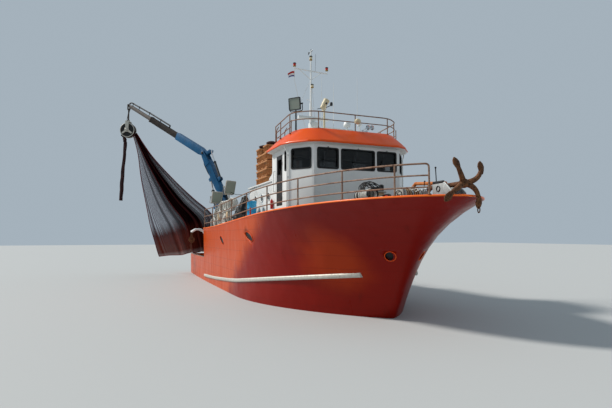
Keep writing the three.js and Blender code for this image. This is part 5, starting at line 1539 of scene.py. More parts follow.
@dataclass
class MastRig(Assembly):
    """The mast with its lamps, crosstree, vane, aerials, climbing rungs, stays and a small flag."""

    x: float = 1.98
    foot: float = HOUSE_TOP
    cross: float = 10.15

    def build(self) -> None:
        """Makes the mast and what it carries."""
        x, cross = self.x, self.cross
        pole = [turned([(0.24, 0), (0.24, 0.024), (0.1, 0.04), (0.075, 0.1), (0.06, 3.7), (0.045, 3.76),
                        (0.03, 6.2)], (x, 0, self.foot), sides=24)]
        pole += [self.gusset(a) for a in (0.8, 2.4, 4.0, 5.5)]
        pole.append(rod((x, -0.825, cross + 0.03), (x, 0.825, cross - 0.03), 0.028, 14))
        for side in (-1, 1):
            pole.append(rod((x, 0, cross - 0.42), (x, side * 0.56, cross), 0.015, 10))
            pole.append(rod((x, side * 0.8, cross - 0.03), (x, side * 0.8, cross + 0.11), 0.02, 12))
        rungs = [(-0.16 * (-1) ** i, 5.3 + 0.35 * i) for i in range(12)]
        pole += [bent([(x - 0.07, 0, z), (x - 0.07, y, z), (x - 0.02, y, z + 0.03)], 0.02, 0.009) for y,
                 z in rungs]
        pole.append(bent([(x, 0, 9.37), (x + 0.16, 0, 9.37), (x + 0.16, 0, 9.31)], 0.03, 0.016))
        pole.append(pipe([(x + 0.085, 0.02, 5.0 + 0.5 * i) for i in range(8)], 0.01))
        self.put(pole, "mast_pole", Finishes.WHITE_ENAMEL, replaces=("mast",))
        self.lamps()
        self.head()
        for side, word in ((-1, "starboard"), (1, "port")):
            foot, top = Vector((-0.34, side * 1.5, 4.96)), Vector((x - 0.06, side * 0.07, 9.6))
            way = (top - foot).normalized()
            wire = [rod(foot, top, 0.006, 8), rod(foot + way * 0.1, foot + way * 0.42, 0.015, 10),
                    rod(foot + way * 0.06, foot + way * 0.14, 0.024, 8),
                    eased(block((-0.38, foot.y - 0.03, HOUSE_TOP), (-0.3, foot.y + 0.03, 4.975)), 0.008)]
            self.put(wire, f"stay_wire_{word}", Finishes.GALVANISED, replaces=(f"mast_stay_{word}",))
        self.flag()

    def gusset(self, turn: float) -> Piece:
        """A triangular foot plate between the mast and its flange.

        Args:
            turn: the angle at which it stands, in radians.
        Returns:
            The plate.
        """
        c, s = cos(turn), sin(turn)
        outline = [(self.x + c * r + s * 0.005, s * r - c * 0.005, self.foot + z) for r,
                   z in ((0.07, 0.03), (0.2, 0.03), (0.07, 0.24))]
        return plate(outline, (-s * 0.01, c * 0.01, 0))

    def lamps(self) -> None:
        """Four lanterns with brass feet, coloured bodies and black tops."""
        x = self.x
        feet, bodies, tops = [], [], []
        for *place, low, t in ((x, -0.8, 10.25, 0.19), (x, 0.8, 10.25, 0.19), (x + 0.16, 0, 9.31, 0.18),
                               (x, 0, 10.64, 0.23)):
            for kind, share, profile in ((feet, 0, [(0.05, 0), (0.07, 0.015), (0.07, t * 0.2)]),
                                         (bodies, 0.2, [(0.06, 0), (0.064, t * 0.3), (0.06, t * 0.5)]),
                                         (tops, 0.7, [(0.072, 0), (0.074, t * 0.15), (0.05, t * 0.26),
                                                      (0.02, t * 0.3)])):
                kind.append(turned(profile, (*place, low + t * share), sides=20))
        self.put(feet, "lantern_feet", Finishes.BRONZE)
        self.put(bodies[:2], "side_lantern_bodies", Finishes.RED_ENAMEL)
        self.put(bodies[2:], "mast_lantern_bodies", Finishes.CREAM_ENAMEL)
        self.put(tops, "lantern_tops", Finishes.BLACK_ENAMEL)

    def head(self) -> None:
        """The masthead rod with its wind vane and thin aerials."""
        x = self.x
        vane = plate([(x - 0.33, -0.003, 11.01), (x - 0.19, -0.003, 11.04), (x - 0.17, -0.003, 11.1),
                      (x - 0.31, -0.003, 11.15)], (0, 0.006, 0))
        arrow = rod((x + 0.13, 0, 11.06), (x + 0.19, 0, 11.06), 0.03, 12, 0.002)
        pieces = [rod((x, 0, 10.86), (x, 0, 11.18), 0.009, 10),
                  rod((x - 0.2, 0, 11.06), (x + 0.14, 0, 11.06), 0.008, 10), vane, arrow,
                  rod((x, 0.22, 10.16), (x, 0.24, 10.98), 0.006, 8)]
        self.put(pieces, "wind_vane", Finishes.BLACK_ENAMEL)

    def flag(self) -> None:
        """A small flag of three plain bands on a thin halyard below the crosstree's starboard end."""
        x, y = self.x, -0.81
        long, tall = 14, 8
        spots = [(i / long, j / tall) for i in range(long + 1) for j in range(tall + 1)]
        points = [(x + 0.045 * sin(u * 7 + v * 1.3) * u, y - 0.34 * u * (1 - 0.15 * v),
                   10.04 - 0.26 * v * (1 - 0.3 * u) - 0.18 * u * u) for u, v in spots]
        starts = [i * (tall + 1) + j for i in range(long) for j in range(tall)]
        mesh = bpy.data.meshes.new("flag")
        mesh.from_pydata(points, [], [(a, a + 1, a + tall + 2, a + tall + 1) for a in starts])
        for n, code in enumerate(("#B0201C", "#D9D6D2", "#3B3A7A")):
            cloth = Finish(f"flag_bunting_{n}", "seat_cloth", code, code, roughness=0.85, grain=2)
            mesh.materials.append(cloth.material())
        for polygon in mesh.polygons:
            polygon.material_index = min(2, (polygon.index % tall) * 3 // tall)
        flag = smooth(stood("flag", mesh), 80)
        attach(flag, "boat")
        halyard = pipe([(x, y, 10.13), (x, y + 0.005, 9.6), (x - 0.02, -0.2, 7.2), (x - 0.08, -0.06, 6.0)],
                       0.004, sides=6)
        halyard = self.put([halyard], "flag_halyard", Finishes.ROPE)


@dataclass
class Deckhouse(Assembly):
    """The low house aft of the wheelhouse: portholes, door, ladder, vents, the boxes on top and the drum."""

    portholes: tuple[float, ...] = (0.5, 1.5, 2.5)
    half: float = 2.15
    porthole_z: float = 4.25
    box_x: float = 0.35
    box_y: Pair = (-2.12, -1.32)
    box_size: Pair = (0.558, 0.345)
    columns: tuple[int, ...] = (5, 4, 5)
    barrel: Pair = (1.5, -2.64)

    def build(self) -> None:
        """Makes the house and what stands on and beside it."""
        self.renew("aft_deckhouse", Finishes.WHITE_ENAMEL, bevel=0.012)
        rims, panes = [], []
        z = self.porthole_z
        for side, x in ((side, x) for side in (-1, 1) for x in self.portholes):
            y, out = side * self.half, (0, side, 0)
            rims.append(ring((x, y + side * 0.006, z), out, 0.172, 0.02, 32))
            rims += bolts([(x + 0.2 * cos(a), y, z + 0.2 * sin(a)) for a in (0.4, 1.4, 2.5, 3.5, 4.6, 5.7)],
                          out, 0.011)
            panes.append(rod((x, y - side * 0.045, z), (x, y - side * 0.035, z), 0.159, 32))
        self.put(rims, "porthole_rims", Finishes.WHITE_ENAMEL)
        WINDOW_GLASS.glaze(panes, "porthole_glass", "boat")
        self.renew("deckhouse_door", Finishes.WHITE_ENAMEL, bevel=0.008)
        self.renew("roof_ladder", Finishes.WHITE_ENAMEL, bevel=0.003, segments=1)
        mushroom = [(0.14, 0), (0.14, 0.02), (0.1, 0.03), (0.1, 0.42), (0.2, 0.46), (0.21, 0.52), (0.15, 0.58),
                    (0.03, 0.6)]
        vents = [turned(mushroom, (x, y, HOUSE_TOP), sides=28) for x, y in ((3.0, 1.3), (0.2, 1.5))]
        vents.append(bent([(2.9, -1.0, HOUSE_TOP), (2.9, -1.0, 6.0), (2.72, -1.0, 6.15)], 0.12, 0.055,
                          sides=14))
        self.put(vents, "roof_vents", Finishes.WHITE_ENAMEL)
        self.boxes()
        self.drum()

    def boxes(self) -> None:
        """Stacks of fish boxes: one box is modelled with its lip and ribs, and copied."""
        (y0, y1), (wide, tall) = self.box_y, self.box_size
        parts = [eased(block((0.05, y0 + 0.05, 0.004), (wide - 0.05, y1 - 0.05, tall - 0.03)), 0.014),
                 eased(block((0, y0, tall - 0.1), (wide, y1, tall - 0.03)), 0.012)]
        parts += [eased(block((x - 0.014, y0 + 0.006, 0.05), (x + 0.014, y1 - 0.006, tall - 0.05)), 0.004, 1)
                  for x in (0.1 + k * (wide - 0.2) / 2 for k in range(3))]
        parts += [eased(block((0.006, y - 0.014, 0.05), (wide - 0.006, y + 0.014, tall - 0.05)), 0.004, 1)
                  for y in (y0 + 0.1 + k * (y1 - y0 - 0.2) / 3 for k in range(4))]
        box = joined(parts, "box")
        made, hole_shades = [], []
        for column, level in ((c, n) for c, count in enumerate(self.columns) for n in range(count)):
            x, z = self.box_x + column * wide, HOUSE_TOP + level * tall
            shift = 0.006 * sin(column * 5 + level * 2.3)
            made.append(copied(box, (x + shift, shift * 1.5, z)))
            # Thin black slabs in the hand holes: painted shade for their dark openings
            hole_shades += [eased(block((x + low, y - 0.004, z + 0.16), (x + high, y + 0.004, z + 0.225)), 0.003, 1)
                      for y in (y0 + 0.048, y1 - 0.048) for low, high in ((0.13, 0.26), (0.3, 0.43))]
        cleared(box)
        self.put(made, "stacked_fish_boxes", Finishes.BOX_PLASTIC, replaces=("fish_boxes",))
        self.put(hole_shades, "fish_box_hand_holes", Finishes.RUBBER)
        gear = [heap((self.box_x + 0.28, -1.72, 6.72), (0.24, 0.34, 0.1)),
                heap((1.75, -1.75, 6.7), (0.2, 0.3, 0.09))]
        self.put(gear, "gear_on_the_boxes", Finishes.DARK_ROPE)

    def drum(self) -> None:
        """The blue drum with its bands and lid, on a low stand."""
        x, y = self.barrel
        low = MAIN_DECK
        body = turned([(0.2, 0), (0.226, 0.03), (0.228, 0.29), (0.24, 0.31), (0.24, 0.33), (0.228, 0.35),
                       (0.228, 0.59), (0.24, 0.61), (0.24, 0.63), (0.228, 0.65), (0.228, 0.88), (0.236, 0.9),
                       (0.236, 0.94), (0.2, 0.95), (0.195, 0.93), (0.05, 0.93)], (x, y, low + 0.2), sides=40)
        plug = turned([(0.035, 0), (0.035, 0.02), (0.02, 0.024)], (x + 0.1, y, low + 1.125), sides=16)
        self.put([body, plug], "blue_drum", Finishes.DRUM_PLASTIC, replaces=("barrel",))
        stand = [eased(block((x - 0.17, y + dy - 0.17, low), (x + 0.17, y + dy - 0.1, low + 0.2)), 0.008)
                 for dy in (0, 0.13, 0.26)]
        self.put(stand, "drum_stand", Finishes.BOX_PLASTIC)


@dataclass
class ForedeckGear(Assembly):
    """Bitts, windlass, rope drum, bent pipe, stem roller, grapnel and hoses on the foredeck."""

    deck: float = MAIN_DECK
    windlass: Pair = (9.65, 3.78)
    drum: Pair = (8.3, -0.35)
    line_turns: int = 25
    roller_x: float = 11.9
    crown_x: float = 12.05
    tail_x: float = 10.7
    shank_height: float = 0.3403
    arms: tuple[Pair, ...] = ((-0.62, -0.4), (0.34, -0.54), (-0.35, 0.52), (0.43, 0.46))

    def build(self) -> None:
        """Makes the foredeck's gear."""
        for side, word in ((-1, "starboard"), (1, "port")):
            self.bitts(side, word)
        self.winding_gear()
        self.rope_store()
        self.pipe_davit()
        self.roller()
        self.grapnel()
        self.hoses()

    def bitts(self, side: int, word: str) -> None:
        """Twin bitts on a base plate, with turns of line.

        Args:
            side: -1 to starboard, 1 to port.
            word: the side's name.
        """
        x, y, low = 8.35, side * 1.5, self.deck
        pieces = [eased(block((x - 0.38, y - 0.15, low), (x + 0.38, y + 0.15, low + 0.025)), 0.008)]
        profile = [(0.1, 0), (0.085, 0.02), (0.085, 0.41), (0.104, 0.435), (0.106, 0.475), (0.09, 0.488)]
        pieces += [turned(profile, (x + dx, y, low + 0.024), sides=28) for dx in (-0.21, 0.21)]
        self.put(pieces, f"bitts_{word}_posts", Finishes.BLACK_ENAMEL, replaces=(f"bitts_{word}",))
        turns = [2 * pi * i / 40 for i in range(40)]
        line = [pipe([(x + 0.32 * cos(a) * (1 - 0.08 * cos(2 * a)), y + 0.114 * sin(2 * a),
                       low + 0.1 + 0.05 * turn + 0.016 * sin(a)) for a in turns], 0.021, closed=True, sides=8)
                for turn in range(4)]
        self.put(line, f"bitts_{word}_line", Finishes.ROPE)

    def winding_gear(self) -> None:
        """The windlass: its frame, motor and brake, and the drum wound with striped line."""
        x, z = self.windlass
        self.renew("windlass_frame", Finishes.GREY_ENAMEL, bevel=0.014, segments=3)
        hub = (x, -0.375, z)
        extras = [ring(hub, PORT, 0.16, 0.013), rod((x, -0.345, z), (x, -0.4, z), 0.04, 14)]
        extras += [rod(hub, spot, 0.009, 8) for spot in around(hub, 0.16, (0.3, 2.4, 4.5), False)]
        extras.append(turned([(0.1, 0), (0.11, 0.02), (0.11, 0.16), (0.07, 0.19)], (x, 0.6, z), PORT, 24))
        extras += [bent([(x + 0.04 * k, 0.72, z + 0.09), (x - 0.1 + 0.04 * k, 0.8, z + 0.3),
                         (x - 0.5, 0.86, z - 0.1), (x - 0.7, 0.9, self.deck + 0.02)], 0.15, 0.014)
                   for k in (-1, 1)]
        extras.append(rod((x + 0.1, 0.45, z + 0.15), (x + 0.2, 0.42, z + 0.42), 0.011))
        extras.append(ball((x + 0.205, 0.418, z + 0.44), 0.026, 8))
        self.put(extras, "windlass_brake_and_motor", Finishes.BLACK_ENAMEL)
        # One half of the drum, from its end to the flange in the middle; the other half mirrors it
        half = [(0.25, 0.2747), (0.25, 0.25), (0.16, 0.24), (0.15, 0.03), (0.24, 0.02)]
        profile = [(r, -y) for r, y in half] + half[::-1]
        self.put([turned(profile, (x, 0, z), PORT, 32)], "windlass_barrel", Finishes.GALVANISED, "windlass",
                 ("windlass_drum",))
        pale, dark = [], []
        for side in (-1, 1):
            for k in range(6):
                y = side * (0.045 + 0.036 * k)
                upper, lower = (pale, dark) if k % 2 else (dark, pale)
                upper.append(ring((x, y, z), PORT, 0.205 + 0.008 * (k % 3), 0.02, 24))
                lower.append(ring((x, y + 0.01, z), PORT, 0.168, 0.018, 20))
        self.put(pale, "windlass_line_pale", Finishes.ROPE, "windlass")
        self.put(dark, "windlass_line_dark", Finishes.RUSTED_IRON, "windlass", slot="rope")

    def rope_store(self) -> None:
        """The upright drum of line, hanks hung on its rail, and cloth pushed against it."""
        x, y = self.drum
        low = self.deck
        pieces = [turned(profile, (x, y, low), sides=36)
                  for profile in ([(0.33, 0), (0.33, 0.03), (0.27, 0.035)],
                                  [(0.27, 1.005), (0.33, 1.01), (0.33, 1.05), (0.25, 1.08), (0.06, 1.08)])]
        self.put(pieces, "rope_drum_flanges", Finishes.GREY_ENAMEL)
        last = self.line_turns * 20
        spiral = [p + Vector((0, 0, 0.93 * i / last)) for i,
                  p in enumerate(around((x, y, low + 0.055), 0.272, [pi * i / 10 for i in range(last + 1)]))]
        wound = [pipe(spiral, 0.0195, sides=8), rod((x, y, low + 0.03), (x, y, low + 1.01), 0.262, 32)]
        self.put(wound, "rope_drum_line", Finishes.ROPE, replaces=("rope_drum",))
        cloth = [heap((8.75, -0.5, 3.76), (0.2, 0.2, 0.07), 0.12),
                 heap((x - 0.3, y + 0.42, low + 0.82), (0.26, 0.22, 0.1), 0.18)]
        self.put(cloth, "folded_cloths_fore", Finishes.PALE_CLOTH)
        hanks = [ring((7.98 + 0.062 * k, -0.8 + 0.03 * sin(k * 2.3), 3.88), (1, 0.12 * sin(k * 1.7), 0),
                      0.15 + 0.02 * sin(k * 3.1), 0.026, 20) for k in range(16)]
        self.put([hank for k, hank in enumerate(hanks) if k % 3], "pale_line_hanks", Finishes.PALE_HOSE)
        self.put(hanks[::3], "dark_line_hanks", Finishes.RUBBER)
        lockers = [eased(block(*ends), 0.02) for ends in (((8.52, -0.72, low), (8.98, -0.28, 3.7)),
                                                          ((x - 0.46, y + 0.22, low),
                                                           (x - 0.06, y + 0.62, 3.7)))]
        self.put(lockers, "foredeck_lockers", Finishes.BLACK_ENAMEL)

    def pipe_davit(self) -> None:
        """The bent pipe over the windlass with its flange, clamps and fore leg."""
        self.renew("foredeck_pipe", Finishes.ORANGE_RUST, bevel=0.006)
        clamps = [ring((8.65, 0.56, z), UP, 0.06, 0.014, 20) for z in (3.3, 3.7)]
        clamps += bolts([(8.65 + dx, 0.56 + dy, 2.99) for dx in (-0.1, 0.1) for dy in (-0.1, 0.1)], UP, 0.014)
        self.put(clamps, "foredeck_pipe_clamps", Finishes.RUSTED_IRON)

    def roller(self) -> None:
        """The stem roller in its pale cheeks, with a black grip and a locking rod."""
        self.renew("stem_roller", Finishes.GALVANISED, bevel=0.02, segments=3)
        base = HULL.sheer(self.roller_x) + 0.0003
        bosses = [ring((11.3, y, base + 0.26), PORT, 0.07, 0.014) for y in (-0.216, 0.216)]
        bosses += bolts([(x, y, base + 0.07) for x in (11.15, 11.4, 11.65) for y in (-0.21, 0.21)], UP, 0.014)
        self.put(bosses, "stem_roller_bosses", Finishes.BLACK_ENAMEL)
        cap = [eased(block((11.06, -0.225, base + 0.4), (11.5, -0.15, base + 0.47)), 0.02, 3),
               rod((11.2, -0.19, base + 0.44), (11.2, -0.21, base + 0.82), 0.014),
               ball((11.2, -0.211, base + 0.84), 0.028, 8)]
        self.put(cap, "roller_grip", Finishes.BLACK_ENAMEL)

    def grapnel(self) -> None:
        """The four-armed anchor: curved tapering arms with leaf-shaped flukes, its ring and its chain."""
        z = HULL.sheer(self.roller_x) + self.shank_height
        crown, tail = Vector((self.crown_x, 0, z)), Vector((self.tail_x, 0, z))
        pieces = [ball(crown, (0.14, 0.125, 0.125), 12), rod(crown, tail, 0.068, 20, 0.058),
                  ring((self.tail_x - 0.06, 0, z), PORT, 0.09, 0.018)]
        half_leaf = [(-0.24, 0.03), (-0.14, 0.075), (-0.03, 0.1), (0.06, 0.07)]
        leaf = [*half_leaf, (0.125, 0.0), *[(u, -v) for u, v in half_leaf[::-1]]]
        for dy, dz in self.arms:
            bend = 1.0 if dy > 0 else 0.72
            elbow = crown + Vector((0.2, dy * bend, dz * (1.15 - bend)))
            tip = crown + Vector((0.13, dy, dz))
            path = [crown.lerp(elbow, k / 10).lerp(elbow.lerp(tip, k / 10), k / 10) for k in range(11)]
            pieces.append(pipe(path, 0.07, sides=14, radii=[1.15 - 0.05 * k for k in range(11)]))
            way = (tip - elbow).normalized()
            side = way.cross(Vector(BOW)).normalized()
            normal = way.cross(side)
            outline = [tip + way * u + side * v - normal * 0.018 for u, v in leaf]
            pieces.append(eased(plate(outline, normal * 0.04), 0.015, 3, 20))
        pieces.append(ring((self.crown_x + 0.11, 0.36, z - 0.67), (0.4, 1, 0), 0.075, 0.014))
        self.put(pieces, "grapnel_anchor", Finishes.RUSTED_IRON, replaces=("anchor",))
        links = []
        start, end = Vector((self.tail_x - 0.15, 0, z)), Vector((9.72, 0.0, 4.06))
        for k in range(9):
            share = (k + 0.5) / 9
            link = ring((0, 0, 0), PORT if k % 2 else UP, 0.042, 0.011, 16)
            link.scale = (1.5, 1, 1)
            link.location = start.lerp(end, share) - Vector((0, 0, 0.09 * sin(pi * share)))
            links.append(settle(link))
        self.put(links, "anchor_chain", Finishes.GALVANISED)

    def hoses(self) -> None:
        """Loops of black hydraulic hose over the drum's cap, and small things lashed beside it."""
        pieces = []
        for k in range(7):
            x, y = 8.12 + 0.055 * k, -0.7 + 0.03 * (k % 3)
            tall = 4.3 + 0.05 * sin(k * 2.1)
            pieces.append(bent([(x, y - 0.16, 4.0), (x - 0.08, y - 0.14, tall - 0.1), (x + 0.03 * k, y, tall),
                                (x + 0.05 * k, y + 0.18, tall - 0.12), (x + 0.07 * k, y + 0.24, 4.05)], 0.14,
                               0.015))
        pieces += [coil(*row) for row in (((8.32, -0.36, 4.08), (0.05, 0.05, 1), 0.24, 0.019, 4),
                                          ((8.9, -0.36, 3.76), (0.3, -0.6, 1), 0.17, 0.018, 4),
                                          ((7.6, 0.9, 3.03), UP, 0.3, 0.02, 4))]
        pieces.append(turned([(0.06, 0), (0.08, 0.03), (0.08, 0.17), (0.04, 0.2)], (8.42, -0.22, 4.04),
                             sides=20))
        pieces.append(rod((8.22, -0.8, self.deck), (8.22, -0.8, 4.06), 0.024))
        self.put(pieces, "foredeck_hoses", Finishes.RUBBER)
        mark = turned([(0.05, 0), (0.055, 0.03), (0.05, 0.1), (0.02, 0.12)], (9.05, -0.42, 3.72), sides=16)
        self.put([mark], "foredeck_lamp_red", Finishes.RED_ENAMEL)


@dataclass
class MidshipGear(Assembly):
    """The winch, the hatch, and the hoses, coils and folded cloths along the starboard rail."""

    deck: float = MAIN_DECK
    winch: Pair = (-2.15, 3.56)
    wire_turns: int = 46
    rail_y: float = -3.12

    def build(self) -> None:
        """Makes the gear amidships."""
        self.renew("hatch_coaming", Finishes.WHITE_ENAMEL, bevel=0.014)
        self.renew("hatch_lid", Finishes.GREY_ENAMEL, bevel=0.012, segments=3)
        dogs = []
        for x in (-4.1, -3.7, -3.3):
            dogs.append(eased(block((x - 0.02, -0.76, 3.2), (x + 0.02, -0.7, 3.31)), 0.005))
            dogs.append(rod((x - 0.07, -0.745, 3.24), (x + 0.07, -0.745, 3.24), 0.01))
        self.put(dogs, "hatch_dogs", Finishes.GALVANISED)
        self.winches()
        self.clutter()

    def winches(self) -> None:
        """The winch's standards, motor and brake, and its two drums wound with wire."""
        x, z = self.winch
        self.renew("winch_frame", Finishes.WHITE_ENAMEL, bevel=0.014, segments=3)
        motor = [turned([(0.12, 0), (0.14, 0.03), (0.14, 0.2), (0.09, 0.24)], (x - 0.2, 1.7, z), (-1, 0, 0),
                        28), bent([(x - 0.3, 1.7, z + 0.1), (x - 0.5, 1.75, z + 0.1), (x - 0.6, 1.85, 3.1),
                                   (x - 0.9, 2.2, 2.99)], 0.2, 0.016)]
        self.put(motor, "winch_motor", Finishes.BLACK_ENAMEL)
        hub = (x, -1.61, z)
        brake = [ring(hub, PORT, 0.19, 0.014)] + [rod(hub, spot, 0.01, 8)
                                                  for spot in around(hub, 0.19, (0.5, 2.6, 4.7), False)]
        self.put(brake, "winch_brake_wheel", Finishes.RED_ENAMEL)
        for y0, y1, word in ((-1.4547, -0.0453, "starboard"), (0.0453, 1.4547, "port")):
            profile = [(0.33, y0), (0.33, y0 + 0.03), (0.2, y0 + 0.035), (0.2, y1 - 0.035), (0.33, y1 - 0.03),
                       (0.33, y1)]
            self.put([turned(profile, (x, 0, z), PORT, 36)], f"winch_barrel_{word}", Finishes.GREY_ENAMEL,
                     f"winch_{word}", (f"winch_drum_{word}",))
            last = self.wire_turns * 16
            wire = [(p.x, y0 + 0.055 + (y1 - y0 - 0.11) * i / last, p.z) for i,
                    p in enumerate(around((x, 0, z), 0.226, [pi * i / 8 for i in range(last + 1)], False))]
            self.put([pipe(wire, 0.0145, sides=6)], f"winch_wire_{word}", Finishes.BARE_STEEL, f"winch_{word}")

    def clutter(self) -> None:
        """Coils of hose and line, folded cloths and net bags along the starboard rail."""
        y, low = self.rail_y, self.deck
        pale = [coil(*row) for row in (((-4.35, y + 0.2, 3.75), (0.2, -1, 0.1), 0.3, 0.024, 6, 1.1),
                                       ((-2.5, y + 0.25, 3.6), (0.1, -1, 0.1), 0.26, 0.022, 5, 1.2),
                                       ((-1.9, y + 0.3, 3.12), (0, 0.1, 1), 0.34, 0.026, 5),
                                       ((0.15, y + 0.3, 3.1), (0, 0.1, 1), 0.24, 0.022, 5),
                                       ((2.6, -2.85, 3.05), UP, 0.2, 0.024, 4))]
        pale += [bent([(-4.7 - 0.1 * k, -2.95, 3.0), (-4.65, -3.0, 3.9 - 0.1 * k),
                       (-4.1, -2.98, 4.0 - 0.12 * k), (-3.7, -2.9, 3.4), (-3.3 + 0.1 * k, -2.8, 3.02)], 0.3,
                      0.022) for k in range(3)]
        self.put(pale, "pale_hose_coils", Finishes.PALE_HOSE)
        cloth = [heap(*row) for row in (((-4.0, -2.72, 3.25), (0.34, 0.26, 0.34), 0.2),
                                        ((-3.2, -2.75, 3.2), (0.36, 0.28, 0.3), 0.22),
                                        ((-2.9, -2.95, 3.75), (0.16, 0.12, 0.36), 0.15),
                                        ((-5.95, -2.7, 3.3), (0.2, 0.35, 0.42), 0.22),
                                        ((-1.0, -2.75, 3.2), (0.26, 0.24, 0.28), 0.2))]
        cloth += [heap((-4.75 + 0.62 * k, -2.96 + 0.06 * (k % 2), 3.3 + 0.16 * (k % 3)), (0.2, 0.13, 0.36),
                       0.18) for k in range(5)]
        self.put(cloth, "folded_cloths_amidships", Finishes.PALE_CLOTH)
        bags = [heap(spot, size, lumps, 0.4) for spot, size,
                lumps in (((-0.2, -2.72, 3.42), (0.42, 0.3, 0.52), 0.2),
                          ((0.72, -2.74, 3.62), (0.36, 0.3, 0.72), 0.18),
                          ((-2.0, -2.6, 3.26), (0.36, 0.26, 0.34), 0.2))]
        self.put(bags, "net_bags_amidships", Finishes.RUBBER, slot="net")
        rack = [bent([(-3.75, -2.88, low), (-3.75, -2.88, 4.36), (-0.35, -2.88, 4.4), (-0.35, -2.88, low)], 0.1,
                     0.022), rod((-2.1, -2.88, low), (-2.1, -2.88, 4.38), 0.02)]
        self.put(rack, "hose_rack", Finishes.GALVANISED)
        hung = [coil((-3.45 + 0.52 * k, -2.93, 4.05 + 0.05 * (k % 2)), (0.25, -1, 0.05), 0.22 + 0.03 * (k % 3),
                     0.024, 6, 1.1) for k in range(6)]
        hung += [bent([(-3.2 + 0.9 * k, -2.9, 4.4), (-3.1 + 0.9 * k, -2.97, 4.2), (-2.9 + 0.9 * k, -2.96, 3.4),
                       (-2.7 + 0.9 * k, -2.85, 3.0)], 0.2, 0.02) for k in range(3)]
        self.put(hung, "hung_hose_coils", Finishes.PALE_HOSE)
        sacking = [heap((-3.55, -3.0, 3.62), (0.2, 0.11, 0.3), 0.14),
                   heap((-1.6, -2.98, 3.64), (0.17, 0.1, 0.28), 0.14),
                   coil((-3.05, -2.6, 3.55), (0, 0.2, 1), 0.24, 0.026, 4)]
        self.put(sacking, "tan_ropes_and_sacking", Finishes.ROPE)
        self.put([rod((2.3, -2.9, low), (2.3, -2.9, 3.75), 0.03, 14), ball((2.3, -2.9, 3.75), 0.032, 8)],
                 "red_post", Finishes.RED_ENAMEL)
        self.put([bent([(-1.4, -2.9, 4.75), (-1.0, -2.8, 4.6), (0.2, -2.4, 4.5), (0.6, -2.2, 4.86)], 0.3,
                       0.011)], "lamp_cable", Finishes.RUBBER)


@dataclass(frozen=True)
class CraneForm:
    """Where the crane's parts lie: reach and height from its foot turned into the boat's frame."""

    foot: Pair = (-5.3, -2.5)
    turn: float = radians(213)
    pivot: Pair = (0.0, 4.95)
    knee: Pair = (1.5, 7.5)
    tip: Pair = (9.2, 11.65)

    def at(self, reach: float, side: float, z: float) -> Point:
        """A point given by its reach, its distance to the left of the boom's plane, and its height."""
        c, s = cos(self.turn), sin(self.turn)
        return (self.foot[0] + reach * c - side * s, self.foot[1] + reach * s + side * c, z)

    def on_main(self, x: float, y: float, z: float) -> Point:
        """A point in the main boom's own axes."""
        return self.along(self.pivot, self.knee, x, y, z)

    def on_outer(self, x: float, y: float, z: float) -> Point:
        """A point in the outer boom's own axes."""
        return self.along(self.knee, self.tip, x, y, z)

    def along(self, start: Pair, end: Pair, x: float, y: float, z: float) -> Point:
        """A point in the axes of a line in the boom's plane.

        Args:
            start: the line's start, as reach and height.
            end: its end.
            x: the distance along the line.
            y: the distance to the left of the boom's plane.
            z: the distance above the line.
        Returns:
            The point in the boat's frame.
        """
        angle = atan2(end[1] - start[1], end[0] - start[0])
        c, s = cos(angle), sin(angle)
        return self.at(start[0] + x * c - z * s, y, start[1] + x * s + z * c)


CRANE = CraneForm()


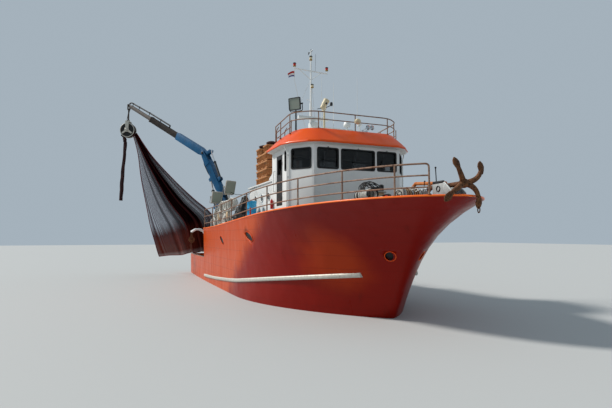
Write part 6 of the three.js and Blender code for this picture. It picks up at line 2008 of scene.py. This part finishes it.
@dataclass
class NetCrane(Assembly):
    """The knuckle-boom crane: its column, booms, sliding extensions, cylinders, hoses and pin caps."""

    steel: tuple[tuple[str, Finishes, float], ...] = (
        ("crane_base", Finishes.CRANE_ENAMEL, 0.014),
        ("crane_column", Finishes.CRANE_ENAMEL, 0.014),
        ("crane_main_boom", Finishes.CRANE_ENAMEL, 0.018),
        ("crane_outer_boom", Finishes.CRANE_ENAMEL, 0.014),
        ("crane_extension", Finishes.BARE_STEEL, 0.012),
        ("lift_cylinder_barrel", Finishes.BLACK_ENAMEL, 0.005),
        ("lift_cylinder_rod", Finishes.CHROME_ROD, 0.0),
        ("knuckle_cylinder_barrel", Finishes.BLACK_ENAMEL, 0.005),
        ("knuckle_cylinder_rod", Finishes.CHROME_ROD, 0.0),
    )
    gland_share: float = 0.62

    def build(self) -> None:
        """Makes the crane."""
        for node, finish, bevel in self.steel:
            self.renew(node, finish, bevel)
        self.base_bolts()
        self.pin_caps()
        self.hoses()
        self.glands()
        self.tube()

    def base_bolts(self) -> None:
        """Bolts round the foot flange and gussets up the pedestal."""
        foot = (*CRANE.foot, MAIN_DECK)
        pieces = bolts(around(Vector(foot) + Vector((0, 0, 0.04)), 0.37, [pi * k / 6 for k in range(12)]), UP,
                       0.018)
        for k in range(6):
            a = pi * (k + 0.5) / 3
            out, across = Vector((cos(a), sin(a), 0)), Vector((sin(a), -cos(a), 0))
            outline = [Vector(foot) + out * r + across * 0.008 + Vector((0, 0, z)) for r,
                       z in ((0.28, 0.05), (0.4, 0.05), (0.285, 0.4))]
            pieces.append(plate(outline, across * -0.016))
        self.put(pieces, "crane_foot_gussets", Finishes.CRANE_ENAMEL)

    def pin_caps(self) -> None:
        """Round caps with locking plates on the ends of the pivot and knee pins."""
        for spot, half, radius, body, word in ((CRANE.pivot, 0.26, 0.085, "column", "pivot"),
                                               (CRANE.knee, 0.231, 0.08, "main_boom", "knee")):
            caps = []
            for side in (-1, 1):
                start = CRANE.at(spot[0], side * half, spot[1])
                way = Vector(CRANE.at(spot[0], side * (half + 1), spot[1])) - Vector(start)
                caps.append(turned([(radius, -0.004), (radius, 0.012), (radius * 0.8, 0.022),
                                    (radius * 0.4, 0.024)], start, way, 24))
            self.put(caps, f"{word}_pin_caps", Finishes.BARE_STEEL, body)

    def hoses(self) -> None:
        """Hydraulic hoses down the booms, each set on its own body and ending at a fitting."""
        main, outer, column = [], [], []
        for k in range(4):
            z = -0.09 + 0.045 * k
            main.append(self.hose(CRANE.on_main, [(0.35, -0.232, z), (0.9, -0.212, z), (2.05, -0.217, z),
                                                  (2.3, -0.272, z - 0.14)], 0.15, 0.014))
            outer.append(self.hose(CRANE.on_outer, [(0.35, -0.24, z - 0.16), (0.55, -0.19, z), (2.3, -0.175, z),
                                                    (2.7, -0.18, z * 0.5)], 0.15, 0.013))
            y = 0.05 * k
            column.append(self.hose(CRANE.at, [(-0.3 - 0.04 * k, y - 0.12, 4.1),
                                               (-0.42 - 0.02 * k, y - 0.1, 4.5), (-0.3, y - 0.08, 4.95)], 0.2,
                                    0.014))
        for k in range(4):
            y, z = -0.09 + 0.06 * k, -0.3 + 0.03 * (k % 2)
            main.append(self.hose(CRANE.on_main, [(1.5, y, z + 0.08), (1.62, y, z), (2.35, y, z - 0.03),
                                                  (2.6, y, z + 0.1)], 0.12, 0.028))
        for x in (0.6, 1.2, 1.8):
            clip = eased(block((-0.02, -0.02, -0.13), (0.02, 0.02, 0.08)), 0.005, 1)
            clip.matrix_world = self.boom_place(CRANE.on_main(x, -0.218, 0.0), CRANE.pivot, CRANE.knee)
            main.append(settle(clip))
        self.put(main, "main_boom_hoses", Finishes.RUBBER, "main_boom")
        self.put(outer, "outer_boom_hoses", Finishes.RUBBER, "outer_boom")
        valve = eased(block((-0.16, -0.2, -0.14), (0.08, 0.2, 0.14)), 0.015)
        valve.matrix_world = Matrix.Translation(CRANE.at(-0.3, 0, 4.18)) @ Matrix.Rotation(CRANE.turn, 4, "Z")
        column.append(settle(valve))
        self.put(column, "column_valve_and_hoses", Finishes.RUBBER, "column")

    def glands(self) -> None:
        """A band round the mouth of each cylinder's barrel."""
        for word, foot, head, radius in (("lift", CRANE.at(0.52, 0, 4.24), CRANE.on_main(1.25, 0, -0.33),
                                          0.085), ("knuckle", CRANE.on_main(0.9, 0, 0.33),
                                                   CRANE.on_outer(-0.43, 0, 0.33), 0.07)):
            way = Vector(head) - Vector(foot)
            profile = [(radius * share, z) for share, z in ((0.98, -0.1), (1.12, -0.09), (1.12, -0.012),
                                                            (0.9, -0.004), (0.62, -0.003))]
            self.put([turned(profile, Vector(foot) + way * self.gland_share, way, 28)],
                     f"{word}_cylinder_gland", Finishes.BLACK_ENAMEL, f"{word}_barrel")

    @staticmethod
    def hose(at: Callable[[float, float, float], Point], points: Sequence[Point], bend: float,
             radius: float) -> Piece:
        """A hose along a part of the crane.

        Args:
            at: turns a point of the part's own axes into the boat's frame.
            points: the hose's corners in the part's own axes.
            bend: how far from a corner its bend starts.
            radius: its radius.
        Returns:
            The hose as a mesh object.
        """
        return bent([at(*p) for p in points], bend, radius)

    @staticmethod
    def boom_place(spot: Point, start: Pair, end: Pair) -> Matrix:
        """The placing of a small part lying along a boom."""
        angle = atan2(end[1] - start[1], end[0] - start[0])
        return Matrix.Translation(spot) @ Matrix.Rotation(CRANE.turn, 4, "Z") @ Matrix.Rotation(-angle, 4, "Y")

    def tube(self) -> None:
        """The black feed tube on stand-offs along the extension, and its hose loops at the boom's end."""
        at = CRANE.on_outer
        line = [at(x, 0, z) for x, z in ((3.85, 0.2), (3.85, 0.33), (6.2, 0.33), (8.55, 0.27), (8.72, 0.14))]
        pieces = [bent(line, 0.1, 0.046, sides=14)]
        way = Vector(at(1, 0, 0)) - Vector(at(0, 0, 0))
        for x, low, high in ((4.9, 0.17, 0.33), (6.25, 0.11, 0.33), (7.5, 0.11, 0.3), (8.3, 0.11, 0.28)):
            pieces.append(rod(at(x, 0, low), at(x, 0, high), 0.02))
            pieces.append(ring(at(x, 0, high), way, 0.05, 0.014, 16))
        for k in range(3):
            low = 11.5 - 0.5 - 0.16 * k
            path = [at(8.4 - 0.1 * k, -0.13, 0.05), CRANE.at(9.35 + 0.06 * k, -0.2, 11.5),
                    CRANE.at(9.5 + 0.1 * k, -0.2, low), CRANE.at(9.42, -0.16, low - 0.15)]
            pieces.append(bent(path, 0.3, 0.016, steps=8))
        self.put(pieces, "extension_feed_tube", Finishes.RUBBER, "extension")


@dataclass
class PowerBlock(Assembly):
    """The power block: link, Y-shaped cheeks, and a grooved sheave with a pale rim."""

    turn: float = radians(158)
    axle_z: float = 9.88
    top_z: float = 10.52
    radius: float = 0.5

    def at(self, x: float, y: float, z: float) -> Point:
        """A point in the block's own axes: x along the axle.

        Args:
            x: the distance along the axle.
            y: the distance across it.
            z: the height.
        Returns:
            The point in the boat's frame.
        """
        c, s = cos(self.turn), sin(self.turn)
        tip = CRANE.at(CRANE.tip[0], 0, 0)
        return (tip[0] + x * c - y * s, tip[1] + x * s + y * c, z)

    def build(self) -> None:
        """Makes the block."""
        self.renew("block_link", Finishes.BARE_STEEL, bevel=0.008)
        c, s = cos(self.turn), sin(self.turn)
        frame_parts = []
        for side in (-1, 1):
            x0 = side * 0.262 - 0.018
            for angle, reach, foot, tip in ((90, 0.64, 0.1, 0.13), (215, 0.4, 0.075, 0.05),
                                            (325, 0.4, 0.075, 0.05)):
                a = radians(angle)
                way, across = (cos(a), sin(a)), (-sin(a), cos(a))
                corners = [(0, -foot), (reach, -tip), (reach, tip), (0, foot)]
                outline = [self.at(x0, u * way[0] + v * across[0], self.axle_z + u * way[1] + v * across[1])
                           for u, v in corners]
                frame_parts.append(eased(plate(outline, (c * 0.036, s * 0.036, 0)), 0.008))
            frame_parts.append(turned([(0.14, -0.022), (0.14, 0.022), (0.1, 0.034), (0.04, 0.036)],
                                      self.at(side * 0.262, 0, self.axle_z), (side * c, side * s, 0), 32))
        head = block((-0.28, -0.13, self.top_z - 0.05), (0.28, 0.13, self.top_z))
        head.matrix_world = Matrix.Translation(self.at(0, 0, 0)) @ Matrix.Rotation(self.turn, 4, "Z")
        frame_parts.append(eased(settle(head), 0.012))
        frame_parts.append(turned([(0.1, -0.01), (0.1, 0.05), (0.07, 0.062)], self.at(0, 0, self.top_z),
                                  sides=24))
        motor = turned([(0.09, 0), (0.1, 0.02), (0.1, 0.15), (0.06, 0.18)], self.at(-0.28, 0, self.axle_z),
                       (-c, -s, 0), 24)
        frame_parts.append(motor)
        self.put(frame_parts, "block_cheeks", Finishes.PALE_STEEL, "block", ("block_frame",))
        profile = [(0.09, -0.2437), (0.09, -0.222), (0.46, -0.222), (0.5, -0.218), (0.5, -0.196), (0.46, -0.19),
                   (0.27, -0.02), (0.25, 0.0), (0.27, 0.02), (0.46, 0.19), (0.5, 0.196), (0.5, 0.218),
                   (0.46, 0.222), (0.09, 0.222), (0.09, 0.2437)]
        wheel = turned(profile, self.at(0, 0, self.axle_z), (c, s, 0), 48)
        self.put([wheel], "sheave_wheel", Finishes.RUBBER, "sheave", ("block_sheave",))
        rims = [ring(self.at(side * 0.21, 0, self.axle_z), (c, s, 0), 0.475, 0.027, 44) for side in (-1, 1)]
        self.put(rims, "sheave_rims", Finishes.PALE_STEEL, "sheave")


@dataclass
class NetCurtain(Assembly):
    """The net over the power block: a bundle in the groove, a tail, and a pleated fan down to the deck."""

    rows: tuple[tuple[float, ...], ...] = (
        (-12.975, -7.19, 9.6, -12.8, -6.98, 9.7),
        (-12.88, -6.85, 8.3, -12.0, -5.96, 8.0),
        (-12.86, -6.6, 6.6, -10.925, -4.625, 6.32),
        (-12.83, -6.2, 4.6, -10.01, -3.49, 5.06),
        (-12.8, -5.85, 3.0, -9.1, -2.35, 3.88),
        (-12.77, -5.5, 1.8, -9.0, -2.2, 2.7),
        (-12.75, -5.3, 1.15, -8.9, -2.1, 1.8),
    )
    tail: tuple[Pair, ...] = ((-0.4, 5.0), (-0.3, 7.0), (-0.19, 9.05), (-0.25, 9.4), (-0.39, 9.6))
    over: float = 0.4222
    across: int = 220
    down: int = 80
    anchor_z: float = 9.6
    length: float = 9.4

    def build(self) -> None:
        """Makes the net's pieces; those that hang get meshes of their own."""
        power_block = PowerBlock()

        def away(reach: float, z: float) -> Point:
            """A point in the plane of the sheave, at a reach from its axle."""
            return power_block.at(0, -reach, z)

        bundle = [away(d, z) for d, z in self.tail[-1:]]
        axle = power_block.axle_z
        for i in range(1, 16):
            a = pi * (1 - i / 16)
            bundle.append(away(cos(a) * self.over, axle + sin(a) * self.over))
        bundle += [away(self.over, axle), away(self.over + 0.02, axle - 0.3)]
        over = self.put(self.strands(bundle, 0.062, 0.042, 9), "net_over_sheave", Finishes.NET_MASS, "block")
        hanging = [away(d, z) for d, z in self.tail]
        path = [Vector(hanging[i]).lerp(Vector(hanging[i + 1]), k / 8) for i in range(4) for k in range(8)]
        path.append(hanging[-1])
        tail = self.put(self.strands(path, 0.085, 0.055, 9), "net_tail", Finishes.NET_MASS, "block",
                        ("net_hanging",))
        curtain = self.curtain()
        for hung in (tail, curtain, self.selvage()):
            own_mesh(hung)

    @staticmethod
    def strands(path: Sequence[Point], spread: float, thick: float, count: int) -> list[Piece]:
        """Twisted strands of bunched net along a path.

        Args:
            path: the bundle's middle line.
            spread: the bundle's radius.
            thick: the radius of one strand.
            count: how many strands.
        Returns:
            The strands.
        """
        made = []
        points = [Vector(p) for p in path]
        for k in range(count):
            line = []
            for i, here in enumerate(points):
                way = (points[min(i + 1, len(points) - 1)] - points[max(i - 1, 0)]).normalized()
                side = way.cross(Vector((0.31, 0.2, 0.93))).normalized()
                up = way.cross(side)
                a = 2 * pi * k / count + i * 0.22
                reach = spread * (0.75 + 0.25 * sin(k * 2.7 + i * 0.6)) if k else 0
                line.append(here + side * cos(a) * reach + up * sin(a) * reach)
            made.append(pipe(line, thick, sides=8, radii=[0.8 + 0.25 * sin(k * 1.7 + i * 0.9)
                                                          for i in range(len(line))]))
        return made

    def edge(self, v: float) -> tuple[Vector, Vector]:
        """The fan's left and right edge at a share of its length, on a smooth curve through the rows.

        Args:
            v: the share of the length, from 0 at the block to 1 at the foot.
        Returns:
            The left and the right edge.
        """
        place = v * (len(self.rows) - 1)
        i = min(int(place), len(self.rows) - 2)
        t = place - i
        found = []
        for start in (0, 3):
            p = [Vector(self.rows[min(max(i + k, 0), len(self.rows) - 1)][start:start + 3])
                 for k in (-1, 0, 1, 2)]
            found.append(0.5 * (2 * p[1] + (p[2] - p[0]) * t + (2 * p[0] - 5 * p[1] + 4 * p[2] - p[3]) * t * t
                                + (3 * p[1] - p[0] - 3 * p[2] + p[3]) * t ** 3))
        return found[0], found[1]

    @staticmethod
    def fold(u: float) -> float:
        """The depth of the folds across the fan, from -1 to 1."""
        return 0.5 * sin(u * 41 + 1.3 * sin(u * 9)) + 0.32 * sin(u * 83
                                                                 + 2.1 * sin(u * 17)) + 0.18 * sin(u * 171
                                                                                                   + 0.7)

    def place(self, u: float, v: float) -> Vector:
        """A point of the fan's middle surface.

        Args:
            u: the share across, from 0 at the left edge.
            v: the share of the length.
        Returns:
            The point.
        """
        left, right = self.edge(v)
        along = right - left
        out = Vector((along.y, -along.x, 0)).normalized()
        share = u ** (1 / (1 + 1.5 * v))
        depth = (0.03 + 0.17 * v ** 0.8) * (0.25 + 0.75 * blend_share(u / 0.4))
        slack = 0.35 * sin(pi * u) * sin(pi * min(v * 1.1, 1)) * 0.5
        swing = 0.012 * v * sin(v * 23 + u * 31)
        foot = -0.12 * v ** 6 * abs(sin(u * 13))
        return left + along * (share + 0.004 * sin(u * 90)) + out * (self.fold(u) * depth
                                                                     + swing) + Vector((0, 0,
                                                                                        foot - slack * 0.2))

    def curtain(self) -> Piece:
        """The pleated fan as one thin sheet, with attributes that say how it is bunched."""
        mesh = bpy.data.meshes.new("curtain")
        n = self.across + 1
        spots = [(i / self.across, j / self.down) for j in range(self.down + 1) for i in range(n)]
        corners = [j * n + i for j in range(self.down) for i in range(self.across)]
        mesh.from_pydata([self.place(u, v) for u, v in spots], [],
                         [(a, a + 1, a + n + 1, a + n) for a in corners])
        for word, values in (("ridge", [0.5 + 0.5 * self.fold(u) for u, _ in spots]),
                             ("across", [u for u, _ in spots]), ("length", [v for _, v in spots])):
            mesh.attributes.new(word, "FLOAT", "POINT").data.foreach_set("value", values)
        obj = smooth(stood("net_curtain", mesh), 80)
        obj.data.materials.append(self.twine())
        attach(obj, "block")
        return obj

    @staticmethod
    def twine() -> bpy.types.Material:
        """Fine knotted twine, seen through where it hangs in one layer and near black where it is bunched.

        The eye sees dark maroon folds with lighter lines where they catch the sky, a thin grey-lilac panel
        along the left edge and another low on the right, and a rusty band above a pale foot.
        """
        material = bare("knotted_twine_net")
        tree = material.node_tree
        ridge, across, length = (add_node(tree, "Attribute", out="Fac", attribute_name=word)
                                 for word in ("ridge", "across", "length"))
        place = add_node(tree, "CombineXYZ", (across, length))
        run = add_node(tree, "Mapping", {"Vector": place, "Scale": (34, 1.6, 1)})
        streaks = add_node(tree, "TexNoise", {"Vector": run, "Scale": 1.6, "Detail": 6.0})
        shift = add_node(tree, "Math", (streaks, 0.14, -0.07), operation="MULTIPLY_ADD")
        wavy = add_node(tree, "Math", (length, shift), operation="ADD")
        # How much of each look a place has: where it starts, where it ends, and the shares there
        part = {word: add_node(tree, "MapRange", row) for word,
                row in {"lines": (streaks, 0.56, 0.68, 0.0, 0.85), "lit": (ridge, 0.62, 0.95, 0.0, 0.7),
                        "left": (across, 0.1, 0.34, 1.0, 0.0), "upper": (wavy, 0.64, 0.73, 1.0, 0.1),
                        "right": (across, 0.64, 0.76, 0.0, 0.75), "rim": (across, 0.92, 0.99, 1.0, 0.3),
                        "under": (length, 0.14, 0.34, 0.0, 1.0), "over": (length, 0.6, 0.78, 1.0, 0.0),
                        "layers": (ridge, 0.22, 0.55, 0.3, 1.0), "low": (wavy, 0.66, 0.78, 0.0, 0.85),
                        "band": (across, 0.25, 0.9, 1.0, 0.3), "foot": (length, 0.93, 0.97, 0.0, 0.6)}.items()}
        for word, operation, first, second in (("pale", "MAXIMUM", "lines", "lit"),
                                               ("left", "MULTIPLY", "left", "upper"),
                                               ("right", "MULTIPLY", "right", "rim"),
                                               ("right", "MULTIPLY", "right", "under"),
                                               ("right", "MULTIPLY", "right", "over"),
                                               ("sheer", "MAXIMUM", "left", "right"),
                                               ("sheer", "MULTIPLY", "sheer", "layers"),
                                               ("rusty", "MULTIPLY", "low", "band")):
            part[word] = add_node(tree, "Math", (part[first], part[second]), operation=operation)
        colour = linear("#0E0405")
        for word, code in (("pale", "#4A2222"), ("sheer", "#544850"), ("rusty", "#5C2216"),
                           ("foot", "#8E7C78")):
            colour = add_node(tree, "Mix", {0: part[word], 6: colour, 7: linear(code)}, 2, data_type="RGBA")
        knots = add_node(tree, "Mapping", {"Vector": place, "Scale": (180, 240, 1), "Rotation": (0, 0, pi / 4)})
        cells = add_node(tree, "TexChecker", {"Vector": knots, "Scale": 1.0}, "Fac")
        opened = add_node(tree, "MapRange", (part["sheer"], 0.0, 1.0, 0.0, 0.72))
        hole = add_node(tree, "Math", (cells, opened), operation="MULTIPLY")
        solid = add_node(tree, "Math", (1.0, hole), operation="SUBTRACT")
        shader = add_node(tree, "BsdfPrincipled", {"Base Color": colour, "Roughness": 0.85, "Alpha": solid,
                                                   "Specular IOR Level": 0.0})
        add_node(tree, "OutputMaterial", {"Surface": shader})
        return material

    def selvage(self) -> Piece:
        """The dark red ropes along the fan's edges and foot."""
        lines = []
        for u in (0.0, 1.0):
            lines.append(pipe([self.place(u, k / 40) for k in range(41)], 0.026, sides=8))
        lines.append(pipe([self.place(k / 110, 1.0) for k in range(111)], 0.024, sides=8))
        for u in (0.34, 0.62, 0.83):
            lines.append(pipe([self.place(u, k / 40) + Vector((0.02, 0.02, 0)) for k in range(41)], 0.013,
                              sides=6))
        return self.put(lines, "net_selvage_ropes", Finishes.SELVAGE_ROPE, "block")


@dataclass
class PurseDavit(Assembly):
    """The arched davit on the working deck and its pair of rusty hanging blocks."""

    x: float = -7.2
    y: float = -3.92
    z: float = 2.35

    def build(self) -> None:
        """Makes the davit and its blocks."""
        self.renew("purse_davit", Finishes.WHITE_ENAMEL, bevel=0.004, degrees=50, segments=1)
        y, z = self.y, self.z
        half = [(0.17, -0.04), (0.17, -0.028), (0.12, -0.012)]
        profile = half + [(r, -out) for r, out in half[::-1]]
        pieces = []
        for x in (self.x - 0.11, self.x + 0.11):
            pieces.append(turned(profile, (x, y, z), BOW, 32))
            pieces += [eased(block((cheek - 0.005, y - 0.045, z - 0.2), (cheek + 0.005, y + 0.045, 2.79)),
                             0.004, 1) for cheek in (x - 0.048, x + 0.048)]
            pieces += [rod((x - 0.065, y, z), (x + 0.065, y, z), 0.028, 14),
                       rod((x - 0.055, y, z - 0.19), (x + 0.055, y, z - 0.19), 0.014, 10)]
        pieces.append(eased(block((self.x - 0.165, y - 0.025, 2.74), (self.x + 0.165, y + 0.025, 2.7847)),
                            0.006))
        pieces += [ring((self.x - 0.11, y, 2.1 - 0.085 * k), BOW if k % 2 else PORT, 0.045, 0.012, 14)
                   for k in range(7)]
        self.put(pieces, "davit_hanging_blocks", Finishes.RUSTED_IRON, replaces=("davit_blocks",))


@dataclass
class NetHeap(Assembly):
    """The heap of net on the working deck, with its corks and lines flaked over it."""

    sections: tuple[tuple[float, float, float], ...] = ((-12.1, 1.7, 0.26), (-11.5, 2.4, 0.7),
                                                        (-10.2, 2.6, 0.9), (-8.8, 2.6, 0.85), (-7.8, 2.3, 0.65),
                                                        (-7.3, 1.6, 0.25))
    deck: float = 0.4503

    def build(self) -> None:
        """Makes the heap, the corks and the lines."""
        aft, fore = self.sections[0][0], self.sections[-1][0]
        rings = []
        for x in (aft + (fore - aft) * k / 48 for k in range(49)):
            half, top = self.section(x)
            line = []
            for i in range(65):
                a = pi * i / 64
                lump = 0.05 * sin(x * 11 + i * 0.55) * sin(i * 0.9 + x * 5) + 0.035 * sin(i * 2.3 + x * 17)
                line.append((x, -cos(a) * half,
                             self.deck + max(0.0, sin(a)) ** 0.7 * max(top + lump - 0.05, 0.05)))
            rings.append(line)
        self.put([smooth(lofted(rings), 60)], "net_heap_folds", Finishes.NET_MASS, replaces=("net_heap",))
        cork = turned([(0.02, -0.05), (0.045, -0.04), (0.05, 0), (0.045, 0.04), (0.02, 0.05)], (0, 0, 0), BOW,
                      12)
        wave = [(-11.6 + 3.9 * t + 0.28 * sin(t * 60), -1.7 + 0.5 * sin(t * 38) + 0.2 * sin(t * 91))
                for t in (k / 149 for k in range(150))]
        line = [(x, y, self.height(x, y) + 0.03) for x, y in wave]
        corks = [copied(cork, place) for place in line[::2]]
        cleared(cork)
        self.put(corks, "net_corks", Finishes.CORK)
        ropes = [pipe(line, 0.012, sides=6)]
        for shift in (0.3, 1.1):
            wave = [(-11.7 + 4.0 * t + 0.25 * sin(t * 52 + shift), shift + 0.55 * sin(t * 44 + shift * 3))
                    for t in (k / 139 for k in range(140))]
            ropes.append(pipe([(x, y, self.height(x, y) + 0.02) for x, y in wave], 0.02, sides=8))
        self.put(ropes, "net_heap_ropes", Finishes.ROPE)

    def section(self, x: float) -> Pair:
        """The heap's half breadth and height at a station.

        Args:
            x: the station.
        Returns:
            The half breadth and the height over the deck.
        """
        for (x0, h0, t0), (x1, h1, t1) in zip(self.sections, self.sections[1:]):
            if x <= x1:
                t = (x - x0) / (x1 - x0)
                return h0 + (h1 - h0) * t, t0 + (t1 - t0) * t
        return self.sections[-1][1:]

    def height(self, x: float, y: float) -> float:
        """The height of the heap's surface at a place."""
        half, top = self.section(x)
        return self.deck + max(0.0, 1 - (y / half) ** 2) ** 0.35 * top


@dataclass
class SternGear(Assembly):
    """The rudder and the propeller."""

    def build(self) -> None:
        """Makes the gear under the stern."""
        self.renew("rudder", Finishes.ANTIFOULING, bevel=0.014, segments=3)
        self.renew("propeller", Finishes.BRONZE, bevel=0.008)


def main() -> None:
    """Builds the boat's assemblies in order."""
    logging.basicConfig(level=logging.INFO, format="%(message)s")
    lamps = (
        Floodlight("roof_floodlight", (5.15, -2.0, 7.57), BRIDGE_ROOF, -50, 0.12, 0.5, 0.48, 0.26, 0.035,
                   Finishes.BLACK_ENAMEL),
        Floodlight("deck_floodlight_mid", (-1.25, -2.95, 4.95), MAIN_DECK, 25, 0.25, 0.6, 0.68, 0.24, 0.045,
                   Finishes.GREY_ENAMEL),
        Floodlight("deck_floodlight_aft", (-3.55, -3.14, 4.63), MAIN_DECK, 20, 0.25, 0.64, 0.62, 0.24, 0.045,
                   Finishes.GREY_ENAMEL),
    )
    for assembly in (Studio(), HullPlating(), DeckRailing(), Wheelhouse(), RoofRail(), RoofGear(), *lamps,
                     MastRig(), Deckhouse(), ForedeckGear(), MidshipGear(), NetCrane(), PowerBlock(),
                     NetCurtain(), PurseDavit(), NetHeap(), SternGear()):
        known = set(bpy.data.objects.keys())
        assembly.build()
        for name in sorted(set(bpy.data.objects.keys()) - known):
            log.info("%s made %s", type(assembly).__name__, name)
    put_down()
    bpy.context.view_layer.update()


if __name__ == "__main__":
    main()
